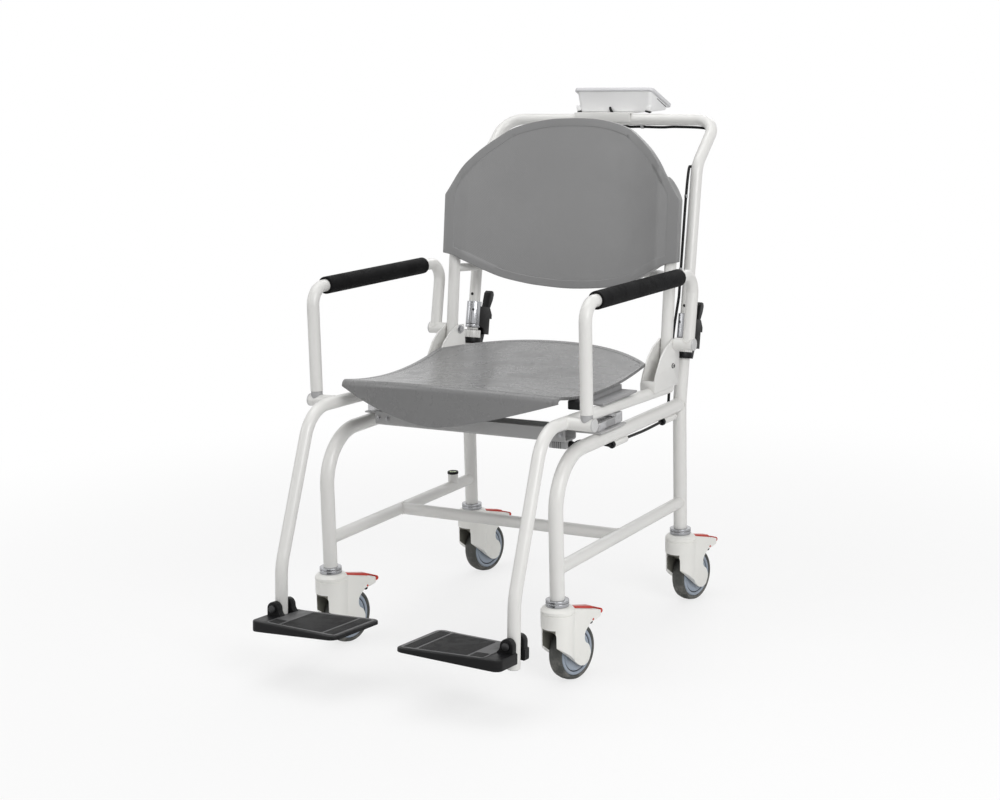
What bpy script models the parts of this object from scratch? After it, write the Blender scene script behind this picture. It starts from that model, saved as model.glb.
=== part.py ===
"""Wheeled chair scale: a tube chair on four braked swivel casters, with a seat carried on load cells.

Lengths are metres, +Z is up and the sitter faces -Y. The part is built in the frame's own coordinates,
whose origin is on the floor midway between the front legs, and one empty then sets it over its centre.
"""
import math

import bmesh
import bpy
from mathutils import Matrix, Vector

# General values
GAP = 0.0003                        # between a piece and what it seats on
OVERRUN = 0.004                     # by which a cutter passes a face
MERGE = 0.00002
WALL = 0.003

# Main frame
TRACK = 0.462                       # between the leg centre lines
WHEELBASE = 0.502
LEG_DIAMETER = 0.0254
CASTER_HEAD_HEIGHT = 0.050          # from the wheel's top to the collar's
LOWER_RAIL_RISE = 0.051             # above the collars
UPPER_RAIL_RISE = 0.2405
FRONT_BEND = 0.095
POST_BEND = 0.120
CROSS_TUBE_DIAMETER = 0.0222
CROSS_TUBE_SHARE = 0.479            # of the wheelbase, from the front legs
POST_LEAN_SHARE = 0.194             # rearward per unit of rise above the upper rail
HINGE_RISE = 0.112                  # where the posts end under the fold hinge, above the upper rail

# Casters
WHEEL_DIAMETER = 0.100
WHEEL_WIDTH = 0.026
TYRE_DEPTH = 0.008
HUB_RELIEF = 0.0025
CASTER_TRAIL = 0.037
CASTER_TURN = math.radians(10.0)    # every caster rests turned a little to the sitter's left
CAP_DIAMETER = 0.058
CAP_EDGE = 0.004
CHEEK_WIDTH = 0.040
WHEEL_CLEARANCE = 0.0022
COLLAR_DIAMETER = 0.040
COLLAR_HEIGHT = 0.0115
COLLAR_SOCKET = 0.005
FRONT_CUT_WIDTH = 0.030
FRONT_CUT_HEIGHT = 0.100
PEDAL_WIDTH = 0.014
PEDAL_TIP_WIDTH = 0.026
PEDAL_PLAY = 0.0008
PEDAL_PIN_RADIUS = 0.0025
HUB_BOSS_RADIUS = 0.012

# Weighed frame: hangers under the seat, footplates, armrests and backrest
TUBE_DIAMETER = 0.0222
SEAT_TUBE_RISE = 0.0555             # tube centre over the front legs, above the upper rail
SEAT_TUBE_FALL_SHARE = 0.032        # downward per unit towards the rear
SEAT_TUBE_END_LEAD = 0.050          # rear end, ahead of the rear posts
HANGER_TOP_REACH = 0.039            # how far in front of the legs the upper bend's corner is
HANGER_KNEE_REACH = 0.1463
HANGER_KNEE_HEIGHT = 0.1888
HANGER_FOOT_REACH = 0.1543
HANGER_FOOT_HEIGHT = 0.076
HANGER_BEND = 0.070
HANGER_KNEE_BEND = 0.110

FOOTPLATE_WIDTH = 0.187
FOOTPLATE_INREACH = 0.173           # inner edge inside the hangers
FOOTPLATE_FRONT = 0.090             # ahead of the hinge at the inner edge
FOOTPLATE_REAR = 0.053               # behind it at the inner edge
FOOTPLATE_OUTER_REAR = 0.037         # behind it near the casters
FOOTPLATE_OUTER_FRONT = 0.072
FOOTPLATE_INNER_THICKNESS = 0.006
FOOTPLATE_OUTER_THICKNESS = 0.019
FOOTPLATE_DROP = 0.0118             # top face under the hinge axis
FOOTPLATE_HINGE_HEIGHT = 0.1185
FOOTPLATE_CORNER = 0.014
FOOT_RECESS = 0.0012
EAR_RADIUS = 0.012
EAR_THICKNESS = 0.013
TUBE_NOTCH_PLAY = 0.0016
FOOT_BOLT_RADIUS = 0.004
FOOT_BOLT_HEAD = 0.0065

ARM_OUTREACH = 0.041                # armrest tube outside the legs
ARM_PIVOT_LEAD = 0.051              # ahead of the rear posts
ARM_PIVOT_RISE = 0.069              # above the seat tubes
ARM_FRONT_Y = 0.0385
ARM_FRONT_RISE = 0.133              # above the pivot
ARM_REAR_RISE = 0.128
ARM_REAR_REACH = 0.0265             # behind the pivot
ARM_BEND = 0.032
GRIP_DIAMETER = 0.0315
GRIP_FRONT_INSET = 0.0395           # behind the armrest's front corner
GRIP_REAR_INSET = 0.0685
STUB_DIAMETER = 0.0222
STUB_LENGTH = 0.057                 # out from the hanger centre line
BUMPER_HEIGHT = 0.006
BUMPER_RADIUS = 0.0105

BRACKET_THICKNESS = 0.003
BRACKET_TOP_RISE = 0.0105           # above the pivot
BRACKET_FRONT_REACH = 0.090         # ahead of the pivot
BRACKET_REAR_REACH = 0.019          # behind it
BRACKET_DROP = 0.009                # foot under the seat tubes
NUT_RADIUS = 0.0075
NUT_LENGTH = 0.006
SECOND_NUT_DROP = 0.040

BACK_TUBE_LEAD = 0.0637             # tube centre ahead of the rear posts, at BACK_TUBE_RISE
BACK_TUBE_RISE = 0.0157             # above the seat tubes
BACK_LEAN_SHARE = 0.133
BACK_FOOT_RISE = 0.012              # tube's lower end above the seat tubes
BACK_TUBE_LENGTH = 0.314
BACK_CROSS_DROP = 0.0205            # under the shell's lower corners
BACK_CROSS_DIAMETER = 0.016
BACK_CROSS_BOW = 0.059              # how far its middle lies behind the tubes
BACK_OVERHANG = 0.018               # side edge outside the tubes
BACK_SLEEVE_RADIUS = 0.0165
BACK_SLEEVE_LENGTH = 0.125
BACK_SHOULDER_RISE = 0.010          # above the tubes' upper ends
BACK_CROWN_RISE = 0.136             # top of the shell above its shoulders
BACK_CORNER_DROP = 0.002            # lower corners under the sleeves
BACK_CENTRE_DROP = 0.053            # lower edge's middle under its corners
BACK_HOLLOW = 0.0535                # how far the middle lies behind the side edges
BACK_SETBACK = 0.0155               # side edges ahead of the tubes' centre lines
BACK_RIM = 0.008

SEAT_OVERHANG = 0.007               # side edge outside the tubes
SEAT_FRONT = 0.014
SEAT_FRONT_BOW = 0.072              # corners behind the front's middle
SEAT_REAR_LEAD = 0.050              # rear edge ahead of the rear posts
SEAT_REAR_BOW = 0.076
SEAT_REAR_TAPER = 0.026             # by which the rear corners stand inside the brackets
SEAT_CORNER_RISE = 0.029            # above the seat tubes
SEAT_FRONT_CROWN = 0.021            # front's middle above its corners
SEAT_REAR_RISE = 0.015
SEAT_REAR_CROWN = 0.014
SEAT_DISH = 0.016
SEAT_EDGE_HOLD = 0.4                # share of the dish that the side edges don't follow
SEAT_LIP = 0.070
SEAT_THICKNESS = 0.0055
SEAT_RIM = 0.011
SEAT_MOUNT_SIZE = 0.026

CHANNEL_HEIGHT = 0.025
CHANNEL_DEPTH = 0.042
CHANNEL_BOTTOM_RISE = 0.0025        # above the upper rail's centre line
CHANNEL_Y = 0.128
CHANNEL_INSET = 0.037               # its ends inside the legs' centre lines
LOAD_CELL_LENGTH = 0.092
LOAD_CELL_WIDTH = 0.025
LOAD_CELL_HEIGHT = 0.017
LOAD_CELL_HOLE = 0.0055
LOAD_PLATE_WIDTH = 0.060

# Push handle and its fold hinge
HANDLE_KNEE_RISE = 0.3302           # above the hinge
HANDLE_RISE = 0.0788                # top tube above the knee
HANDLE_REACH = 0.0942               # top tube behind the knee
HANDLE_KNEE_BEND = 0.055
HANDLE_CORNER_BEND = 0.042
SLEEVE_RADIUS = 0.0145
SLEEVE_LENGTH = 0.052
HINGE_COLLAR_RADIUS = 0.0165
HINGE_COLLAR_LENGTH = 0.016
HINGE_BASE_RADIUS = 0.0185
HINGE_BASE_LENGTH = 0.011
PIVOT_SETBACK = 0.030               # pivot behind the post's centre line
HINGE_PIN_RADIUS = 0.0040
EAR_WIDTH = 0.030
TONGUE_WIDTH = 0.015
LEVER_WIDTH = 0.014
LEVER_HEAD_RADIUS = 0.0085
LEVER_LENGTH = 0.052

# Indicator on the top tube
INDICATOR_X = 0.010
LID_WIDTH = 0.172
LID_DEPTH = 0.0985
LID_THICKNESS = 0.007
LID_SLOPE = math.radians(22.7)
LID_CORNER = 0.009
LID_FRONT_REACH = 0.002             # behind the handle's top tube
LID_FRONT_RISE = 0.0625             # above it
BODY_TOP_WIDTH = 0.158
BODY_FOOT_WIDTH = 0.149
BODY_FRONT_INSET = 0.004
BODY_REAR_INSET = 0.006
BODY_WALL = 0.0025
BODY_FOOT_FRONT_REACH = 0.008       # behind the handle's top tube
BODY_FOOT_REAR_REACH = 0.085
WINDOW_WIDTH = 0.0973
WINDOW_DEPTH = 0.0350
WINDOW_OFFSET = 0.006               # from the lid's middle towards its upper edge
WINDOW_THICKNESS = 0.002
KEY_WIDTH = 0.0158
KEY_DEPTH = 0.0130
KEY_PITCH = 0.0200
KEY_OFFSET = 0.0263                 # from the lid's middle towards its lower edge
KEY_STAND = 0.0010
KEY_LENGTH = 0.0060
KEY_PLAY = 0.0004
KEY_COUNT = 5
SADDLE_WIDTH = 0.121
SADDLE_X = -0.008
SADDLE_THICKNESS = 0.0025
SADDLE_FLANGE = 0.018
SADDLE_REAR_REACH = 0.070
BOARD_WIDTH = 0.138
BOARD_DEPTH = 0.052
BOARD_THICKNESS = 0.0016
BATTERY_WIDTH = 0.100
BATTERY_DEPTH = 0.028
BATTERY_HEIGHT = 0.013

# Cable and its holders
CABLE_DIAMETER = 0.0048
GUIDE_DIAMETER = 0.0135
GUIDE_BORE = 0.0086
GUIDE_LENGTH = 0.052
FRONT_GUIDE_SHARE = 0.478           # of the wheelbase, from the front legs
REAR_GUIDE_LEAD = 0.052             # ahead of the rear posts
GROMMET_LENGTH = 0.004
CONNECTOR_INSET = 0.056             # its middle inside the right leg
CONNECTOR_LENGTH = 0.034
CONNECTOR_SIZE = 0.013
CABLE_HINGE_DROP = 0.0475           # the bending stretch starts under the hinge
CABLE_HINGE_RISE = 0.0875           # and ends over it

# Level on the left lower rail
LEVEL_LEAD = 0.070                  # ahead of the rear posts
LEVEL_RADIUS = 0.010
LEVEL_HEIGHT = 0.019
LEVEL_CAP_HEIGHT = 0.005

# Sides of round work
LEG_SIDES = 16
TUBE_SIDES = 14
ROUND_SIDES = 24
WHEEL_STEPS = 24
CUTTER_SIDES = 24
ARC_STEP = math.radians(15.0)

# Places worked out from the sizes above
SIDE_X = TRACK / 2
ARM_X = SIDE_X + ARM_OUTREACH
FOOTPLATE_INNER_EDGE = SIDE_X - FOOTPLATE_INREACH
SEAT_HALF_WIDTH = SIDE_X + SEAT_OVERHANG
BACK_HALF_WIDTH = SIDE_X + BACK_OVERHANG
CONNECTOR_X = SIDE_X - CONNECTOR_INSET
LEG_RADIUS = LEG_DIAMETER / 2
TUBE_RADIUS = TUBE_DIAMETER / 2
WHEEL_RADIUS = WHEEL_DIAMETER / 2
LEG_FOOT_HEIGHT = WHEEL_DIAMETER + CASTER_HEAD_HEIGHT
LOWER_RAIL_HEIGHT = LEG_FOOT_HEIGHT + LOWER_RAIL_RISE
UPPER_RAIL_HEIGHT = LEG_FOOT_HEIGHT + UPPER_RAIL_RISE
CAP_TOP = LEG_FOOT_HEIGHT - COLLAR_HEIGHT - GAP
CROSS_TUBE_Y = WHEELBASE * CROSS_TUBE_SHARE
HINGE_HEIGHT = UPPER_RAIL_HEIGHT + HINGE_RISE
SEAT_TUBE_HEIGHT = UPPER_RAIL_HEIGHT + SEAT_TUBE_RISE
SEAT_TUBE_END = WHEELBASE - SEAT_TUBE_END_LEAD
SEAT_CORNER_HEIGHT = SEAT_TUBE_HEIGHT + SEAT_CORNER_RISE
SEAT_REAR = WHEELBASE - SEAT_REAR_LEAD
ARM_PIVOT_Y = WHEELBASE - ARM_PIVOT_LEAD
ARM_PIVOT_HEIGHT = SEAT_TUBE_HEIGHT + ARM_PIVOT_RISE
ARM_FRONT_HEIGHT = ARM_PIVOT_HEIGHT + ARM_FRONT_RISE
ARM_REAR_HEIGHT = ARM_PIVOT_HEIGHT + ARM_REAR_RISE
ARM_REAR_Y = ARM_PIVOT_Y + ARM_REAR_REACH
GRIP_START = ARM_FRONT_Y + GRIP_FRONT_INSET
GRIP_END = ARM_REAR_Y - GRIP_REAR_INSET
BRACKET_TOP = ARM_PIVOT_HEIGHT + BRACKET_TOP_RISE
BRACKET_FRONT = ARM_PIVOT_Y - BRACKET_FRONT_REACH
BRACKET_REAR = ARM_PIVOT_Y + BRACKET_REAR_REACH
BRACKET_BOTTOM = SEAT_TUBE_HEIGHT - BRACKET_DROP
BACK_TUBE_Y = WHEELBASE - BACK_TUBE_LEAD
BACK_TUBE_HEIGHT = SEAT_TUBE_HEIGHT + BACK_TUBE_RISE
BACK_TUBE_FOOT = SEAT_TUBE_HEIGHT + BACK_FOOT_RISE
BACK_TUBE_TOP = BACK_TUBE_FOOT + BACK_TUBE_LENGTH
BACK_SHOULDER = BACK_TUBE_TOP + BACK_SHOULDER_RISE
BACK_TOP = BACK_SHOULDER + BACK_CROWN_RISE
BACK_SLEEVE_FOOT = BACK_SHOULDER - BACK_SLEEVE_LENGTH
BACK_CORNER_FOOT = BACK_SLEEVE_FOOT - BACK_CORNER_DROP
BACK_CENTRE_FOOT = BACK_CORNER_FOOT - BACK_CENTRE_DROP
BACK_CROSS_HEIGHT = BACK_CORNER_FOOT - BACK_CROSS_DROP
CHANNEL_BOTTOM = UPPER_RAIL_HEIGHT + CHANNEL_BOTTOM_RISE
HANDLE_KNEE_HEIGHT = HINGE_HEIGHT + HANDLE_KNEE_RISE
HANDLE_HEIGHT = HANDLE_KNEE_HEIGHT + HANDLE_RISE
LID_FRONT_HEIGHT = HANDLE_HEIGHT + LID_FRONT_RISE
FRONT_GUIDE_Y = WHEELBASE * FRONT_GUIDE_SHARE
REAR_GUIDE_Y = WHEELBASE - REAR_GUIDE_LEAD
CABLE_HINGE_FOOT = HINGE_HEIGHT - CABLE_HINGE_DROP
CABLE_HINGE_HEAD = HINGE_HEIGHT + CABLE_HINGE_RISE
LEVEL_Y = WHEELBASE - LEVEL_LEAD
HINGE_TOP = HINGE_HEIGHT + GAP


def post_y(height):
    """Y of a rear post's or handle tube's centre line at a height above the upper rail."""
    return WHEELBASE + POST_LEAN_SHARE * (height - UPPER_RAIL_HEIGHT)


def back_y(height):
    """Y of a backrest tube's centre line at a height."""
    return BACK_TUBE_Y + BACK_LEAN_SHARE * (height - BACK_TUBE_HEIGHT)


def seat_tube_z(y):
    """Height of a seat tube's centre line."""
    return SEAT_TUBE_HEIGHT - SEAT_TUBE_FALL_SHARE * y


POST_LEAN = math.atan(POST_LEAN_SHARE)
HANDLE_Y = post_y(HANDLE_KNEE_HEIGHT) + HANDLE_REACH
LID_FRONT_Y = HANDLE_Y + LID_FRONT_REACH
BODY_FOOT_FRONT = HANDLE_Y + BODY_FOOT_FRONT_REACH
BODY_FOOT_REAR = HANDLE_Y + BODY_FOOT_REAR_REACH
SADDLE_REAR = HANDLE_Y + SADDLE_REAR_REACH
PIVOT_Y = post_y(HINGE_HEIGHT) + PIVOT_SETBACK * math.cos(POST_LEAN)
FOOT_HINGE_Y = -HANGER_FOOT_REACH + (HANGER_FOOT_REACH - HANGER_KNEE_REACH) * (
    (FOOTPLATE_HINGE_HEIGHT - HANGER_FOOT_HEIGHT) / (HANGER_KNEE_HEIGHT - HANGER_FOOT_HEIGHT))
FOOTPLATE_PITCH = math.atan((HANGER_FOOT_REACH - HANGER_KNEE_REACH) / (HANGER_KNEE_HEIGHT - HANGER_FOOT_HEIGHT))
FOOTPLATE_NOSE_Y = FOOT_HINGE_Y - FOOTPLATE_FRONT * math.cos(FOOTPLATE_PITCH) \
    + FOOTPLATE_DROP * math.sin(FOOTPLATE_PITCH)
LID_REAR_Y = LID_FRONT_Y + LID_DEPTH * math.cos(LID_SLOPE)
CENTRE_Y = (FOOTPLATE_NOSE_Y + LID_REAR_Y) / 2

# Colours: red, green, blue, roughness, metallic
FINISHES = {
    "frame_white": (0.80, 0.80, 0.77, 0.35, 0.0),
    "shell_grey": (0.27, 0.27, 0.28, 0.60, 0.0),
    "steel_grey": (0.36, 0.36, 0.36, 0.45, 0.6),
    "dark_plate": (0.10, 0.10, 0.105, 0.50, 0.3),
    "chrome": (0.75, 0.76, 0.78, 0.15, 1.0),
    "black_plastic": (0.022, 0.022, 0.024, 0.45, 0.0),
    "foam": (0.030, 0.030, 0.032, 0.90, 0.0),
    "footplate": (0.050, 0.050, 0.052, 0.60, 0.0),
    "caster_white": (0.82, 0.81, 0.76, 0.40, 0.0),
    "tyre": (0.085, 0.090, 0.100, 0.60, 0.0),
    "pedal_red": (0.50, 0.035, 0.020, 0.45, 0.0),
    "indicator": (0.70, 0.71, 0.74, 0.45, 0.0),
    "display": (0.36, 0.50, 0.44, 0.25, 0.0),
    "key": (0.10, 0.115, 0.14, 0.55, 0.0),
    "aluminium": (0.60, 0.60, 0.61, 0.35, 1.0),
    "board": (0.02, 0.16, 0.06, 0.50, 0.0),
    "rubber": (0.025, 0.025, 0.026, 0.85, 0.0),
}


def clear_scene():
    for item in list(bpy.context.scene.objects):
        bpy.data.objects.remove(item, do_unlink=True)


clear_scene()
PARTS = bpy.data.collections.new("chair_scale")
CUTTERS = bpy.data.collections.new("chair_scale_cutters")
bpy.context.scene.collection.children.link(PARTS)
bpy.context.scene.collection.children.link(CUTTERS)


def empty(name, location=(0, 0, 0), rotation=(0, 0, 0), parent=None):
    item = bpy.data.objects.new(name, None)
    item.location = location
    item.rotation_euler = rotation
    item.parent = parent
    PARTS.objects.link(item)
    return item


CHAIR = empty("chair_origin", (0, -CENTRE_Y, 0))


def finish(name):
    """The material of a finish, made once."""
    if name in bpy.data.materials:
        return bpy.data.materials[name]
    red, green, blue, roughness, metallic = FINISHES[name]
    material = bpy.data.materials.new(name)
    material.use_nodes = True
    shader = material.node_tree.nodes["Principled BSDF"]
    shader.inputs["Base Color"].default_value = (red, green, blue, 1.0)
    shader.inputs["Roughness"].default_value = roughness
    shader.inputs["Metallic"].default_value = metallic
    return material


def place(item, name, material, parent=None, location=(0, 0, 0), rotation=(0, 0, 0)):
    """Name an object as a sub-part and stand it under its parent."""
    item.name = name
    item.data.name = name
    item.parent = parent or CHAIR
    item.location = location
    item.rotation_euler = rotation
    own = finish(material).copy()
    own.name = name + "_finish"
    item.data.materials.clear()
    item.data.materials.append(own)
    for collection in list(item.users_collection):
        collection.objects.unlink(item)
    PARTS.objects.link(item)
    return item


def as_cutter(item, parent=CHAIR, location=(0, 0, 0), rotation=(0, 0, 0)):
    """Make an object a cutter or a shape to join, in its parent's frame, or in none when that is None."""
    item.parent = parent
    item.location = location
    item.rotation_euler = rotation
    item.hide_render = True
    item.display_type = "WIRE"
    for collection in list(item.users_collection):
        collection.objects.unlink(item)
    CUTTERS.objects.link(item)
    return item


def combine(item, other, operation):
    modifier = item.modifiers.new(operation.lower(), "BOOLEAN")
    modifier.operation = operation
    modifier.solver = "EXACT"
    modifier.object = other
    return item


def cut(item, *others):
    for other in others:
        combine(item, other, "DIFFERENCE")
    return item


def join(item, *others):
    for other in others:
        combine(item, other, "UNION")
    return item


def new_object(mesh_or_curve):
    item = bpy.data.objects.new("piece", mesh_or_curve)
    PARTS.objects.link(item)
    return item


def mesh_object(maker):
    """An object whose mesh is filled by a function that gets a bmesh."""
    mesh = bpy.data.meshes.new("piece")
    work = bmesh.new()
    maker(work)
    bmesh.ops.recalc_face_normals(work, faces=work.faces)
    work.to_mesh(mesh)
    work.free()
    return new_object(mesh)


def box(size, centre=(0, 0, 0)):
    def maker(work):
        bmesh.ops.create_cube(work, size=1.0)
        bmesh.ops.scale(work, vec=size, verts=work.verts)
        bmesh.ops.translate(work, vec=centre, verts=work.verts)
    return mesh_object(maker)


AXIS_TURNS = {"X": Matrix.Rotation(math.pi / 2, 4, "Y"), "Y": Matrix.Rotation(-math.pi / 2, 4, "X"),
              "Z": Matrix.Identity(4)}


def cylinder(radius, length, centre=(0, 0, 0), axis="Z", sides=ROUND_SIDES, top_radius=None):
    def maker(work):
        bmesh.ops.create_cone(work, cap_ends=True, segments=sides, radius1=radius,
                              radius2=radius if top_radius is None else top_radius, depth=length)
        bmesh.ops.transform(work, matrix=Matrix.Translation(centre) @ AXIS_TURNS[axis], verts=work.verts)
    item = mesh_object(maker)
    item.data.shade_smooth()
    item.data.set_sharp_from_angle(angle=math.radians(40.0))
    return item


def turned(profile, axis="Z", steps=ROUND_SIDES, centre=(0, 0, 0)):
    """A closed turned solid: profile is (radius, height) from the top down the outer side to the foot."""
    mesh = bpy.data.meshes.new("piece")
    points = [(radius, 0, height) for radius, height in profile]
    if profile[0][0] > 0:
        points.append(points[0])
    mesh.from_pydata(points, [(i, i + 1) for i in range(len(points) - 1)], [])
    item = new_object(mesh)
    screw = item.modifiers.new("turn", "SCREW")
    screw.steps = steps
    screw.render_steps = steps
    screw.use_merge_vertices = True
    screw.merge_threshold = MERGE
    screw.use_smooth_shade = True
    return frozen(item, Matrix.Translation(centre) @ AXIS_TURNS[axis])


def frozen(item, matrix=Matrix.Identity(4)):
    """The evaluated object as a plain welded mesh in its own coordinates, turned by a matrix."""
    bpy.context.view_layer.update()
    evaluated = item.evaluated_get(bpy.context.evaluated_depsgraph_get())
    mesh = bpy.data.meshes.new_from_object(evaluated)
    work = bmesh.new()
    work.from_mesh(mesh)
    bmesh.ops.remove_doubles(work, verts=work.verts, dist=MERGE)
    bmesh.ops.transform(work, matrix=matrix, verts=work.verts)
    bmesh.ops.recalc_face_normals(work, faces=work.faces)
    work.to_mesh(mesh)
    work.free()
    solid = bpy.data.objects.new("piece", mesh)
    solid.matrix_world = item.matrix_world
    PARTS.objects.link(solid)
    bpy.data.objects.remove(item, do_unlink=True)
    mesh.shade_smooth()
    mesh.set_sharp_from_angle(angle=math.radians(40.0))
    return solid


def rounded(points, radii, closed=False, step=ARC_STEP):
    """Points of a line whose corners are arcs: one radius for all corners, or one for each."""
    corners = [Vector(point) for point in points]
    count = len(corners)
    sizes = radii if isinstance(radii, (list, tuple)) else [radii] * count
    path = []
    for index, corner in enumerate(corners):
        ends = index in (0, count - 1) and not closed
        if ends or sizes[index] <= 0:
            path.append(corner)
            continue
        back = (corners[index - 1] - corner).normalized()
        ahead = (corners[(index + 1) % count] - corner).normalized()
        half = back.angle(ahead) / 2
        reach = sizes[index] / math.tan(half)
        middle = corner + (back + ahead).normalized() * (sizes[index] / math.sin(half))
        start = corner + back * reach - middle
        end = corner + ahead * reach - middle
        sweep = math.pi - 2 * half
        steps = max(2, round(sweep / step))
        normal = start.to_3d().cross(end.to_3d()).normalized()
        for number in range(steps + 1):
            turn = Matrix.Rotation(sweep * number / steps, 3, normal)
            spoke = turn @ start.to_3d()
            path.append(middle + (spoke if len(corner) == 3 else spoke.to_2d()))
    return path


def tube(path, radius, sides=TUBE_SIDES):
    """A round bar along a list of points, as a mesh with welded caps."""
    curve = bpy.data.curves.new("piece", "CURVE")
    curve.dimensions = "3D"
    curve.bevel_depth = radius
    curve.bevel_resolution = (sides - 4) // 2
    curve.use_fill_caps = True
    spline = curve.splines.new("POLY")
    spline.points.add(len(path) - 1)
    for spot, point in zip(spline.points, path):
        spot.co = (*point, 1.0)
    return frozen(new_object(curve))


def slab(outline, thickness, edge=0.0):
    """A flat outline in local X and Y, extruded half its thickness to each side."""
    curve = bpy.data.curves.new("piece", "CURVE")
    curve.dimensions = "2D"
    curve.fill_mode = "BOTH"
    curve.extrude = thickness / 2 - edge
    curve.bevel_depth = edge
    curve.bevel_resolution = 0
    curve.offset = -edge
    spline = curve.splines.new("POLY")
    spline.points.add(len(outline) - 1)
    for spot, point in zip(spline.points, outline):
        spot.co = (point[0], point[1], 0.0, 1.0)
    spline.use_cyclic_u = True
    return frozen(new_object(curve))


UPRIGHT = Matrix(((0, 0, 1, 0), (1, 0, 0, 0), (0, 1, 0, 0), (0, 0, 0, 1)))     # outline X, Y to Y, Z


def side_slab(outline, thickness, x=0.0, edge=0.0):
    """A slab whose outline is given as (Y, Z) and whose thickness lies along X."""
    item = slab(outline, thickness, edge)
    item.data.transform(Matrix.Translation((x, 0, 0)) @ UPRIGHT)
    return item


def sheet(columns, rows, shape, rim, panel_share):
    """A shell from a flat grid, thicker at its rim: shape(u, v) gives a point, u in -1..1 and v in 0..1."""
    mesh = bpy.data.meshes.new("piece")
    work = bmesh.new()
    bmesh.ops.create_grid(work, x_segments=columns, y_segments=rows, size=1.0)
    work.verts.index_update()
    border = {vertex.index for vertex in work.verts if vertex.is_boundary}
    for vertex in work.verts:
        vertex.co = shape(vertex.co.x, (vertex.co.y + 1) / 2)
    work.to_mesh(mesh)
    work.free()
    item = new_object(mesh)
    edge = item.vertex_groups.new(name="rim")
    edge.add(sorted(border), 1.0, "REPLACE")
    solidify = item.modifiers.new("wall", "SOLIDIFY")
    solidify.thickness = rim
    solidify.offset = -1.0
    solidify.vertex_group = edge.name
    solidify.thickness_vertex_group = panel_share
    return frozen(item)


def smooth_route(points, spacing):
    """Points along a smooth curve through a route's own points."""
    route = [Vector(point) for point in points]
    route = [route[0] * 2 - route[1]] + route + [route[-1] * 2 - route[-2]]
    path = []
    for index in range(1, len(route) - 2):
        before, start, end, after = route[index - 1:index + 3]
        steps = max(1, round((end - start).length / spacing))
        for number in range(steps):
            t = number / steps
            path.append(0.5 * ((2 * start) + (end - before) * t
                               + (2 * before - 5 * start + 4 * end - after) * t * t
                               + (3 * start - before - 3 * end + after) * t ** 3))
    path.append(route[-2])
    return path


SIDES = (("left", -1), ("right", 1))


# Casters: each stands in its own frame, whose origin is on the floor under the swivel and whose +Y trails

CHEEK_OUTLINE_SHARES = (            # of the wheel's diameter: behind the swivel, above the floor
    (0.22, 1.30), (0.83, 1.12), (0.81, 0.97), (0.66, 0.96), (0.49, 0.82), (0.48, 0.66), (0.60, 0.58),
    (0.66, 0.43), (0.57, 0.27), (0.46, 0.24), (0.34, 0.27), (0.05, 0.50), (-0.25, 0.73), (-0.28, 0.76),
    (-0.28, 1.24), (0.0, 1.30))
NOSE_Y = -0.008                     # centre of the hood's round front
PEDAL_OUTLINE_SHARES = (
    (0.27, 1.315), (0.90, 1.135), (0.97, 1.115), (1.08, 1.075), (1.105, 1.02), (1.04, 0.93), (0.98, 0.905),
    (0.95, 0.98), (0.84, 1.045), (0.76, 1.02), (0.735, 0.925), (0.66, 0.955), (0.64, 1.00), (0.54, 1.045),
    (0.30, 1.19))
PEDAL_PIN_SHARE = (0.60, 1.035)
PEDAL_TIP_SHARE = 0.96              # where the pedal widens
PEDAL_SLOT_SHARE = 0.88             # where its slot starts
TREAD_SHARES = (                    # of the wheel's radius, and of its half width
    (0.86, 1.0), (0.95, 0.90), (1.0, 0.30), (1.0, -0.30), (0.95, -0.90), (0.86, -1.0))


def caster_frame(side, x_sign, y):
    return empty("caster_" + side, (x_sign * SIDE_X, y, 0), (0, 0, -CASTER_TURN), CHAIR)


def wheel_shares(shares):
    return [(WHEEL_DIAMETER * across, WHEEL_DIAMETER * up) for across, up in shares]


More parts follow.
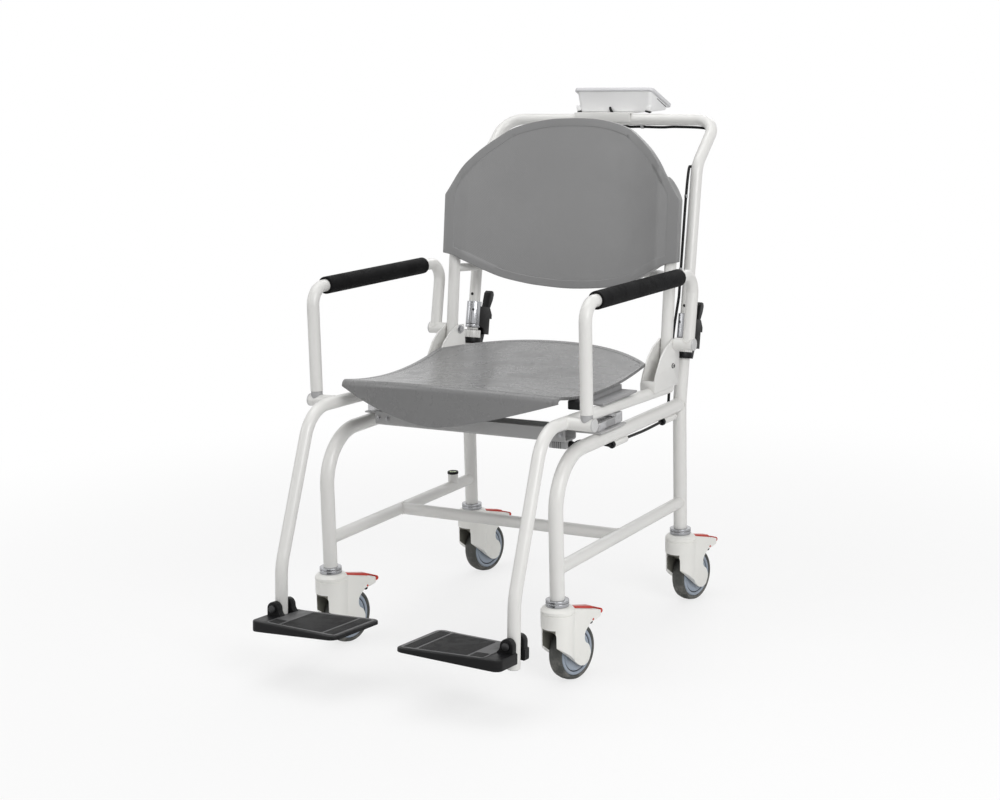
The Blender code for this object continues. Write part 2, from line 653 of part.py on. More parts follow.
def caster_housing(side, frame):
    """Hood of a caster: a round cap over two cheeks, hollow for the wheel, slotted for the pedal."""
    hood = side_slab(wheel_shares(CHEEK_OUTLINE_SHARES), CHEEK_WIDTH)
    skirt_foot = FRONT_CUT_HEIGHT + WHEEL_CLEARANCE
    cap = turned([(0, CAP_TOP), (CAP_DIAMETER / 2 - CAP_EDGE, CAP_TOP), (CAP_DIAMETER / 2, CAP_TOP - CAP_EDGE),
                  (CAP_DIAMETER / 2, skirt_foot), (0, skirt_foot)])
    join(hood, as_cutter(cap, frame))
    wheel_room = cylinder(WHEEL_RADIUS + WHEEL_CLEARANCE, WHEEL_WIDTH + 2 * WHEEL_CLEARANCE,
                          (0, CASTER_TRAIL, WHEEL_RADIUS), "X", CUTTER_SIDES)
    slot_rear = CASTER_TRAIL + 2 * WHEEL_RADIUS
    lower_room = box((WHEEL_WIDTH + 2 * WHEEL_CLEARANCE, slot_rear, WHEEL_DIAMETER),
                     (0, CASTER_TRAIL + WHEEL_RADIUS, WHEEL_RADIUS - OVERRUN))
    front_cut = box((FRONT_CUT_WIDTH, WHEEL_DIAMETER, FRONT_CUT_HEIGHT), (0, -WHEEL_RADIUS, FRONT_CUT_HEIGHT / 2))
    slot_foot = WHEEL_DIAMETER * PEDAL_SLOT_SHARE
    pedal_slot = box((PEDAL_WIDTH + 2 * PEDAL_PLAY, WHEEL_DIAMETER, WHEEL_RADIUS * 2),
                     (0, CAP_DIAMETER / 2 - OVERRUN + WHEEL_DIAMETER / 2, slot_foot + WHEEL_RADIUS))
    stem_bore = cylinder(COLLAR_SOCKET + GAP, COLLAR_HEIGHT + OVERRUN,
                         (0, 0, CAP_TOP - COLLAR_HEIGHT / 2 + OVERRUN / 2))
    corners = box((CHEEK_WIDTH + 2 * OVERRUN, WHEEL_DIAMETER, skirt_foot),
                  (0, NOSE_Y - WHEEL_DIAMETER / 2, skirt_foot / 2))
    cut(corners, as_cutter(cylinder(CHEEK_WIDTH / 2, WHEEL_DIAMETER * 2, (0, NOSE_Y, 0), "Z", CUTTER_SIDES),
                           None))
    for tool in (wheel_room, lower_room, front_cut, pedal_slot, stem_bore, frozen(corners)):
        cut(hood, as_cutter(tool, frame))
    axle = cylinder(AXLE_RADIUS, CHEEK_WIDTH - CAP_EDGE / 2, (0, CASTER_TRAIL, WHEEL_RADIUS), "X", LEG_SIDES)
    pin_y, pin_z = wheel_shares((PEDAL_PIN_SHARE,))[0]
    pin = cylinder(PEDAL_PIN_RADIUS, CHEEK_WIDTH - CAP_EDGE / 2, (0, pin_y, pin_z), "X", LEG_SIDES)
    join(hood, as_cutter(axle, frame), as_cutter(pin, frame))
    return place(hood, "caster_housing_" + side, "caster_white", frame)


AXLE_RADIUS = 0.004


def caster_wheel(side, frame):
    """A crowned tyre moulded on its hub, turned about the wheel's own axle."""
    half = WHEEL_WIDTH / 2
    seat = WHEEL_RADIUS - TYRE_DEPTH
    face = half - HUB_RELIEF
    upper = [(AXLE_RADIUS + GAP, half), (HUB_BOSS_RADIUS, half), (HUB_BOSS_RADIUS + HUB_RELIEF, face),
             (seat - HUB_RELIEF, face)]
    tread = [(WHEEL_RADIUS * out, half * across) for out, across in TREAD_SHARES]
    profile = upper + tread + [(radius, -height) for radius, height in upper[::-1]]
    wheel = turned(profile, "X", WHEEL_STEPS)
    return place(wheel, "caster_wheel_" + side, "tyre", frame, (0, CASTER_TRAIL, WHEEL_RADIUS))


def caster_pedal(side, frame):
    """Brake pedal: a plate over the wheel with a wider toe tab and a pad that comes down on the tread."""
    pin_y, pin_z = wheel_shares((PEDAL_PIN_SHARE,))[0]
    outline = [(y - pin_y, z - pin_z) for y, z in wheel_shares(PEDAL_OUTLINE_SHARES)]
    pedal = side_slab(outline, PEDAL_WIDTH)
    toe_start = WHEEL_DIAMETER * PEDAL_TIP_SHARE - pin_y
    toe = [point for point in outline if point[0] > toe_start]
    join(pedal, as_cutter(side_slab(toe, PEDAL_TIP_WIDTH), frame, (0, pin_y, pin_z)))
    bore = cylinder(PEDAL_PIN_RADIUS + GAP, PEDAL_WIDTH + 2 * OVERRUN, (0, 0, 0), "X", LEG_SIDES)
    cut(pedal, as_cutter(bore, frame, (0, pin_y, pin_z)))
    return place(pedal, "caster_pedal_" + side, "pedal_red", frame, (0, pin_y, pin_z))


def merged(first, *others):
    """One mesh holding several closed solids that keep apart."""
    work = bmesh.new()
    work.from_mesh(first.data)
    for other in others:
        work.from_mesh(other.data)
        bpy.data.objects.remove(other, do_unlink=True)
    work.to_mesh(first.data)
    work.free()
    return first


def caster_places():
    return (("front_left", -1, 0), ("front_right", 1, 0), ("rear_left", -1, WHEELBASE), ("rear_right", 1, WHEELBASE))


def caster_collar(x_sign, y):
    """Collar under a leg with the short stem on which a caster swivels."""
    foot = LEG_FOOT_HEIGHT - COLLAR_HEIGHT
    return turned([(0, LEG_FOOT_HEIGHT), (COLLAR_DIAMETER / 2, LEG_FOOT_HEIGHT), (COLLAR_DIAMETER / 2, foot),
                   (COLLAR_SOCKET, foot), (COLLAR_SOCKET, CAP_TOP - COLLAR_HEIGHT + GAP),
                   (0, CAP_TOP - COLLAR_HEIGHT + GAP)], centre=(x_sign * SIDE_X, y, 0))


def casters():
    for side, x_sign, y in caster_places():
        frame = caster_frame(side, x_sign, y)
        caster_housing(side, frame)
        caster_wheel(side, frame)
        caster_pedal(side, frame)


# Main frame

CABLE_SIDE = "right"
GUIDE_HEIGHT = UPPER_RAIL_HEIGHT - LEG_RADIUS - GUIDE_DIAMETER * 0.42
STUB_HEIGHT = seat_tube_z(ARM_FRONT_Y)
LEG_START = LEG_FOOT_HEIGHT - COLLAR_HEIGHT / 2


def post_path(x, top=HINGE_HEIGHT):
    return rounded([(x, WHEELBASE, LEG_START), (x, WHEELBASE, UPPER_RAIL_HEIGHT),
                    (x, post_y(top), top)], POST_BEND)


def post_cutter(x):
    return as_cutter(tube(post_path(x), LEG_RADIUS + GAP, LEG_SIDES))


def front_leg(side, x_sign):
    """Front leg on its caster collar, bent into the upper rail, which meets the rear post."""
    x = x_sign * SIDE_X
    path = rounded([(x, 0, LEG_START), (x, 0, UPPER_RAIL_HEIGHT), (x, WHEELBASE, UPPER_RAIL_HEIGHT)], FRONT_BEND)
    leg = tube(path, LEG_RADIUS, LEG_SIDES)
    join(leg, as_cutter(caster_collar(x_sign, 0)))
    if side == CABLE_SIDE:
        join(leg, *[as_cutter(cable_guide(middle)) for middle in (FRONT_GUIDE_Y, REAR_GUIDE_Y)])
    cut(leg, post_cutter(x))
    return place(leg, "front_leg_" + side, "frame_white")


def rear_post(side, x_sign):
    post = tube(post_path(x_sign * SIDE_X), LEG_RADIUS, LEG_SIDES)
    join(post, as_cutter(caster_collar(x_sign, WHEELBASE)))
    return place(post, "rear_post_" + side, "frame_white")


def lower_frame():
    """Two lower side rails and the cross tube between them."""
    radius = CROSS_TUBE_DIAMETER / 2
    rails = [cylinder(radius, WHEELBASE, (x_sign * SIDE_X, WHEELBASE / 2, LOWER_RAIL_HEIGHT), "Y", TUBE_SIDES)
             for side, x_sign in SIDES]
    frame = merged(*rails)
    join(frame, as_cutter(cylinder(radius, TRACK, (0, CROSS_TUBE_Y, LOWER_RAIL_HEIGHT), "X", TUBE_SIDES)))
    for side, x_sign in SIDES:
        cut(frame, post_cutter(x_sign * SIDE_X))
        leg = cylinder(LEG_RADIUS + GAP, UPPER_RAIL_RISE, (x_sign * SIDE_X, 0, LOWER_RAIL_HEIGHT))
        cut(frame, as_cutter(leg))
    return place(frame, "lower_frame", "frame_white")


def cross_channel():
    """Folded channel between the upper rails, with a plate on each rail under the load cell."""
    width = TRACK - 2 * CHANNEL_INSET
    inner = CHANNEL_DEPTH - 2 * WALL
    work = box((width, CHANNEL_DEPTH, CHANNEL_HEIGHT), (0, CHANNEL_Y, CHANNEL_BOTTOM + CHANNEL_HEIGHT / 2))
    cut(work, as_cutter(box((width + 2 * OVERRUN, inner, CHANNEL_HEIGHT),
                            (0, CHANNEL_Y, CHANNEL_BOTTOM + WALL + CHANNEL_HEIGHT / 2))))
    join(work, *[as_cutter(load_plate(x_sign)) for side, x_sign in SIDES])
    return place(work, "cross_channel", "steel_grey")


LOAD_PLATE_REAR = 0.246
RAIL_TOP = UPPER_RAIL_HEIGHT + LEG_RADIUS
LOAD_PLATE_BOTTOM = RAIL_TOP + GAP
LOAD_CELL_BOTTOM = LOAD_PLATE_BOTTOM + WALL + GAP
LOAD_CELL_Y = 0.196
LOAD_CELL_X = SIDE_X - TUBE_RADIUS / 2
LOAD_FOOT = 0.0022
SEAT_RAIL_FRONT = 0.157
SEAT_RAIL_LEAD = 0.070              # its rear end ahead of the bracket
SEAT_RAIL_REAR = BRACKET_FRONT - SEAT_RAIL_LEAD


def load_plate(x_sign):
    """Plate lying on an upper rail under its load cell and running forward onto the channel."""
    front = CHANNEL_Y + CHANNEL_DEPTH / 2 - WALL / 2
    length = LOAD_PLATE_REAR - front
    reach = SIDE_X + LEG_RADIUS - LOAD_PLATE_WIDTH / 2
    return box((LOAD_PLATE_WIDTH, length, WALL), (x_sign * reach, front + length / 2, LOAD_PLATE_BOTTOM + WALL / 2))


def load_cell(side, x_sign):
    """A bending beam: footed on its plate at the front, carrying the seat tube at the rear."""
    height = LOAD_CELL_HEIGHT - 2 * LOAD_FOOT
    foot_length = LOAD_CELL_LENGTH / 4
    x = x_sign * LOAD_CELL_X
    middle = LOAD_CELL_BOTTOM + LOAD_FOOT + height / 2
    beam = box((LOAD_CELL_WIDTH, LOAD_CELL_LENGTH, height), (x, LOAD_CELL_Y, middle))
    front = LOAD_CELL_Y - LOAD_CELL_LENGTH / 2 + foot_length / 2
    foot = box((LOAD_CELL_WIDTH, foot_length, LOAD_FOOT * 2), (x, front, LOAD_CELL_BOTTOM + LOAD_FOOT))
    head_y = LOAD_CELL_Y + LOAD_CELL_LENGTH / 2 - foot_length / 2
    head_top = seat_tube_z(head_y + foot_length / 2) - TUBE_RADIUS - GAP
    head_foot = middle
    head = box((LOAD_CELL_WIDTH, foot_length, head_top - head_foot), (x, head_y, (head_top + head_foot) / 2))
    join(beam, as_cutter(foot), as_cutter(head))
    for share in (-1, 1):
        cut(beam, as_cutter(cylinder(LOAD_CELL_HOLE, LOAD_CELL_WIDTH + 2 * OVERRUN,
                                     (x, LOAD_CELL_Y + share * LOAD_CELL_HOLE, middle), "X")))
    return place(beam, "load_cell_" + side, "aluminium")


# Weighed frame

def hanger_path(x):
    return rounded([(x, SEAT_TUBE_END, seat_tube_z(SEAT_TUBE_END)),
                    (x, -HANGER_TOP_REACH, seat_tube_z(-HANGER_TOP_REACH)),
                    (x, -HANGER_KNEE_REACH, HANGER_KNEE_HEIGHT), (x, -HANGER_FOOT_REACH, HANGER_FOOT_HEIGHT)],
                   [0, HANGER_BEND, HANGER_KNEE_BEND, 0])


def hanger(side, x_sign):
    """Seat side tube bent down in front into the footplate tube, with the armrest's stub on its outer side."""
    x = x_sign * SIDE_X
    item = tube(hanger_path(x), TUBE_RADIUS)
    length = STUB_LENGTH
    stub = cylinder(STUB_DIAMETER / 2, length, (x_sign * (SIDE_X + length / 2), ARM_FRONT_Y, STUB_HEIGHT), "X",
                    TUBE_SIDES)
    join(item, as_cutter(stub))
    cut(item, as_cutter(foot_bolt_cutter(x, FOOT_BOLT_RADIUS + GAP)))
    return place(item, "hanger_" + side, "frame_white")


def foot_axis(x):
    """Matrix of a footplate's hinge: origin on the tube, +Y along the axis."""
    return Matrix.Translation((x, FOOT_HINGE_Y, FOOTPLATE_HINGE_HEIGHT)) @ Matrix.Rotation(-FOOTPLATE_PITCH, 4, "X")


def foot_bolt_cutter(x, radius):
    item = cylinder(radius, FOOTPLATE_FRONT + FOOTPLATE_REAR, (0, 0, 0), "Y", LEG_SIDES)
    item.data.transform(foot_axis(x))
    return item


def foot_bolt(side, x):
    reach = TUBE_RADIUS + TUBE_NOTCH_PLAY + EAR_THICKNESS + GAP
    head = FOOT_BOLT_HEAD
    profile = [(0, reach + FOOT_BOLT_RADIUS), (head, reach + FOOT_BOLT_RADIUS), (head, reach),
               (FOOT_BOLT_RADIUS, reach), (FOOT_BOLT_RADIUS, -reach), (head, -reach),
               (head, -reach - FOOT_BOLT_RADIUS), (0, -reach - FOOT_BOLT_RADIUS)]
    item = turned(profile, "Y", LEG_SIDES)
    item.data.transform(foot_axis(x))
    return place(item, "footplate_bolt_" + side, "chrome")


def footplate(side, x_sign):
    """A plate reaching in from its tube, thinner at its inner edge, on two ears astride the tube."""
    matrix = foot_axis(x_sign * SIDE_X)
    hinge = empty("footplate_hinge_" + side, matrix.to_translation(), matrix.to_euler(), CHAIR)
    inner = FOOTPLATE_INNER_EDGE - SIDE_X
    outer = inner + FOOTPLATE_WIDTH
    near = (inner + outer) / 2 + FOOTPLATE_CORNER
    outline = [(inner, -FOOTPLATE_FRONT), (outer, -FOOTPLATE_OUTER_FRONT), (outer, FOOTPLATE_OUTER_REAR),
               (near, FOOTPLATE_OUTER_REAR), (inner, FOOTPLATE_REAR)]
    outline = [(x_sign * x, y) for x, y in rounded(outline, FOOTPLATE_CORNER, True)]
    thick = FOOTPLATE_OUTER_THICKNESS
    plate = slab(outline, thick, FOOT_RECESS)
    plate.data.transform(Matrix.Translation((0, 0, -FOOTPLATE_DROP - thick / 2)))
    slope = math.atan((thick - FOOTPLATE_INNER_THICKNESS) / FOOTPLATE_WIDTH)
    length = FOOTPLATE_WIDTH * 3
    under = box((length, length, length), (0, 0, -length / 2))
    under.data.transform(Matrix.Translation((x_sign * outer, 0, -FOOTPLATE_DROP - thick))
                         @ Matrix.Rotation(x_sign * slope, 4, "Y"))
    reach = TUBE_RADIUS + TUBE_NOTCH_PLAY
    for number in (-1, 1):
        ear_y = number * (reach + EAR_THICKNESS / 2)
        ear = cylinder(EAR_RADIUS, EAR_THICKNESS, (0, ear_y, 0), "Y")
        web = box((EAR_RADIUS * 2, EAR_THICKNESS, FOOTPLATE_DROP + FOOT_RECESS * 2),
                  (0, ear_y, -FOOTPLATE_DROP / 2 - FOOT_RECESS))
        join(plate, as_cutter(ear, hinge), as_cutter(web, hinge))
    notch = box((reach * 2 + FOOTPLATE_CORNER, reach * 2, length), (x_sign * FOOTPLATE_CORNER / 2, 0, 0))
    bore = cylinder(FOOT_BOLT_RADIUS + GAP, length, (0, 0, 0), "Y", LEG_SIDES)
    recess_width = FOOTPLATE_WIDTH - 2 * FOOTPLATE_CORNER - reach - TUBE_RADIUS
    recess = box((recess_width, FOOTPLATE_FRONT, FOOT_RECESS * 2),
                 (x_sign * (inner + FOOTPLATE_CORNER + recess_width / 2), -FOOTPLATE_CORNER, -FOOTPLATE_DROP))
    for tool in (under, notch, bore, recess):
        cut(plate, as_cutter(tool, hinge))
    return place(plate, "footplate_" + side, "footplate", hinge)


def bumper(side, x_sign):
    """Rubber saddle on a stub, on which the armrest comes down."""
    top = STUB_HEIGHT + STUB_DIAMETER / 2 + BUMPER_HEIGHT
    item = cylinder(BUMPER_RADIUS, top - STUB_HEIGHT, (x_sign * ARM_X, ARM_FRONT_Y, (top + STUB_HEIGHT) / 2))
    stub = cylinder(STUB_DIAMETER / 2 + GAP, 2 * ARM_X, (x_sign * ARM_X, ARM_FRONT_Y, STUB_HEIGHT), "X",
                    CUTTER_SIDES)
    cut(item, as_cutter(stub))
    return place(item, "bumper_" + side, "rubber")


BRACKET_OUTLINE_SHARES = (          # of the bracket's length and height, from its front foot
    (0.0, 0.0), (0.0, 0.18), (0.08, 0.37), (0.28, 0.69), (0.48, 0.86), (0.76, 0.99), (0.98, 0.97),
    (1.0, 0.60), (0.97, 0.0))


def side_x(x_sign, offset):
    return x_sign * (SIDE_X + offset)


def bracket_outline():
    depth = BRACKET_REAR - BRACKET_FRONT
    height = BRACKET_TOP - BRACKET_BOTTOM
    return [(BRACKET_FRONT + depth * y, BRACKET_BOTTOM + height * z) for y, z in BRACKET_OUTLINE_SHARES]


def armrest_bracket(side, x_sign):
    """U-shaped bracket astride the seat tube's rear end and the backrest tube's foot, with its bolt."""
    x = x_sign * SIDE_X
    inner = TUBE_RADIUS + GAP
    width = 2 * (inner + BRACKET_THICKNESS)
    item = side_slab(bracket_outline(), width, x)
    room_front = BRACKET_FRONT + BRACKET_THICKNESS
    depth = BRACKET_REAR - room_front + OVERRUN
    height = BRACKET_TOP - BRACKET_BOTTOM + 2 * OVERRUN
    room = box((2 * inner, depth, height), (x, room_front + depth / 2, BRACKET_BOTTOM - OVERRUN + height / 2))
    pivot_bore = cylinder(ARM_PIN_RADIUS + GAP, TRACK, (x, ARM_PIVOT_Y, ARM_PIVOT_HEIGHT), "X", LEG_SIDES)
    cut(item, as_cutter(room), as_cutter(tube(hanger_path(x), TUBE_RADIUS + GAP)), as_cutter(pivot_bore))
    bolt = cylinder(ARM_PIN_RADIUS, width + 2 * WALL, second_bolt_place(x), "X", LEG_SIDES)
    join(item, as_cutter(bolt))
    return place(item, "armrest_bracket_" + side, "frame_white")


ARM_PIN_RADIUS = 0.0035


def second_bolt_place(x):
    height = ARM_PIVOT_HEIGHT - SECOND_NUT_DROP
    return (x, back_y(height), height)


BACK_CROSS_SHARES = (               # of the half track, and of the bow
    (1.0, 0.0), (0.88, 0.52), (0.77, 0.76), (0.45, 0.95), (0.0, 1.0))
CROSS_STEP = 0.060
CROSS_SIDES = 10


def back_tube_path(x, foot=BACK_TUBE_FOOT, top=BACK_TUBE_TOP):
    return [(x, back_y(foot), foot), (x, back_y(top), top)]


def backrest_frame():
    """Two backrest tubes and the bowed cross tube behind the shell, bored for the armrest pins and bolts."""
    item = merged(*[tube(back_tube_path(x_sign * SIDE_X), TUBE_RADIUS) for side, x_sign in SIDES])
    half = [(SIDE_X * across, back_y(BACK_CROSS_HEIGHT) + BACK_CROSS_BOW * bow, BACK_CROSS_HEIGHT)
            for across, bow in BACK_CROSS_SHARES]
    route = half + [(-x, y, z) for x, y, z in half[-2::-1]]
    join(item, as_cutter(tube(smooth_route(route, CROSS_STEP), BACK_CROSS_DIAMETER / 2, CROSS_SIDES)))
    pivot_bore = cylinder(ARM_PIN_RADIUS + GAP, TRACK * 2, (0, ARM_PIVOT_Y, ARM_PIVOT_HEIGHT), "X", LEG_SIDES)
    second = cylinder(ARM_PIN_RADIUS + GAP, TRACK * 2, second_bolt_place(0), "X", LEG_SIDES)
    cut(item, as_cutter(pivot_bore), as_cutter(second))
    return place(item, "backrest_frame", "frame_white")


def between(table, value):
    """Height share read from a table at a place between its rows."""
    for (low, low_share), (high, high_share) in zip(table, table[1:]):
        if value <= high:
            return low_share + (high_share - low_share) * (value - low) / (high - low)
    return table[-1][1]


BACK_TOP_SHARES = (                 # of the half width, and of the drop from the top to the shoulders
    (0.0, 0.0), (0.17, 0.01), (0.30, 0.05), (0.44, 0.10), (0.60, 0.25), (0.72, 0.41), (0.82, 0.57),
    (0.90, 0.75), (0.955, 0.87), (1.0, 1.0))
BACK_FOOT_SHARES = (                # of the half width, and of the rise from the middle to the corners
    (0.0, 0.0), (0.36, 0.16), (0.52, 0.29), (0.68, 0.55), (0.79, 0.72), (0.89, 0.93), (1.0, 1.0))
BACK_COLUMNS = 20
BACK_ROWS = 12
SEAT_COLUMNS = 18
SEAT_ROWS = 17
PANEL_SHARE = 0.45                  # of the rim's thickness, for the panel inside it


def back_shape(u, v):
    x = u * BACK_HALF_WIDTH
    top = BACK_TOP - (BACK_TOP - BACK_SHOULDER) * between(BACK_TOP_SHARES, abs(u))
    foot = BACK_CENTRE_FOOT + (BACK_CORNER_FOOT - BACK_CENTRE_FOOT) * between(BACK_FOOT_SHARES, abs(u))
    height = foot + (top - foot) * v
    return Vector((x, back_y(height) + BACK_HOLLOW * (1 - abs(u) ** 2.4) - BACK_SETBACK, height))


def backrest_shell():
    """Concave back panel with a thicker rim and a sleeve down each side, pushed over the tubes."""
    panel = sheet(BACK_COLUMNS, BACK_ROWS, back_shape, BACK_RIM, PANEL_SHARE)
    for side, x_sign in SIDES:
        x = x_sign * SIDE_X
        sleeve = tube(back_tube_path(x, BACK_SLEEVE_FOOT, BACK_SHOULDER), BACK_SLEEVE_RADIUS, LEG_SIDES)
        join(panel, as_cutter(sleeve))
    for side, x_sign in SIDES:
        bore = tube(back_tube_path(x_sign * SIDE_X, BACK_TUBE_FOOT, BACK_TUBE_TOP + GAP), TUBE_RADIUS + GAP)
        cut(panel, as_cutter(bore))
    return place(panel, "backrest_shell", "shell_grey")


def seat_shape(u, v):
    """Seat surface: a front lip for the first quarter of v, then the dished top to the rear edge."""
    edge = abs(u)
    front = SEAT_FRONT + SEAT_FRONT_BOW * edge ** 2
    rear = SEAT_REAR - SEAT_REAR_BOW * edge ** 4
    crest = SEAT_CORNER_HEIGHT + SEAT_FRONT_CROWN * (1 - edge ** 2)
    back = SEAT_CORNER_HEIGHT + SEAT_REAR_RISE + SEAT_REAR_CROWN * (1 - edge ** 2)
    lip_foot = crest - SEAT_RIM - (SEAT_LIP - SEAT_RIM) * (1 - edge ** 1.8)
    x = u * SEAT_HALF_WIDTH
    if v < LIP_SHARE:
        t = v / LIP_SHARE
        height = lip_foot + (crest - SEAT_RIM - lip_foot) * min(1.0, t * ROLL_START)
        roll = max(0.0, t * ROLL_START - 1) / (ROLL_START - 1)
        height += SEAT_RIM * math.sin(roll * math.pi / 2)
        return Vector((x, front + SEAT_RIM * (1 - math.cos(roll * math.pi / 2)), height))
    t = (v - LIP_SHARE) / (1 - LIP_SHARE)
    start = front + SEAT_RIM
    height = crest + (back - crest) * t ** 1.4 - SEAT_DISH * (1 - SEAT_EDGE_HOLD * edge ** 2) * 4 * t * (1 - t)
    return Vector((x - u * SEAT_REAR_TAPER * t ** 6, start + (rear - start) * t, height))


LIP_SHARE = 5 / 17
ROLL_START = 5 / 3


def seat_mount(x_sign, front, rear, top):
    """Block or rail under a side edge of the seat, resting on the seat tube."""
    foot = seat_tube_z(front) + TUBE_RADIUS + GAP
    return box((SEAT_MOUNT_SIZE, rear - front, top - foot), (x_sign * SIDE_X, (front + rear) / 2, (top + foot) / 2))


def seat_shell():
    """Dished seat with a front lip and a thick edge, and the mounts under it."""
    seat = sheet(SEAT_COLUMNS, SEAT_ROWS, seat_shape, SEAT_THICKNESS, 1.0)
    half = SEAT_MOUNT_SIZE / 2
    for side, x_sign in SIDES:
        join(seat, as_cutter(seat_mount(x_sign, SEAT_MOUNT_Y - half, SEAT_MOUNT_Y + half, SEAT_MOUNT_TOP)),
             as_cutter(seat_mount(x_sign, SEAT_RAIL_FRONT, SEAT_RAIL_REAR, SEAT_RAIL_TOP)))
    return place(seat, "seat_shell", "shell_grey")


SEAT_MOUNT_Y = 0.108
SEAT_MOUNT_DROP = 0.0015            # mounts end in the shell, below its corners' height
SEAT_RAIL_DROP = 0.0060
SEAT_MOUNT_TOP = SEAT_CORNER_HEIGHT - SEAT_MOUNT_DROP
SEAT_RAIL_TOP = SEAT_CORNER_HEIGHT - SEAT_RAIL_DROP


def armrest(side, x_sign):
    """Armrest tube welded to its pivot tube, with the pin that holds it in the bracket."""
    pivot = empty("armrest_pivot_" + side, (x_sign * ARM_X, ARM_PIVOT_Y, ARM_PIVOT_HEIGHT), (0, 0, 0), CHAIR)
    foot = STUB_HEIGHT + STUB_DIAMETER / 2 + BUMPER_HEIGHT + GAP
    path = rounded([(0, ARM_FRONT_Y - ARM_PIVOT_Y, foot - ARM_PIVOT_HEIGHT),
                    (0, ARM_FRONT_Y - ARM_PIVOT_Y, ARM_FRONT_HEIGHT - ARM_PIVOT_HEIGHT),
                    (0, ARM_REAR_Y - ARM_PIVOT_Y, ARM_REAR_HEIGHT - ARM_PIVOT_HEIGHT), (0, 0, 0)], ARM_BEND)
    item = tube(path, TUBE_RADIUS)
    inner = SIDE_X + TUBE_RADIUS + 2 * GAP + BRACKET_THICKNESS - ARM_X
    outer = ARM_PIVOT_CAP - ARM_X
    barrel = cylinder(TUBE_RADIUS, outer - inner, (x_sign * (outer + inner) / 2, 0, 0), "X", TUBE_SIDES)
    nut_start = SIDE_X - TUBE_RADIUS - 2 * GAP - BRACKET_THICKNESS - ARM_X
    pin = cylinder(ARM_PIN_RADIUS, -nut_start, (x_sign * nut_start / 2, 0, 0), "X", LEG_SIDES)
    nut = cylinder(NUT_RADIUS, NUT_LENGTH, (x_sign * (nut_start - NUT_LENGTH / 2), 0, 0), "X", NUT_SIDES)
    nut.data.transform(Matrix.Translation((x_sign * GAP, 0, 0)))
    join(item, as_cutter(barrel, pivot), as_cutter(pin, pivot), as_cutter(nut, pivot))
    place(item, "armrest_" + side, "frame_white", pivot)
    grip = armrest_grip()
    place(grip, "armrest_grip_" + side, "foam", pivot)


ARM_CAP_OVERHANG = 0.013            # pivot tube's end outside the armrest tube
ARM_PIVOT_CAP = ARM_X + ARM_CAP_OVERHANG
NUT_SIDES = 6


def armrest_grip():
    """Foam sleeve on the armrest's top run."""
    slope = math.atan((ARM_FRONT_HEIGHT - ARM_REAR_HEIGHT) / (ARM_REAR_Y - ARM_FRONT_Y))
    length = GRIP_END - GRIP_START
    middle = (GRIP_END + GRIP_START) / 2
    height = ARM_FRONT_HEIGHT - math.tan(slope) * (middle - ARM_FRONT_Y)
    bore = TUBE_RADIUS + GAP
    edge = GRIP_DIAMETER / 2 - WALL
    outer = GRIP_DIAMETER / 2
    item = turned([(bore, length / 2), (edge, length / 2), (outer, length / 2 - WALL), (outer, WALL - length / 2),
                   (edge, -length / 2), (bore, -length / 2)], "Y", TUBE_SIDES)
    item.data.transform(Matrix.Translation((0, middle - ARM_PIVOT_Y, height - ARM_PIVOT_HEIGHT))
                        @ Matrix.Rotation(-slope, 4, "X"))
    return item


# Push handle

def hinge_matrix(x_sign):
    """Frame of a fold hinge: origin on the post's end, +Z along the tubes."""
    return (Matrix.Translation((x_sign * SIDE_X, post_y(HINGE_HEIGHT), HINGE_HEIGHT))
            @ Matrix.Rotation(-POST_LEAN, 4, "X"))


def at_hinge(item, x_sign):
    item.data.transform(hinge_matrix(x_sign))
    return item


def hinge_base(side, x_sign):
    """Clamp round the post with a tongue reaching back to the fold pivot."""
    bore = LEG_RADIUS + GAP
    top = -HINGE_BASE_TOP
    foot = top - HINGE_BASE_LENGTH
    clamp = turned([(bore, top + HINGE_COLLAR_LENGTH), (HINGE_COLLAR_RADIUS, top + HINGE_COLLAR_LENGTH),
                    (HINGE_COLLAR_RADIUS, top), (HINGE_BASE_RADIUS, top), (HINGE_BASE_RADIUS, foot), (bore, foot)])
    outline = [(LEG_RADIUS + WALL / 2, foot), (PIVOT_SETBACK, foot), (PIVOT_SETBACK + TONGUE_NOSE, -TONGUE_NOSE),
               (PIVOT_SETBACK + TONGUE_NOSE, TONGUE_NOSE), (PIVOT_SETBACK - TONGUE_NOSE, TONGUE_NOSE),
               (LEG_RADIUS + WALL / 2, -TONGUE_NOSE)]
    tongue = side_slab(outline, TONGUE_WIDTH)
    join(clamp, as_cutter(tongue, None))
    bore = cylinder(HINGE_PIN_RADIUS + GAP, TONGUE_WIDTH * 2, (0, PIVOT_SETBACK, 0), "X", LEG_SIDES)
    cut(clamp, as_cutter(bore, None))
    return place(at_hinge(frozen(clamp), x_sign), "hinge_base_" + side, "black_plastic")


HINGE_BASE_TOP = 0.0165
TONGUE_NOSE = 0.0065
HOUSING_TOP = 0.0470
HOUSING_BACK = 0.0400
HOUSING_FOOT = -0.0080
LEVER_PIN_Y = 0.0430
LEVER_PIN_Z = 0.0280
LEVER_PIN_RADIUS = 0.0025


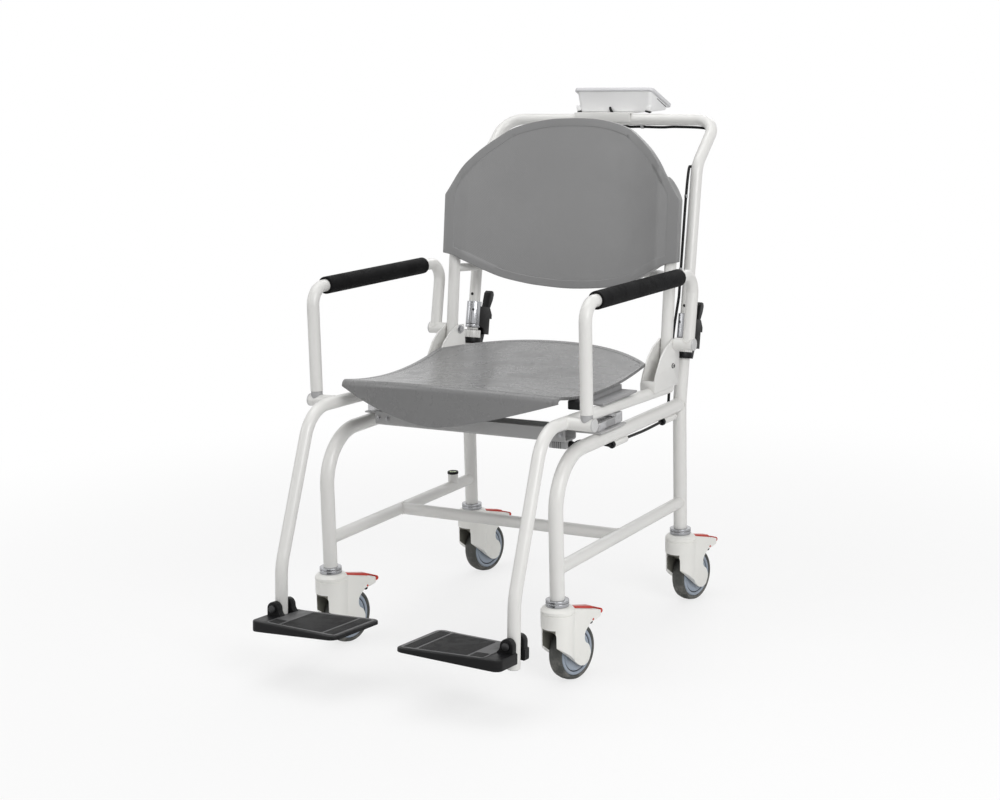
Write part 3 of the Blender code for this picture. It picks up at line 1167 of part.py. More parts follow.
def release_housing(x_sign):
    """Sleeve on the handle tube with a block behind it: ears astride the tongue, the fold pin, a lever slot."""
    outline = [(0, SLEEVE_FOOT + WALL), (HINGE_COLLAR_RADIUS + GAP, SLEEVE_FOOT),
               (PIVOT_SETBACK - TONGUE_NOSE - WALL, HOUSING_FOOT),
               (HOUSING_BACK, HOUSING_FOOT), (HOUSING_BACK, LEVER_PIN_Z - LEVER_HEAD_RADIUS / 2),
               (LEVER_PIN_Y + LEVER_PIN_RADIUS * 2, LEVER_PIN_Z - LEVER_HEAD_RADIUS / 2),
               (LEVER_PIN_Y + LEVER_PIN_RADIUS * 2, LEVER_PIN_Z + LEVER_HEAD_RADIUS / 2),
               (HOUSING_BACK, HOUSING_TOP - WALL), (HOUSING_BACK - WALL, HOUSING_TOP), (0, HOUSING_TOP)]
    block = side_slab(outline, EAR_WIDTH)
    tongue_room = TONGUE_NOSE * 1.55
    length = WHEEL_DIAMETER
    tools = [cylinder(TUBE_RADIUS + GAP * 2, length, (0, 0, 0)),
             box((TONGUE_WIDTH + 4 * GAP, length, length), (0, 0, tongue_room - length / 2)),
             box((LEVER_WIDTH + 2 * GAP, length, length),
                 (0, LEVER_PIN_Y - LEVER_HEAD_RADIUS - WALL + length / 2, 0))]
    for tool in tools:
        cut(block, as_cutter(tool, None))
    fold_pin = cylinder(HINGE_PIN_RADIUS, EAR_WIDTH - WALL, (0, PIVOT_SETBACK, 0), "X", LEG_SIDES)
    lever_pin = cylinder(LEVER_PIN_RADIUS, EAR_WIDTH - WALL, (0, LEVER_PIN_Y, LEVER_PIN_Z), "X", LEG_SIDES)
    join(block, as_cutter(fold_pin, None), as_cutter(lever_pin, None), as_cutter(hinge_sleeve(), None))
    return at_hinge(frozen(block), x_sign)


SLEEVE_FOOT = 0.0045
LEVER_OUTLINE_SHARES = (            # of the lever's length: behind and above its pin
    (0.10, 0.92), (0.22, 1.02), (0.36, 1.00), (0.42, 0.88), (0.36, 0.66), (0.20, 0.36), (0.15, 0.0),
    (0.15, -0.30), (0.05, -0.44), (-0.06, -0.42), (-0.09, -0.28), (-0.16, 0.0), (-0.14, 0.16), (0.0, 0.42))


def release_lever(side, x_sign, handle):
    """Club-shaped lever behind the housing, swinging on its own pin."""
    matrix = hinge_matrix(x_sign) @ Matrix.Translation((0, LEVER_PIN_Y, LEVER_PIN_Z))
    pin = empty("release_pin_" + side, matrix.to_translation() - handle.location, matrix.to_euler(), handle)
    outline = [(LEVER_LENGTH * y, LEVER_LENGTH * z) for y, z in LEVER_OUTLINE_SHARES]
    item = side_slab(outline, LEVER_WIDTH)
    bore = cylinder(LEVER_PIN_RADIUS + GAP, LEVER_WIDTH * 2, (0, 0, 0), "X", LEG_SIDES)
    cut(item, as_cutter(bore, pin))
    return place(item, "release_lever_" + side, "black_plastic", pin)


def hinge_sleeve():
    bore = TUBE_RADIUS + GAP
    top = SLEEVE_FOOT + SLEEVE_LENGTH
    item = turned([(bore, top), (SLEEVE_RADIUS - WALL / 2, top), (SLEEVE_RADIUS, top - WALL / 2),
                   (SLEEVE_RADIUS, SLEEVE_FOOT), (bore, SLEEVE_FOOT)])
    return item


def handle_path():
    """Centre line of the handle from the left hinge over the top tube to the right one."""
    knee = (SIDE_X, post_y(HANDLE_KNEE_HEIGHT), HANDLE_KNEE_HEIGHT)
    corner = (SIDE_X, HANDLE_Y, HANDLE_HEIGHT)
    foot = (SIDE_X, post_y(HINGE_TOP), HINGE_TOP)
    right = [foot, knee, corner]
    left = [(-x, y, z) for x, y, z in right]
    return rounded(left + right[::-1], [0, HANDLE_KNEE_BEND, HANDLE_CORNER_BEND, HANDLE_CORNER_BEND,
                                        HANDLE_KNEE_BEND, 0])


def push_handle():
    pivot = empty("handle_pivot", (0, PIVOT_Y, PIVOT_HEIGHT), (0, 0, 0), CHAIR)
    back = Matrix.Translation((0, -PIVOT_Y, -PIVOT_HEIGHT))
    pieces = [(tube(handle_path(), TUBE_RADIUS), "handle_tube", "frame_white"),
              (release_housing(-1), "release_housing_left", "black_plastic"),
              (release_housing(1), "release_housing_right", "black_plastic")]
    for item, name, material in pieces:
        item.data.transform(back)
        place(item, name, material, pivot)
    for side, x_sign in SIDES:
        release_lever(side, x_sign, pivot)
    return pivot


PIVOT_HEIGHT = HINGE_HEIGHT - PIVOT_SETBACK * math.sin(POST_LEAN)


# Indicator: its lid's own frame starts at the lid's front upper edge, with +Y down the slope to the reader

def lid_matrix():
    return (Matrix.Translation((INDICATOR_X, LID_FRONT_Y, LID_FRONT_HEIGHT))
            @ Matrix.Rotation(-LID_SLOPE, 4, "X"))


def on_handle(item, matrix):
    """Turn a piece into the handle's frame."""
    item.data.transform(Matrix.Translation((0, -PIVOT_Y, -PIVOT_HEIGHT)) @ matrix)
    return item


def plate_outline(width, depth, corner, centre_y):
    half = width / 2
    low = centre_y - depth / 2
    high = centre_y + depth / 2
    return rounded([(-half, low), (half, low), (half, high), (-half, high)], corner, True, CORNER_STEP)


CORNER_STEP = math.radians(30.0)
READER_OFFSET = 0.0011              # display and keys to the reader's left of the lid's middle


def key_places():
    middle = LID_DEPTH / 2 + KEY_OFFSET
    first = READER_OFFSET + KEY_PITCH * (KEY_COUNT - 1) / 2
    return [(first - KEY_PITCH * number, middle) for number in range(KEY_COUNT)]


def indicator_lid():
    """Lid with a pocket for the display window and an opening for every key."""
    lid = slab(plate_outline(LID_WIDTH, LID_DEPTH, LID_CORNER, LID_DEPTH / 2), LID_THICKNESS, LID_EDGE)
    lid.data.transform(Matrix.Translation((0, 0, -LID_THICKNESS / 2)))
    window_y = LID_DEPTH / 2 - WINDOW_OFFSET
    pocket = box((WINDOW_WIDTH + 2 * GAP, WINDOW_DEPTH + 2 * GAP, 2 * (WINDOW_THICKNESS + GAP)),
                 (READER_OFFSET, window_y, 0))
    cut(lid, as_cutter(pocket, None))
    for x, y in key_places():
        hole = box((KEY_WIDTH + 2 * KEY_PLAY, KEY_DEPTH + 2 * KEY_PLAY, LID_THICKNESS * 4), (x, y, 0))
        cut(lid, as_cutter(hole, None))
    return on_handle(frozen(lid), lid_matrix())


LID_EDGE = 0.0008


def display_window():
    window = box((WINDOW_WIDTH, WINDOW_DEPTH, WINDOW_THICKNESS),
                 (READER_OFFSET, LID_DEPTH / 2 - WINDOW_OFFSET, -WINDOW_THICKNESS / 2))
    return on_handle(window, lid_matrix())


def lid_point(y, z):
    """World Y and Z of a place given in the lid's own frame."""
    point = lid_matrix() @ Vector((0, y, z))
    return (point.y, point.z)


SADDLE_TOP = HANDLE_HEIGHT + TUBE_RADIUS + GAP + SADDLE_THICKNESS
BODY_FOOT_HEIGHT = SADDLE_TOP + GAP
BATTERY_SETBACK = 0.0065
CABLE_EXIT_HEIGHT = BODY_FOOT_HEIGHT + BODY_WALL + CABLE_DIAMETER * 0.6


def body_profile(inset, rise):
    """Side profile of the indicator body, or of its hollow when inset."""
    under = -LID_THICKNESS - GAP
    front_top = lid_point(BODY_FRONT_INSET + inset, under + rise)
    rear_top = lid_point(LID_DEPTH - BODY_REAR_INSET - inset, under + rise)
    return [front_top, rear_top, (BODY_FOOT_REAR - inset, BODY_FOOT_HEIGHT + inset),
            (BODY_FOOT_FRONT + inset, BODY_FOOT_HEIGHT + inset)]


def tapered_body():
    """The body's block, narrower at its foot than under the lid."""
    item = side_slab(body_profile(0, 0), BODY_TOP_WIDTH)
    top = lid_point(BODY_FRONT_INSET, -LID_THICKNESS)[1]
    for vertex in item.data.vertices:
        share = (top - vertex.co.z) / (top - BODY_FOOT_HEIGHT)
        vertex.co.x *= 1 - share * (1 - BODY_FOOT_WIDTH / BODY_TOP_WIDTH)
    return item


def indicator_base():
    """Tub under the lid with a cable hole in its front wall."""
    body = tapered_body()
    hollow = side_slab(body_profile(BODY_WALL, OVERRUN), BODY_FOOT_WIDTH - 2 * BODY_WALL)
    hole = cylinder(CABLE_DIAMETER / 2 + GAP, 4 * OVERRUN, (0, BODY_FOOT_FRONT, CABLE_EXIT_HEIGHT), "Y", LEG_SIDES)
    cut(body, as_cutter(hollow, None), as_cutter(hole, None))
    return on_handle(frozen(body), Matrix.Translation((INDICATOR_X, 0, 0)))


def indicator_saddle():
    """Folded plate over the top tube that carries the indicator."""
    inner = HANDLE_Y - TUBE_RADIUS - GAP
    outer = inner - SADDLE_THICKNESS
    under = SADDLE_TOP - SADDLE_THICKNESS
    foot = SADDLE_TOP - SADDLE_FLANGE
    outline = [(outer, foot), (inner, foot), (inner, under), (SADDLE_REAR, under), (SADDLE_REAR, SADDLE_TOP),
               (outer, SADDLE_TOP)]
    return on_handle(side_slab(outline, SADDLE_WIDTH, SADDLE_X), Matrix.Identity(4))


def circuit_board():
    board = box((BOARD_WIDTH, BOARD_DEPTH, BOARD_THICKNESS),
                (0, LID_DEPTH / 2 - WINDOW_OFFSET * 2, -LID_THICKNESS - 2 * GAP - BOARD_THICKNESS / 2))
    return on_handle(board, lid_matrix())


def battery_pack():
    floor = BODY_FOOT_HEIGHT + BODY_WALL + GAP
    item = box((BATTERY_WIDTH, BATTERY_DEPTH, BATTERY_HEIGHT),
               (INDICATOR_X, BODY_FOOT_FRONT + BATTERY_SETBACK + BATTERY_DEPTH / 2, floor + BATTERY_HEIGHT / 2))
    return on_handle(item, Matrix.Identity(4))


def key(number, x, y, handle):
    """One key, standing a little above the lid and sliding along the lid's normal."""
    matrix = lid_matrix() @ Matrix.Translation((x, y, KEY_STAND - KEY_LENGTH / 2))
    item = slab(plate_outline(KEY_WIDTH, KEY_DEPTH, KEY_STAND * 2, 0), KEY_LENGTH)
    return place(item, "key_" + str(number), "key", handle, matrix.to_translation() - handle.location,
                 matrix.to_euler())


def indicator(handle):
    pieces = [(indicator_saddle(), "indicator_saddle", "frame_white"), (indicator_base(), "indicator_base", "indicator"),
              (indicator_lid(), "indicator_lid", "indicator"), (display_window(), "display_window", "display"),
              (circuit_board(), "circuit_board", "board"), (battery_pack(), "battery_pack", "black_plastic")]
    for item, name, material in pieces:
        place(item, name, material, handle)
    for number, (x, y) in enumerate(key_places(), 1):
        key(number, x, y, handle)


# Cable from the junction under the seat to the indicator, and what holds it

POST_INSIDE = 0.0180                # cable centre inside the post's centre line
POST_AHEAD = 0.0120                 # and ahead of it
HANDLE_INSIDE = 0.0140
HANDLE_AHEAD = 0.0080
CABLE_STEP = 0.020
CABLE_SAG = 0.0015
CONNECTOR_HEIGHT = CHANNEL_BOTTOM - GAP - CONNECTOR_SIZE / 2
CABLE_UNDER_TUBE = 0.0018


def cable_at_post(height, inside, ahead):
    return (SIDE_X - inside, post_y(height) - ahead, height)


def lower_cable_route():
    """From the connector out to the right rail, back along it in the guides and up the post."""
    start_x = CONNECTOR_X + CONNECTOR_LENGTH / 2 + GAP
    half = GUIDE_LENGTH / 2 + GROMMET_LENGTH
    free = (FRONT_GUIDE_Y + REAR_GUIDE_Y) / 2
    return [(start_x, CHANNEL_Y, CONNECTOR_HEIGHT), (start_x + CABLE_DIAMETER, CHANNEL_Y, CONNECTOR_HEIGHT),
            (SIDE_X - LEG_RADIUS, CHANNEL_Y + CONNECTOR_SIZE / 2, GUIDE_HEIGHT + CABLE_DIAMETER / 2),
            (SIDE_X - CABLE_DIAMETER / 2, CHANNEL_Y + CONNECTOR_LENGTH, GUIDE_HEIGHT),
            (SIDE_X, FRONT_GUIDE_Y - half, GUIDE_HEIGHT), (SIDE_X, FRONT_GUIDE_Y + half, GUIDE_HEIGHT),
            (SIDE_X, free, GUIDE_HEIGHT - CABLE_SAG), (SIDE_X, REAR_GUIDE_Y - half, GUIDE_HEIGHT),
            (SIDE_X, REAR_GUIDE_Y, GUIDE_HEIGHT),
            (SIDE_X, REAR_GUIDE_Y + GUIDE_LENGTH / 2 + CABLE_SAG * 2, GUIDE_HEIGHT),
            (SIDE_X - POST_INSIDE, REAR_GUIDE_Y + GUIDE_LENGTH / 2 + CABLE_STEP * 0.7, GUIDE_HEIGHT + CABLE_DIAMETER),
            cable_at_post(UPPER_RAIL_HEIGHT + CABLE_STEP / 2, POST_INSIDE, POST_AHEAD),
            cable_at_post(CABLE_HINGE_FOOT, POST_INSIDE, POST_AHEAD)]


def bend_cable_route():
    ends = (CABLE_HINGE_FOOT + GAP, CABLE_HINGE_HEAD - GAP)
    middle = (ends[0] + ends[1]) / 2
    return [cable_at_post(ends[0], POST_INSIDE, POST_AHEAD), cable_at_post(middle, POST_INSIDE, POST_AHEAD),
            cable_at_post(ends[1], HANDLE_INSIDE, HANDLE_AHEAD)]


def upper_cable_route():
    """Up the inside of the right handle tube, in under the top tube and into the indicator."""
    knee = cable_at_post(HANDLE_KNEE_HEIGHT - HANDLE_KNEE_BEND / 2, HANDLE_INSIDE, HANDLE_AHEAD)
    under = HANDLE_HEIGHT - TUBE_RADIUS - CABLE_DIAMETER / 2 - CABLE_UNDER_TUBE
    slope = (HANDLE_HEIGHT - HANDLE_KNEE_HEIGHT) / HANDLE_REACH
    rise_y = post_y(HANDLE_KNEE_HEIGHT) + HANDLE_REACH / 2
    rise_z = HANDLE_KNEE_HEIGHT + slope * HANDLE_REACH / 2
    lift = HANDLE_CORNER_BEND * 2
    front = HANDLE_Y - TUBE_RADIUS - CABLE_DIAMETER * 1.7
    return [cable_at_post(CABLE_HINGE_HEAD, HANDLE_INSIDE, HANDLE_AHEAD), knee,
            (SIDE_X - POST_INSIDE, rise_y, rise_z - HANDLE_INSIDE / 2),
            (SIDE_X - HANDLE_CORNER_BEND, HANDLE_Y - CABLE_DIAMETER, under - CABLE_UNDER_TUBE),
            (SIDE_X - lift, HANDLE_Y, under), (SIDE_X / 2, HANDLE_Y, under),
            (INDICATOR_X + CONNECTOR_LENGTH, HANDLE_Y - CABLE_DIAMETER / 2, under),
            (INDICATOR_X + CABLE_STEP, HANDLE_Y - TUBE_RADIUS, under - CABLE_DIAMETER / 2),
            (INDICATOR_X + CABLE_DIAMETER, front, HANDLE_HEIGHT - TUBE_RADIUS),
            (INDICATOR_X, front, CABLE_EXIT_HEIGHT - CABLE_DIAMETER * 2),
            (INDICATOR_X, HANDLE_Y - TUBE_RADIUS - CABLE_DIAMETER / 4, CABLE_EXIT_HEIGHT),
            (INDICATOR_X, BODY_FOOT_FRONT - CABLE_DIAMETER / 2, CABLE_EXIT_HEIGHT),
            (INDICATOR_X, BODY_FOOT_FRONT + CABLE_DIAMETER, CABLE_EXIT_HEIGHT)]


CABLE_SIDES = 8


def cable_piece(route):
    return tube(smooth_route(route, CABLE_STEP), CABLE_DIAMETER / 2, CABLE_SIDES)


def cable(handle):
    place(cable_piece(lower_cable_route()), "cable_lower", "black_plastic")
    upper = on_handle(cable_piece(upper_cable_route()), Matrix.Identity(4))
    place(upper, "cable_upper", "black_plastic", handle)
    place(cable_piece(bend_cable_route()), "cable_bend", "black_plastic")


def cable_guide(middle):
    """Guide tube welded under the right upper rail, with a grommet at its front end."""
    half = GUIDE_LENGTH / 2
    inner = GUIDE_BORE / 2
    outer = GUIDE_DIAMETER / 2
    lip = half + GROMMET_LENGTH
    step = outer - WALL / 2
    return turned([(inner, half), (outer, half), (outer, -half), (step, -half), (step, -lip), (inner, -lip)], "Y",
                  LEG_SIDES, (SIDE_X, middle, GUIDE_HEIGHT))


def junction_connector():
    item = box((CONNECTOR_LENGTH, CONNECTOR_SIZE * 2, CONNECTOR_SIZE), (CONNECTOR_X, CHANNEL_Y, CONNECTOR_HEIGHT))
    return place(item, "junction_connector", "black_plastic")


def level_holder():
    """White stub on the left lower rail with the level's ring cap on it."""
    x = -SIDE_X
    rail_top = LOWER_RAIL_HEIGHT + CROSS_TUBE_DIAMETER / 2
    top = rail_top + LEVEL_HEIGHT - LEVEL_CAP_HEIGHT
    stub = cylinder(LEVEL_RADIUS, top - LOWER_RAIL_HEIGHT, (x, LEVEL_Y, (top + LOWER_RAIL_HEIGHT) / 2))
    rail = cylinder(CROSS_TUBE_DIAMETER / 2 + GAP, WHEELBASE, (x, WHEELBASE / 2, LOWER_RAIL_HEIGHT), "Y", CUTTER_SIDES)
    cut(stub, as_cutter(rail))
    cap = cylinder(LEVEL_RADIUS + WALL / 3, LEVEL_CAP_HEIGHT, (x, LEVEL_Y, top - GAP + LEVEL_CAP_HEIGHT / 2))
    join(stub, as_cutter(cap))
    return place(stub, "level_holder", "frame_white")


def main_frame():
    for side, x_sign in SIDES:
        front_leg(side, x_sign)
        rear_post(side, x_sign)
        load_cell(side, x_sign)
        hinge_base(side, x_sign)
    lower_frame()
    cross_channel()
    level_holder()


def weighed_frame():
    for side, x_sign in SIDES:
        hanger(side, x_sign)
        footplate(side, x_sign)
        foot_bolt(side, x_sign * SIDE_X)
        bumper(side, x_sign)
        armrest_bracket(side, x_sign)
        armrest(side, x_sign)
    backrest_frame()
    backrest_shell()
    seat_shell()


casters()
main_frame()
weighed_frame()
HANDLE = push_handle()
indicator(HANDLE)
cable(HANDLE)
junction_connector()
bpy.context.view_layer.update()
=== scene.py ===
"""Looks of the wheeled chair scale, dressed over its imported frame.

Lengths are metres. Pieces are built in the chair's own coordinates, whose origin is on the floor midway
between the front legs, and dress() then sets them where the frame stands.
"""
import math

import bmesh
import bpy
from mathutils import Matrix, Vector

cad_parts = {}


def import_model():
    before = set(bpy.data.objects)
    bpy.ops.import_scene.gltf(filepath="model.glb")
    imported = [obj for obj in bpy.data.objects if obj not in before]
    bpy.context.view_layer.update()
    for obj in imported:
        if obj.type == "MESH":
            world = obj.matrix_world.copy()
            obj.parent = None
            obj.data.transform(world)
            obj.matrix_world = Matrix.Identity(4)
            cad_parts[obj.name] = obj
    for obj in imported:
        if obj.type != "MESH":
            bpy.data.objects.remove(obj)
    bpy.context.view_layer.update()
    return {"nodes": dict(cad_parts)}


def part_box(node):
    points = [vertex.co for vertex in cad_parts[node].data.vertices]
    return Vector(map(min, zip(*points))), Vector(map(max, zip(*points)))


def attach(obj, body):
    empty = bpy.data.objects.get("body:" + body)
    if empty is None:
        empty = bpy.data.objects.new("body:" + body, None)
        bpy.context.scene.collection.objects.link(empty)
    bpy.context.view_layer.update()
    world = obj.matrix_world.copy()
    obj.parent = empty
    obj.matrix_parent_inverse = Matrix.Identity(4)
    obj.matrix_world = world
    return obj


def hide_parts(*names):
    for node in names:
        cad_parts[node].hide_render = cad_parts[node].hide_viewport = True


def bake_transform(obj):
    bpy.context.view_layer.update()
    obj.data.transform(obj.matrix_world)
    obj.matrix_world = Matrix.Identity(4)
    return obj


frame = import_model()

# Sizes of the chair, as its frame has them
TRACK = 0.462
WHEELBASE = 0.502
LEG_RADIUS = 0.0127
TUBE_RADIUS = 0.0111
COLLAR_RADIUS = 0.020
COLLAR_HEIGHT = 0.0115
LEG_FOOT_HEIGHT = 0.150
LOWER_RAIL_HEIGHT = 0.201
UPPER_RAIL_HEIGHT = 0.3905
FRONT_BEND = 0.095
POST_BEND = 0.120
CROSS_TUBE_Y = 0.479 * WHEELBASE
POST_LEAN_SHARE = 0.194
HINGE_HEIGHT = 0.5025
GAP = 0.0003
WALL = 0.003

WHEEL_RADIUS = 0.050
WHEEL_WIDTH = 0.026
CASTER_TRAIL = 0.037
CASTER_TURN = math.radians(10.0)
CAP_RADIUS = 0.029
CAP_TOP = LEG_FOOT_HEIGHT - COLLAR_HEIGHT - GAP
CHEEK_WIDTH = 0.040
WHEEL_CLEARANCE = 0.0022
FRONT_CUT_WIDTH = 0.030
FRONT_CUT_HEIGHT = 0.100
PEDAL_WIDTH = 0.014
PEDAL_TIP_WIDTH = 0.026
NOSE_Y = -0.008
PEDAL_PIN_RADIUS = 0.0025
PEDAL_STOP_RADIUS = 0.0019
PEDAL_STOP_THICKNESS = 0.0016
PIN_PROUD = 0.0004                  # both ends of a pin together
SKIRT_RADIUS = CAP_RADIUS - 0.0012
COLLAR_GROOVE_TOP = 0.0076          # above the cap
COLLAR_GROOVE_FOOT = 0.0064
COLLAR_GROOVE_DEPTH = 0.002
COLLAR_GROOVE_INSET = 0.0003

SEAT_TUBE_HEIGHT = 0.446
SEAT_TUBE_FALL_SHARE = 0.032
SEAT_TUBE_END = 0.452
HANGER_TOP_REACH = 0.039
HANGER_KNEE_REACH = 0.1463
HANGER_KNEE_HEIGHT = 0.1888
HANGER_FOOT_REACH = 0.1543
HANGER_FOOT_HEIGHT = 0.076
HANGER_BEND = 0.070
HANGER_KNEE_BEND = 0.110
FOOTPLATE_HINGE_HEIGHT = 0.1185

ARM_X = 0.272
ARM_PIVOT_Y = 0.451
ARM_PIVOT_HEIGHT = 0.515
ARM_FRONT_Y = 0.0385
ARM_FRONT_HEIGHT = 0.648
ARM_REAR_Y = 0.4775
ARM_REAR_HEIGHT = 0.643
ARM_BEND = 0.032
ARM_CAP_X = 0.285
STUB_LENGTH = 0.057
BUMPER_HEIGHT = 0.006
GRIP_RADIUS = 0.01575
GRIP_START = 0.078
GRIP_END = 0.409

BACK_TUBE_Y = 0.4383
BACK_TUBE_HEIGHT = 0.4617
BACK_LEAN_SHARE = 0.133
BACK_TUBE_FOOT = 0.458
BACK_TUBE_TOP = 0.772
BACK_CROSS_HEIGHT = 0.6345
BACK_CROSS_RADIUS = 0.008
BACK_CROSS_BOW = 0.059
BACK_HALF_WIDTH = 0.249
BACK_SLEEVE_RADIUS = 0.0165
BACK_SLEEVE_FOOT = 0.664
BACK_SHOULDER = 0.778
BACK_TOP = 0.9215
BACK_CORNER_FOOT = 0.6655
BACK_CENTRE_FOOT = 0.600
BACK_HOLLOW = 0.0548
BACK_SETBACK = 0.0168
BACK_RIM = 0.008
BACK_SIDE_BORDER = 0.0225
BACK_BORDER = 0.0145

SEAT_HALF_WIDTH = 0.2183
SEAT_FRONT = -0.0165
SEAT_FRONT_BOW = 0.0568
SEAT_REAR = 0.4521
SEAT_REAR_BOW = 0.0795
SEAT_REAR_FLARE = 0.0029
SEAT_CORNER_HEIGHT = 0.4853
SEAT_FRONT_CROWN = 0.0154
SEAT_REAR_RISE = 0.0037
SEAT_REAR_CROWN = 0.016
SEAT_DISH = 0.0207
SEAT_EDGE_HOLD = 0.2554
SEAT_LIP = 0.0726
SEAT_ROLL = 0.011
SEAT_THICKNESS = 0.0055
SEAT_BORDER = 0.009
BORDER_STEP = 0.0006

HANDLE_KNEE_HEIGHT = 0.8327
HANDLE_HEIGHT = 0.9115
HANDLE_REACH = 0.0942
HANDLE_KNEE_BEND = 0.055
HANDLE_CORNER_BEND = 0.042
SLEEVE_RADIUS = 0.0145
SLEEVE_LENGTH = 0.052
SLEEVE_FOOT = 0.0045

INDICATOR_X = 0.010
LID_WIDTH = 0.172
LID_DEPTH = 0.0985
LID_THICKNESS = 0.007
LID_SLOPE = math.radians(22.7)
LID_CORNER = 0.009
LID_FRONT_Y = 0.684
LID_FRONT_HEIGHT = 0.974
BODY_TOP_WIDTH = 0.162
BODY_FOOT_WIDTH = 0.1555
BODY_FRONT_INSET = 0.004
BODY_REAR_INSET = 0.006
# A thin black slit in the tub's side: painted shade inside it
SLIT_SIZE = (0.0012, 0.046, 0.0010)
SLIT_PLACE = (0.0003, 0.060, 0.0034)                # in from the side, back from the front, below the lid
INDICATOR_FEET = ((-0.0687, 0.0085, -14.0), (0.0812, 0.0107, 14.0))     # across, width and tilt
INDICATOR_FOOT_Y = 0.6930
INDICATOR_FOOT_HEIGHT = 0.9264
BODY_WALL = 0.0025
BODY_FOOT_FRONT = 0.690
BODY_FOOT_REAR = 0.767
WINDOW_WIDTH = 0.0973
WINDOW_DEPTH = 0.0350
WINDOW_OFFSET = 0.006
READER_OFFSET = 0.0011
KEY_PITCH = 0.0200
KEY_OFFSET = 0.0263
KEY_COUNT = 5
KEY_STAND = 0.0010

CABLE_RADIUS = 0.0026
GUIDE_RADIUS = 0.00675
GUIDE_BORE_RADIUS = 0.0043
GUIDE_LENGTH = 0.052
GUIDE_HEIGHT = UPPER_RAIL_HEIGHT - LEG_RADIUS - GUIDE_RADIUS * 0.84
FRONT_GUIDE_Y = 0.240
REAR_GUIDE_Y = 0.450
GROMMET_LENGTH = 0.004
CABLE_HINGE_FOOT = 0.455
CABLE_HINGE_HEAD = 0.590

SIDE_X = TRACK / 2
SIDES = (("left", -1), ("right", 1))
LEG_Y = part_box("front_leg_left")[0].y + COLLAR_RADIUS      # where the frame has the front legs' centre line
TO_FRAME = Matrix.Translation((0, LEG_Y, 0))

FINE_STEP = math.radians(5.0)
TUBE_SIDES = 32
WELD_BEAD = 0.0014
WELD_POINTS = 40


def seat_tube_z(y):
    return SEAT_TUBE_HEIGHT - SEAT_TUBE_FALL_SHARE * y


def post_y(height):
    return WHEELBASE + POST_LEAN_SHARE * (height - UPPER_RAIL_HEIGHT)


def back_y(height):
    return BACK_TUBE_Y + BACK_LEAN_SHARE * (height - BACK_TUBE_HEIGHT)


POST_LEAN = math.atan(POST_LEAN_SHARE)
STUB_HEIGHT = seat_tube_z(ARM_FRONT_Y)
HANDLE_Y = post_y(HANDLE_KNEE_HEIGHT) + HANDLE_REACH
FOOT_PITCH = math.atan((HANGER_FOOT_REACH - HANGER_KNEE_REACH) / (HANGER_KNEE_HEIGHT - HANGER_FOOT_HEIGHT))
FOOT_HINGE_Y = -HANGER_FOOT_REACH + math.tan(FOOT_PITCH) * (FOOTPLATE_HINGE_HEIGHT - HANGER_FOOT_HEIGHT)


# Shader node groups that several finishes share

def group_with(name, inputs, outputs):
    """A shader node group with its sockets, and its two end nodes."""
    tree = bpy.data.node_groups.new(name, "ShaderNodeTree")
    for label, kind, value in inputs:
        socket = tree.interface.new_socket(name=label, in_out="INPUT", socket_type=kind)
        if value is not None:
            socket.default_value = value
    for label, kind in outputs:
        tree.interface.new_socket(name=label, in_out="OUTPUT", socket_type=kind)
    return tree, tree.nodes.new("NodeGroupInput"), tree.nodes.new("NodeGroupOutput")


def noise(tree, vector, scale, detail=2.0, roughness=0.5):
    """A noise texture: vector and scale are sockets, or scale is a number."""
    node = tree.nodes.new("ShaderNodeTexNoise")
    node.inputs["Detail"].default_value = detail
    node.inputs["Roughness"].default_value = roughness
    tree.links.new(vector, node.inputs["Vector"])
    if isinstance(scale, (int, float)):
        node.inputs["Scale"].default_value = scale
    else:
        tree.links.new(scale, node.inputs["Scale"])
    return node.outputs["Fac"]


def ramp(tree, value, low, high, to_low=0.0, to_high=1.0):
    node = tree.nodes.new("ShaderNodeMapRange")
    node.interpolation_type = "SMOOTHSTEP"
    node.inputs["From Min"].default_value = low
    node.inputs["From Max"].default_value = high
    node.inputs["To Min"].default_value = to_low
    node.inputs["To Max"].default_value = to_high
    tree.links.new(value, node.inputs["Value"])
    return node.outputs["Result"]


def maths(tree, operation, first, second):
    node = tree.nodes.new("ShaderNodeMath")
    node.operation = operation
    for socket, value in zip(node.inputs, (first, second)):
        if isinstance(value, (int, float)):
            socket.default_value = value
        else:
            tree.links.new(value, socket)
    return node.outputs["Value"]


def mixed(tree, factor, first, second):
    """Colour between two colours, which are sockets or plain colours."""
    node = tree.nodes.new("ShaderNodeMix")
    node.data_type = "RGBA"
    tree.links.new(factor, node.inputs["Factor"])
    for socket, value in zip((node.inputs[6], node.inputs[7]), (first, second)):
        if isinstance(value, tuple):
            socket.default_value = value
        else:
            tree.links.new(value, socket)
    return node.outputs[2]


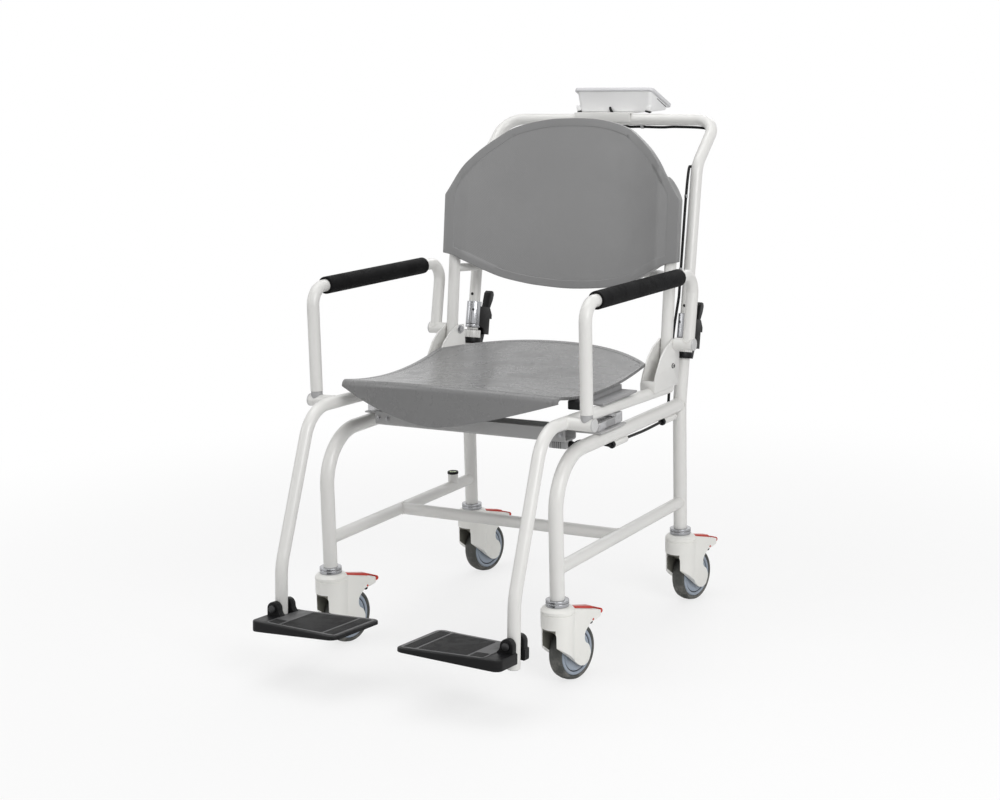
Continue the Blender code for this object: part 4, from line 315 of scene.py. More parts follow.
def moulded_grain_group():
    """Fine spark-eroded grain: a height, and a tone that drifts over the piece."""
    tree, start, end = group_with(
        "moulded_grain", (("Vector", "NodeSocketVector", None), ("Grain Scale", "NodeSocketFloat", 900.0)),
        (("Height", "NodeSocketFloat"), ("Tone", "NodeSocketFloat"), ("Marks", "NodeSocketFloat")))
    vector = start.outputs["Vector"]
    fine = noise(tree, vector, start.outputs["Grain Scale"], 3.0, 0.6)
    cells = tree.nodes.new("ShaderNodeTexVoronoi")
    tree.links.new(vector, cells.inputs["Vector"])
    tree.links.new(start.outputs["Grain Scale"], cells.inputs["Scale"])
    height = maths(tree, "ADD", maths(tree, "MULTIPLY", fine, 0.6),
                   maths(tree, "MULTIPLY", cells.outputs["Distance"], 0.5))
    drift = noise(tree, vector, 7.0, 4.0, 0.55)
    marks = noise(tree, vector, 24.0, 6.0, 0.7)
    tree.links.new(height, end.inputs["Height"])
    tree.links.new(ramp(tree, drift, 0.3, 0.7), end.inputs["Tone"])
    tree.links.new(ramp(tree, marks, 0.42, 0.68), end.inputs["Marks"])
    return tree


def floor_dust_group():
    """Dust that gathers on what is near the floor, in patches."""
    tree, start, end = group_with(
        "floor_dust", (("Vector", "NodeSocketVector", None), ("Reach", "NodeSocketFloat", 0.10)),
        (("Mask", "NodeSocketFloat"),))
    parts = tree.nodes.new("ShaderNodeSeparateXYZ")
    tree.links.new(start.outputs["Vector"], parts.inputs["Vector"])
    low = maths(tree, "SUBTRACT", 1.0, maths(tree, "DIVIDE", parts.outputs["Z"], start.outputs["Reach"]))
    patches = ramp(tree, noise(tree, start.outputs["Vector"], 60.0, 5.0, 0.65), 0.35, 0.75)
    shared = maths(tree, "MULTIPLY", patches, low)
    tree.links.new(ramp(tree, shared, 0.05, 0.7), end.inputs["Mask"])
    return tree


def drawn_lines_group():
    """Fine lines round or along a drawn or turned metal piece."""
    tree, start, end = group_with(
        "drawn_lines", (("Vector", "NodeSocketVector", None),
                        ("Stretch", "NodeSocketVector", (1.0, 1.0, 1.0))),
        (("Height", "NodeSocketFloat"),))
    scaled = tree.nodes.new("ShaderNodeVectorMath")
    scaled.operation = "MULTIPLY"
    tree.links.new(start.outputs["Vector"], scaled.inputs[0])
    tree.links.new(start.outputs["Stretch"], scaled.inputs[1])
    tree.links.new(noise(tree, scaled.outputs["Vector"], 40.0, 6.0, 0.7), end.inputs["Height"])
    return tree


def moulded_dots_group():
    """Small round dimples in diagonal rows, as a height and a tone that leaves the dimples darker: painted
    shade in them.
    """
    tree, start, end = group_with(
        "moulded_dots", (("Vector", "NodeSocketVector", None), ("Pitch", "NodeSocketFloat", 0.0022)),
        (("Height", "NodeSocketFloat"), ("Tone", "NodeSocketFloat")))
    parts = tree.nodes.new("ShaderNodeSeparateXYZ")
    tree.links.new(start.outputs["Vector"], parts.inputs["Vector"])
    along = maths(tree, "SUBTRACT", parts.outputs["Z"], parts.outputs["Y"])
    turned_rows = tree.nodes.new("ShaderNodeCombineXYZ")
    for label, operation in (("X", "ADD"), ("Y", "SUBTRACT")):
        share = maths(tree, "DIVIDE", maths(tree, operation, parts.outputs["X"], along),
                      start.outputs["Pitch"])
        tree.links.new(share, turned_rows.inputs[label])
    cells = tree.nodes.new("ShaderNodeTexVoronoi")
    cells.voronoi_dimensions = "2D"
    cells.inputs["Scale"].default_value = 1.0
    cells.inputs["Randomness"].default_value = 0.0
    tree.links.new(turned_rows.outputs["Vector"], cells.inputs["Vector"])
    dimple = ramp(tree, cells.outputs["Distance"], 0.16, 0.42)
    tree.links.new(dimple, end.inputs["Height"])
    tree.links.new(dimple, end.inputs["Tone"])
    return tree


GRAIN = moulded_grain_group()
DOTS = moulded_dots_group()
DUST = floor_dust_group()
LINES = drawn_lines_group()


# Finishes

def placed_group(tree, group, vector, **values):
    node = tree.nodes.new("ShaderNodeGroup")
    node.node_tree = group
    tree.links.new(vector, node.inputs["Vector"])
    for label, value in values.items():
        node.inputs[label.replace("_", " ").title()].default_value = value
    return node


def shade(colour, share):
    """A colour made lighter or darker by a share of itself."""
    return tuple(min(1.0, value * (1 + share)) for value in colour[:3]) + (1.0,)


def finish(name, colour, roughness, grain=900.0, depth=0.0001, drift=0.05, marks=0.06, metallic=0.0, dust=0.0,
           lines=None, dots=0.0, **sockets):
    """A Principled finish: colour that drifts, smudged roughness, and grain or drawn lines as its bump."""
    material = bpy.data.materials.new(name)
    material.use_nodes = True
    tree = material.node_tree
    shader = tree.nodes["Principled BSDF"]
    vector = tree.nodes.new("ShaderNodeTexCoord").outputs["Object"]
    detail = placed_group(tree, GRAIN, vector, grain_scale=grain)
    tone = mixed(tree, detail.outputs["Tone"], shade(colour, -drift), shade(colour, drift))
    if dust:
        mask = placed_group(tree, DUST, vector).outputs["Mask"]
        tone = mixed(tree, maths(tree, "MULTIPLY", mask, dust), tone, (0.42, 0.40, 0.37, 1.0))
    tree.links.new(tone, shader.inputs["Base Color"])
    tree.links.new(ramp(tree, detail.outputs["Marks"], 0.0, 1.0, roughness - marks, roughness + marks),
                   shader.inputs["Roughness"])
    bump = tree.nodes.new("ShaderNodeBump")
    bump.inputs["Strength"].default_value = 0.6
    bump.inputs["Distance"].default_value = depth
    height = detail.outputs["Height"]
    if lines:
        height = placed_group(tree, LINES, vector, stretch=lines).outputs["Height"]
    if dots:
        rows = placed_group(tree, DOTS, vector, pitch=dots)
        inside = tree.nodes.new("ShaderNodeAttribute")
        inside.attribute_name = "dotted"
        share = maths(tree, "MULTIPLY", rows.outputs["Tone"], inside.outputs["Fac"])
        # Painted shade in the dimples: they keep the base colour while the field between them is made
        # lighter.
        tone = mixed(tree, maths(tree, "MULTIPLY", share, 0.35), tone, shade(colour, 0.30))
        tree.links.new(tone, shader.inputs["Base Color"])
        height = maths(tree, "ADD", maths(tree, "MULTIPLY", height, 0.35), share)
    tree.links.new(height, bump.inputs["Height"])
    tree.links.new(bump.outputs["Normal"], shader.inputs["Normal"])
    shader.inputs["Metallic"].default_value = metallic
    for label, value in sockets.items():
        shader.inputs[label.replace("_", " ").title().replace("Ior", "IOR")].default_value = value
    return material


POWDER_COAT = finish("powder_coat_white", (0.745, 0.74, 0.72), 0.34, 1400.0, 0.00012, 0.02, coat_weight=0.25,
                     coat_roughness=0.16)
WELD_COAT = finish("coated_weld", (0.72, 0.715, 0.69), 0.42, 500.0, 0.0005, 0.04)
SHELL_PLASTIC = finish("shell_plastic_grey", (0.225, 0.225, 0.226), 0.40, 1100.0, 0.00022, 0.035, dots=0.0026)
SEAT_PLASTIC = finish("seat_plastic_grey", (0.172, 0.172, 0.173), 0.33, 1100.0, 0.00018, 0.035, dots=0.0026,
                      coat_weight=0.15, coat_roughness=0.2)
MOUNT_GREY = finish("seat_mount_grey", (0.30, 0.30, 0.305), 0.5, 1000.0, 0.00015, 0.05)
GRIP_FOAM = finish("grip_foam", (0.0042, 0.0042, 0.0046), 0.80, 1500.0, 0.0005, 0.15, specular_ior_level=0.14)
CASTER_NYLON = finish("caster_nylon", (0.84, 0.835, 0.80), 0.36, 700.0, 0.0001, 0.02, dust=0.08)
# Painted shade: a dark colour for the hood's faces round the wheel, standing in for the shade inside the
# wheel room
ROOM_PAINTED_SHADE = finish("wheel_room_painted_shade", (0.135, 0.133, 0.112), 0.7, 900.0, 0.0001, 0.1)
TYRE_RUBBER = finish("tyre_rubber", (0.058, 0.060, 0.055), 0.58, 1200.0, 0.0003, 0.10, dust=0.22)
HUB_PLASTIC = finish("hub_cover_plastic", (0.31, 0.36, 0.43), 0.34, 900.0, 0.0001, 0.05, dust=0.15)
# Painted shade: black for the insides of grooves, slits and holes
GROOVE_PAINTED_SHADE = finish("groove_painted_shade", (0.012, 0.012, 0.013), 0.6, 900.0, 0.0001, 0.1)
PEDAL_NYLON = finish("pedal_nylon_red", (0.55, 0.033, 0.016), 0.34, 800.0, 0.0001, 0.06)
CHROME = finish("chrome_plate", (0.40, 0.405, 0.42), 0.24, 900.0, 0.00004, 0.06, 0.06, 1.0,
                lines=(0.4, 0.4, 14.0))
STEEL = finish("plated_bolt_steel", (0.42, 0.42, 0.43), 0.32, 900.0, 0.00008, 0.06, 0.08, 1.0)
DARK_STEEL = finish("blackened_screw", (0.060, 0.060, 0.062), 0.38, 900.0, 0.00008, 0.1, 0.08, 0.6)
HINGE_PLASTIC = finish("hinge_plastic_black", (0.0050, 0.0050, 0.0056), 0.42, 900.0, 0.0002, 0.12,
                       specular_ior_level=0.20)
FOOT_PLASTIC = finish("footplate_plastic", (0.0060, 0.0060, 0.0066), 0.44, 700.0, 0.0002, 0.1,
                      specular_ior_level=0.18)
FOOT_RUBBER = finish("footplate_inlay_rubber", (0.0130, 0.0130, 0.0135), 0.68, 1600.0, 0.0004, 0.08,
                     specular_ior_level=0.18)
FOOT_LINE = finish("footplate_top_grey", (0.082, 0.082, 0.084), 0.50, 900.0, 0.0002, 0.06)
INDICATOR_PLASTIC = finish("indicator_plastic", (0.70, 0.70, 0.715), 0.42, 1000.0, 0.00012, 0.02)
TUB_PLASTIC = finish("indicator_tub_plastic", (0.88, 0.88, 0.88), 0.45, 1000.0, 0.00012, 0.02)
PANEL_FILM = finish("panel_film", (0.40, 0.44, 0.50), 0.40, 1500.0, 0.00008, 0.03)
BEZEL_FILM = finish("bezel_film", (0.045, 0.05, 0.06), 0.30, 1500.0, 0.00004, 0.05)
DISPLAY_GLASS = finish("display_window_sage", (0.40, 0.53, 0.45), 0.20, 900.0, 0.00002, 0.05, 0.04,
                       coat_weight=0.6, coat_roughness=0.05)
SEGMENT_INK = finish("display_segments", (0.025, 0.035, 0.03), 0.35, 900.0, 0.00002, 0.1)
KEY_RUBBER = finish("key_rubber", (0.105, 0.12, 0.145), 0.58, 1500.0, 0.0002, 0.06)
ICON_INK = finish("icon_ink", (0.74, 0.75, 0.76), 0.5, 900.0, 0.00002, 0.03)
LAMP_GREEN = finish("lamp_green", (0.05, 0.42, 0.10), 0.2, 900.0, 0.00002, 0.05)
RUBBER = finish("mount_rubber", (0.0125, 0.0125, 0.0135), 0.70, 1200.0, 0.0003, 0.12, specular_ior_level=0.3)
PAD_GREY = finish("rest_pad_grey", (0.40, 0.40, 0.405), 0.6, 1200.0, 0.0002, 0.06)
CAP_GREY = finish("end_cap_grey", (0.56, 0.56, 0.56), 0.42, 1000.0, 0.00012, 0.03)
CHANNEL_PAINT = finish("channel_paint", (0.45, 0.45, 0.45), 0.45, 900.0, 0.00015, 0.04)
ALUMINIUM = finish("milled_aluminium", (0.60, 0.60, 0.61), 0.32, 900.0, 0.00012, 0.04, 0.08, 1.0,
                   lines=(14.0, 0.6, 14.0))
CABLE_JACKET = finish("cable_jacket", (0.0050, 0.0050, 0.0055), 0.45, 1500.0, 0.0001, 0.12,
                      specular_ior_level=0.2)
BOARD_GREEN = finish("board_green", (0.02, 0.15, 0.06), 0.4, 900.0, 0.0001, 0.08)
LEVEL_FLUID = finish("level_fluid", (0.42, 0.62, 0.16), 0.12, 900.0, 0.00001, 0.08, coat_weight=0.8)


# Making meshes

def linked(name, data):
    item = bpy.data.objects.new(name, data)
    bpy.context.scene.collection.objects.link(item)
    return item


def polished(mesh, angle=35.0, weld=0.00001, outward=True):
    """Welded, facing outwards, smooth but for its sharp edges."""
    work = bmesh.new()
    work.from_mesh(mesh)
    bmesh.ops.remove_doubles(work, verts=work.verts, dist=weld)
    if outward:
        bmesh.ops.recalc_face_normals(work, faces=work.faces)
    work.to_mesh(mesh)
    work.free()
    if "custom_normal" in mesh.attributes:
        mesh.attributes.remove(mesh.attributes["custom_normal"])
    mesh.shade_smooth()
    mesh.set_sharp_from_angle(angle=math.radians(angle))
    return mesh


def evaluated(item, angle=35.0, outward=True):
    """The object's shape with its modifiers, as a plain mesh. The object goes."""
    bpy.context.view_layer.update()
    shape = item.evaluated_get(bpy.context.evaluated_depsgraph_get())
    mesh = bpy.data.meshes.new_from_object(shape)
    mesh.transform(item.matrix_world)
    bpy.data.objects.remove(item, do_unlink=True)
    return polished(mesh, angle, outward=outward)


def joined(meshes):
    """Several meshes as one."""
    whole = bpy.data.meshes.new("joined")
    work = bmesh.new()
    for mesh in meshes:
        work.from_mesh(mesh)
    work.to_mesh(whole)
    work.free()
    return whole


def moved(mesh, matrix):
    copy = mesh.copy()
    copy.transform(matrix)
    if matrix.determinant() < 0:
        copy.flip_normals()
    return copy


def mirrored(mesh):
    return moved(mesh, Matrix.Diagonal((-1, 1, 1, 1)))


def for_side(mesh, x_sign):
    """A mesh made for the right side, for either side."""
    return mesh.copy() if x_sign > 0 else mirrored(mesh)


def rounded(points, radii, closed=False, step=FINE_STEP):
    """Points of a line whose corners are arcs: one radius for all corners, or one for each."""
    corners = [Vector(point) for point in points]
    count = len(corners)
    sizes = radii if isinstance(radii, (list, tuple)) else [radii] * count
    path = []
    for index, corner in enumerate(corners):
        if (index in (0, count - 1) and not closed) or sizes[index] <= 0:
            path.append(corner)
            continue
        before = corners[index - 1] - corner
        after = corners[(index + 1) % count] - corner
        half = before.angle(after) / 2
        room = min(before.length, after.length) * 0.49
        size = min(sizes[index], room * math.tan(half))
        middle = corner + (before.normalized() + after.normalized()).normalized() * (size / math.sin(half))
        start = corner + before.normalized() * (size / math.tan(half)) - middle
        end = corner + after.normalized() * (size / math.tan(half)) - middle
        sweep = math.pi - 2 * half
        steps = max(2, round(sweep / step))
        normal = start.to_3d().cross(end.to_3d()).normalized()
        for number in range(steps + 1):
            spoke = Matrix.Rotation(sweep * number / steps, 3, normal) @ start.to_3d()
            path.append(middle + (spoke if len(corner) == 3 else spoke.to_2d()))
    return path


def bar(path, radius, sides=TUBE_SIDES, closed=False):
    """A round bar along a line of points."""
    curve = bpy.data.curves.new("bar", "CURVE")
    curve.dimensions = "3D"
    curve.bevel_depth = radius
    curve.bevel_resolution = (sides - 4) // 2
    curve.use_fill_caps = not closed
    spline = curve.splines.new("POLY")
    spline.points.add(len(path) - 1)
    for spot, point in zip(spline.points, path):
        spot.co = (*point, 1.0)
    spline.use_cyclic_u = closed
    return evaluated(linked("bar", curve))


def weld(place, along, across, thick, thin, bead=WELD_BEAD):
    """The bead where a tube of radius thin, lying across, meets a tube of radius thick, lying along."""
    third = along.cross(across)
    path = []
    for number in range(WELD_POINTS):
        turn = math.tau * number / WELD_POINTS
        aside = thin * math.cos(turn)
        reach = math.sqrt(max(thick ** 2 - min(abs(aside), thick * 0.98) ** 2, 0))
        path.append(Vector(place) + across * reach + third * aside + along * (thin * math.sin(turn)))
    return bar(path, bead, 8, True)


def slab(outline, thickness, edge=0.0, rounds=2):
    """A flat outline, extruded half its thickness to each side, with rounded rims."""
    curve = bpy.data.curves.new("slab", "CURVE")
    curve.dimensions = "2D"
    curve.fill_mode = "BOTH"
    curve.extrude = thickness / 2 - edge
    curve.bevel_depth = edge
    curve.bevel_resolution = rounds
    curve.offset = -edge
    spline = curve.splines.new("POLY")
    spline.points.add(len(outline) - 1)
    for spot, point in zip(spline.points, outline):
        spot.co = (point[0], point[1], 0.0, 1.0)
    spline.use_cyclic_u = True
    return evaluated(linked("slab", curve))


UPRIGHT = Matrix(((0, 0, 1, 0), (1, 0, 0, 0), (0, 1, 0, 0), (0, 0, 0, 1)))


def side_slab(outline, thickness, x=0.0, edge=0.0):
    """A slab whose outline is given as Y and Z and whose thickness lies along X."""
    return moved(slab(outline, thickness, edge), Matrix.Translation((x, 0, 0)) @ UPRIGHT)


AXIS_TURNS = {"X": Matrix.Rotation(math.pi / 2, 4, "Y"), "Y": Matrix.Rotation(-math.pi / 2, 4, "X"),
              "Z": Matrix.Identity(4)}


def turned(profile, axis="Z", steps=64, centre=(0, 0, 0), angle=35.0):
    """A solid turned from (radius, height) points that close, or that start and end on the axis."""
    points = [(radius, 0, height) for radius, height in profile]
    if profile[0][0] > 0:
        points.append(points[0])
    mesh = bpy.data.meshes.new("turned")
    mesh.from_pydata(points, [(i, i + 1) for i in range(len(points) - 1)], [])
    item = linked("turned", mesh)
    screw = item.modifiers.new("turn", "SCREW")
    screw.steps = steps
    screw.render_steps = steps
    screw.use_merge_vertices = True
    screw.merge_threshold = 0.00001
    return moved(evaluated(item, angle), Matrix.Translation(centre) @ AXIS_TURNS[axis])


def disc(radius, length, centre=(0, 0, 0), axis="Z", edge=0.0006, steps=48):
    """A round boss or pin with rounded rims."""
    half = length / 2
    profile = rounded([(0, half), (radius, half), (radius, -half), (0, -half)], edge, False,
                      math.radians(22.5))
    return turned([(point[0], point[1]) for point in profile], axis, steps, centre)


def block(size, centre=(0, 0, 0), edge=0.0008, matrix=Matrix.Identity(4)):
    """A box with rounded edges."""
    mesh = bpy.data.meshes.new("block")
    work = bmesh.new()
    bmesh.ops.create_cube(work, size=1.0)
    bmesh.ops.scale(work, vec=size, verts=work.verts)
    bmesh.ops.bevel(work, geom=work.edges[:], offset=edge, segments=3, profile=0.5, affect="EDGES",
                    clamp_overlap=True)
    bmesh.ops.transform(work, matrix=matrix @ Matrix.Translation(centre), verts=work.verts)
    work.to_mesh(mesh)
    work.free()
    return polished(mesh)


def shaped(mesh, cuts=(), joins=(), edge=0.0, angle=35.0, rounds=2, keeps=()):
    """A mesh with others joined to it and cut from it, kept only inside others, and its edges rounded."""
    item = linked("shaped", mesh)
    helpers = []
    for meshes, operation in ((joins, "UNION"), (keeps, "INTERSECT"), (cuts, "DIFFERENCE")):
        for other in meshes:
            helper = linked("helper", other)
            helpers.append(helper)
            change = item.modifiers.new("change", "BOOLEAN")
            change.operation = operation
            change.solver = "EXACT"
            change.object = helper
    if edge:
        bevel = item.modifiers.new("edge", "BEVEL")
        bevel.width = edge
        bevel.segments = rounds
        bevel.limit_method = "ANGLE"
        bevel.angle_limit = math.radians(angle)
        bevel.use_clamp_overlap = True
    result = evaluated(item)
    for helper in helpers:
        bpy.data.objects.remove(helper, do_unlink=True)
    return result


def refined(node, edge, rounds=2, angle=38.0):
    """A CAD node's shape in the chair's coordinates, its flats made whole and its edges rounded."""
    mesh = frame["nodes"][node].data.copy()
    mesh.transform(TO_FRAME.inverted())
    work = bmesh.new()
    work.from_mesh(mesh)
    bmesh.ops.remove_doubles(work, verts=work.verts, dist=0.00001)
    bmesh.ops.dissolve_limit(work, angle_limit=math.radians(0.6), verts=work.verts, edges=work.edges)
    work.to_mesh(mesh)
    work.free()
    return shaped(mesh, edge=edge, rounds=rounds, angle=angle)


def dress(name, mesh, body, material, replaces=()):
    """A finished piece: set where the frame stands, painted, and riding on its body."""
    mesh = mesh.copy()
    mesh.transform(TO_FRAME)
    mesh.name = name
    mesh.materials.clear()
    mesh.materials.append(material)
    item = linked(name, mesh)
    if body:
        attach(item, body)
    if replaces:
        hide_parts(*replaces)
    return item


# Geometry Nodes that set a small piece out in a row or round an axis

def repeat_tree(name, ring):
    """A tree that repeats its own geometry: along a step, or round the local Z axis."""
    tree = bpy.data.node_groups.new(name, "GeometryNodeTree")
    face = tree.interface
    face.new_socket(name="Geometry", in_out="INPUT", socket_type="NodeSocketGeometry")
    face.new_socket(name="Count", in_out="INPUT", socket_type="NodeSocketInt")
    face.new_socket(name="Step", in_out="INPUT", socket_type="NodeSocketVector")
    face.new_socket(name="Finish", in_out="INPUT", socket_type="NodeSocketMaterial")
    face.new_socket(name="Geometry", in_out="OUTPUT", socket_type="NodeSocketGeometry")
    start = tree.nodes.new("NodeGroupInput")
    line = tree.nodes.new("GeometryNodeMeshLine")
    place = tree.nodes.new("GeometryNodeInstanceOnPoints")
    real = tree.nodes.new("GeometryNodeRealizeInstances")
    paint = tree.nodes.new("GeometryNodeSetMaterial")
    end = tree.nodes.new("NodeGroupOutput")
    links = tree.links
    links.new(start.outputs["Count"], line.inputs["Count"])
    if ring:
        index = tree.nodes.new("GeometryNodeInputIndex")
        turn = tree.nodes.new("ShaderNodeMath")
        turn.operation = "DIVIDE"
        turn.inputs[0].default_value = math.tau
        links.new(start.outputs["Count"], turn.inputs[1])
        angle = tree.nodes.new("ShaderNodeMath")
        angle.operation = "MULTIPLY"
        links.new(index.outputs["Index"], angle.inputs[0])
        links.new(turn.outputs["Value"], angle.inputs[1])
        spin = tree.nodes.new("ShaderNodeCombineXYZ")
        links.new(angle.outputs["Value"], spin.inputs["Z"])
        links.new(spin.outputs["Vector"], place.inputs["Rotation"])
        line.inputs["Offset"].default_value = (0, 0, 0)
    else:
        links.new(start.outputs["Step"], line.inputs["Offset"])
    links.new(line.outputs["Mesh"], place.inputs["Points"])
    links.new(start.outputs["Geometry"], place.inputs["Instance"])
    links.new(place.outputs["Instances"], real.inputs["Geometry"])
    links.new(real.outputs["Geometry"], paint.inputs["Geometry"])
    links.new(start.outputs["Finish"], paint.inputs["Material"])
    links.new(paint.outputs["Geometry"], end.inputs["Geometry"])
    return tree


ROW_TREE = repeat_tree("set_in_a_row", False)


def repeated(mesh, tree, count, step=(0, 0, 0), material=None):
    """A mesh set out by one of the trees above, as a plain mesh."""
    item = linked("repeated", mesh)
    modifier = item.modifiers.new("repeat", "NODES")
    modifier.node_group = tree
    sockets = {socket.name: socket.identifier for socket in tree.interface.items_tree
               if socket.in_out == "INPUT"}
    modifier[sockets["Count"]] = count
    modifier[sockets["Step"]] = step
    modifier[sockets["Finish"]] = material
    return evaluated(item)


# Casters: made once, standing in their own frame, then set under each leg

CHEEK_OUTLINE_SHARES = (            # of the wheel's diameter: behind the swivel, above the floor
    (0.22, 1.30), (0.945, 1.105), (0.945, 0.995), (0.80, 0.965), (0.66, 0.96), (0.49, 0.82), (0.48, 0.66),
    (0.60, 0.58), (0.66, 0.43), (0.57, 0.27), (0.46, 0.24), (0.34, 0.27), (0.05, 0.50), (-0.25, 0.73),
    (-0.28, 0.76), (-0.28, 1.24), (0.0, 1.30))
CHEEK_ROUNDS = (0.0, 0.002, 0.002, 0.010, 0.012, 0.012, 0.012, 0.012, 0.016, 0.012, 0.010, 0.012, 0.030,
                0.004, 0.002, 0.004, 0.0)
PEDAL_OUTLINE_SHARES = (
    (0.27, 1.315), (0.90, 1.135), (0.97, 1.115), (1.075, 1.085), (1.105, 1.045), (1.09, 1.01), (0.98, 0.985),
    (0.95, 0.98), (0.84, 1.045), (0.76, 1.02), (0.735, 0.925), (0.66, 0.955), (0.64, 1.00), (0.54, 1.045),
    (0.30, 1.19))
PEDAL_PIN_SHARE = (0.60, 1.035)
PEDAL_STOP_SHARE = (0.725, 0.990)
PEDAL_TIP_SHARE = 0.96
PEDAL_SLOT_SHARE = 0.88


def wheel_shares(shares):
    return [(2 * WHEEL_RADIUS * across, 2 * WHEEL_RADIUS * up) for across, up in shares]


def caster_hood():
    """Round cap with its seam over two rounded cheeks, hollow for the wheel."""
    outline = rounded(wheel_shares(CHEEK_OUTLINE_SHARES), list(CHEEK_ROUNDS), True)
    cheeks = side_slab(outline, CHEEK_WIDTH)
    foot = FRONT_CUT_HEIGHT + WHEEL_CLEARANCE
    seam = CAP_TOP - 0.0115
    groove = 0.0011
    profile = [(0, CAP_TOP), (COLLAR_RADIUS + 0.001, CAP_TOP), (CAP_RADIUS - 0.003, CAP_TOP - 0.0022),
               (CAP_RADIUS, CAP_TOP - 0.006), (CAP_RADIUS, seam + groove),
               (CAP_RADIUS - groove, seam + groove * 0.4),
               (CAP_RADIUS - groove, seam - groove * 0.4), (CAP_RADIUS, seam - groove), (CAP_RADIUS, foot),
               (0, foot)]
    cap = turned(profile)
    wheel_room = disc(WHEEL_RADIUS + WHEEL_CLEARANCE, WHEEL_WIDTH + 2 * WHEEL_CLEARANCE,
                      (0, CASTER_TRAIL, WHEEL_RADIUS), "X", 0.0, 72)
    width = WHEEL_WIDTH + 2 * WHEEL_CLEARANCE
    slot_rear = CASTER_TRAIL + 2 * WHEEL_RADIUS
    lower_room = block((width, slot_rear, 2 * WHEEL_RADIUS),
                       (0, CASTER_TRAIL + WHEEL_RADIUS, WHEEL_RADIUS - 0.004), 0.0001)
    front_outline = rounded([(-FRONT_CUT_WIDTH / 2, 0), (FRONT_CUT_WIDTH / 2, 0),
                             (FRONT_CUT_WIDTH / 2, FRONT_CUT_HEIGHT),
                             (-FRONT_CUT_WIDTH / 2, FRONT_CUT_HEIGHT)],
                            [0, 0, 0.009, 0.009], True)
    front_cut = moved(slab(front_outline, 2 * WHEEL_RADIUS),
                      Matrix.Translation((0, -WHEEL_RADIUS, 0)) @ Matrix.Rotation(math.pi / 2, 4, "X"))
    slot = block((PEDAL_WIDTH + 0.0016, 2 * WHEEL_RADIUS, 2 * WHEEL_RADIUS),
                 (0, CAP_RADIUS - 0.004 + WHEEL_RADIUS, 2 * WHEEL_RADIUS * PEDAL_SLOT_SHARE + WHEEL_RADIUS),
                 0.0001)
    skirt = shaped(side_slab(outline, 2 * CAP_RADIUS),
                   keeps=(disc(SKIRT_RADIUS, 4 * WHEEL_RADIUS, (0, 0, WHEEL_RADIUS), "Z", 0.0, 96),))
    corner = block((2 * CAP_RADIUS, WHEEL_RADIUS, 4 * WHEEL_RADIUS),
                   (0, NOSE_Y - WHEEL_RADIUS / 2, WHEEL_RADIUS), 0.0001)
    corner = shaped(corner, (disc(SKIRT_RADIUS, 8 * WHEEL_RADIUS, (0, 0, WHEEL_RADIUS), "Z", 0.0, 96),))
    cheeks = shaped(cheeks, (corner,))
    return shaped(cheeks, (wheel_room, lower_room, front_cut, slot), (cap, skirt), 0.0008, 40.0, 2)


def wheel_room_shade_sheet(hood):
    """Thin dark sheet on the faces of the hood that look at the wheel: painted shade inside the wheel room.
    """
    room = WHEEL_WIDTH / 2 + WHEEL_CLEARANCE + 0.0001
    work = bmesh.new()
    work.from_mesh(hood)
    outside = [face for face in work.faces
               if any(abs(vertex.co.x) > room or vertex.co.z > FRONT_CUT_HEIGHT + WHEEL_CLEARANCE + 0.0005
                      for vertex in face.verts)]
    bmesh.ops.delete(work, geom=outside, context="FACES")
    mesh = bpy.data.meshes.new("shade_sheet")
    work.to_mesh(mesh)
    work.free()
    item = linked("shade_sheet", mesh)
    wall = item.modifiers.new("wall", "SOLIDIFY")
    wall.thickness = 0.0004
    wall.offset = 1.0
    return evaluated(item)


def caster_tyre():
    """Crowned rubber tyre with a shoulder and a moulded line on each side."""
    half = WHEEL_WIDTH / 2
    seat = WHEEL_RADIUS - 0.0085
    line = WHEEL_RADIUS - 0.0048
    corners = [(seat, half - 0.0016), (line - 0.0008, half), (line, half - 0.0006), (line + 0.0008, half),
               (WHEEL_RADIUS - 0.0020, half * 0.90), (WHEEL_RADIUS, half * 0.30)]
    profile = corners + [(radius, -across) for radius, across in corners[::-1]]
    return turned(rounded(profile, 0.004, True, math.radians(12.0)), "X", 96)


def hub_side(sign):
    """Dished hub cover, a groove round it and a flat rim ring outside, in the wheel's own frame."""
    half = WHEEL_WIDTH / 2
    profile = [(0.0, half - 0.0042), (0.0, half - 0.0008), (0.0030, half - 0.0008), (0.0036, half - 0.0002),
               (0.0112, half - 0.0002), (0.0128, half - 0.0016), (0.0240, half - 0.0024),
               (0.0300, half - 0.0016),
               (0.0334, half - 0.0018), (0.0340, half - 0.0034), (0.0354, half - 0.0034),
               (0.0358, half - 0.0008),
               (0.0404, half - 0.0008), (0.0414, half - 0.0020), (0.0414, half - 0.0042)]
    mesh = turned(rounded(profile, 0.0006, False, math.radians(30.0)) + [Vector((0.0, half - 0.0042))], "X",
                  72)
    return moved(mesh, Matrix.Rotation(math.pi, 4, "Z")) if sign < 0 else mesh


def hub_groove_shade(sign):
    """Dark ring in the groove of a hub cover: painted shade of the groove."""
    half = WHEEL_WIDTH / 2
    profile = [(0.0338, half - 0.0036), (0.0338, half - 0.0027), (0.0356, half - 0.0027),
               (0.0356, half - 0.0036)]
    mesh = turned(profile, "X", 72)
    return moved(mesh, Matrix.Rotation(math.pi, 4, "Z")) if sign < 0 else mesh


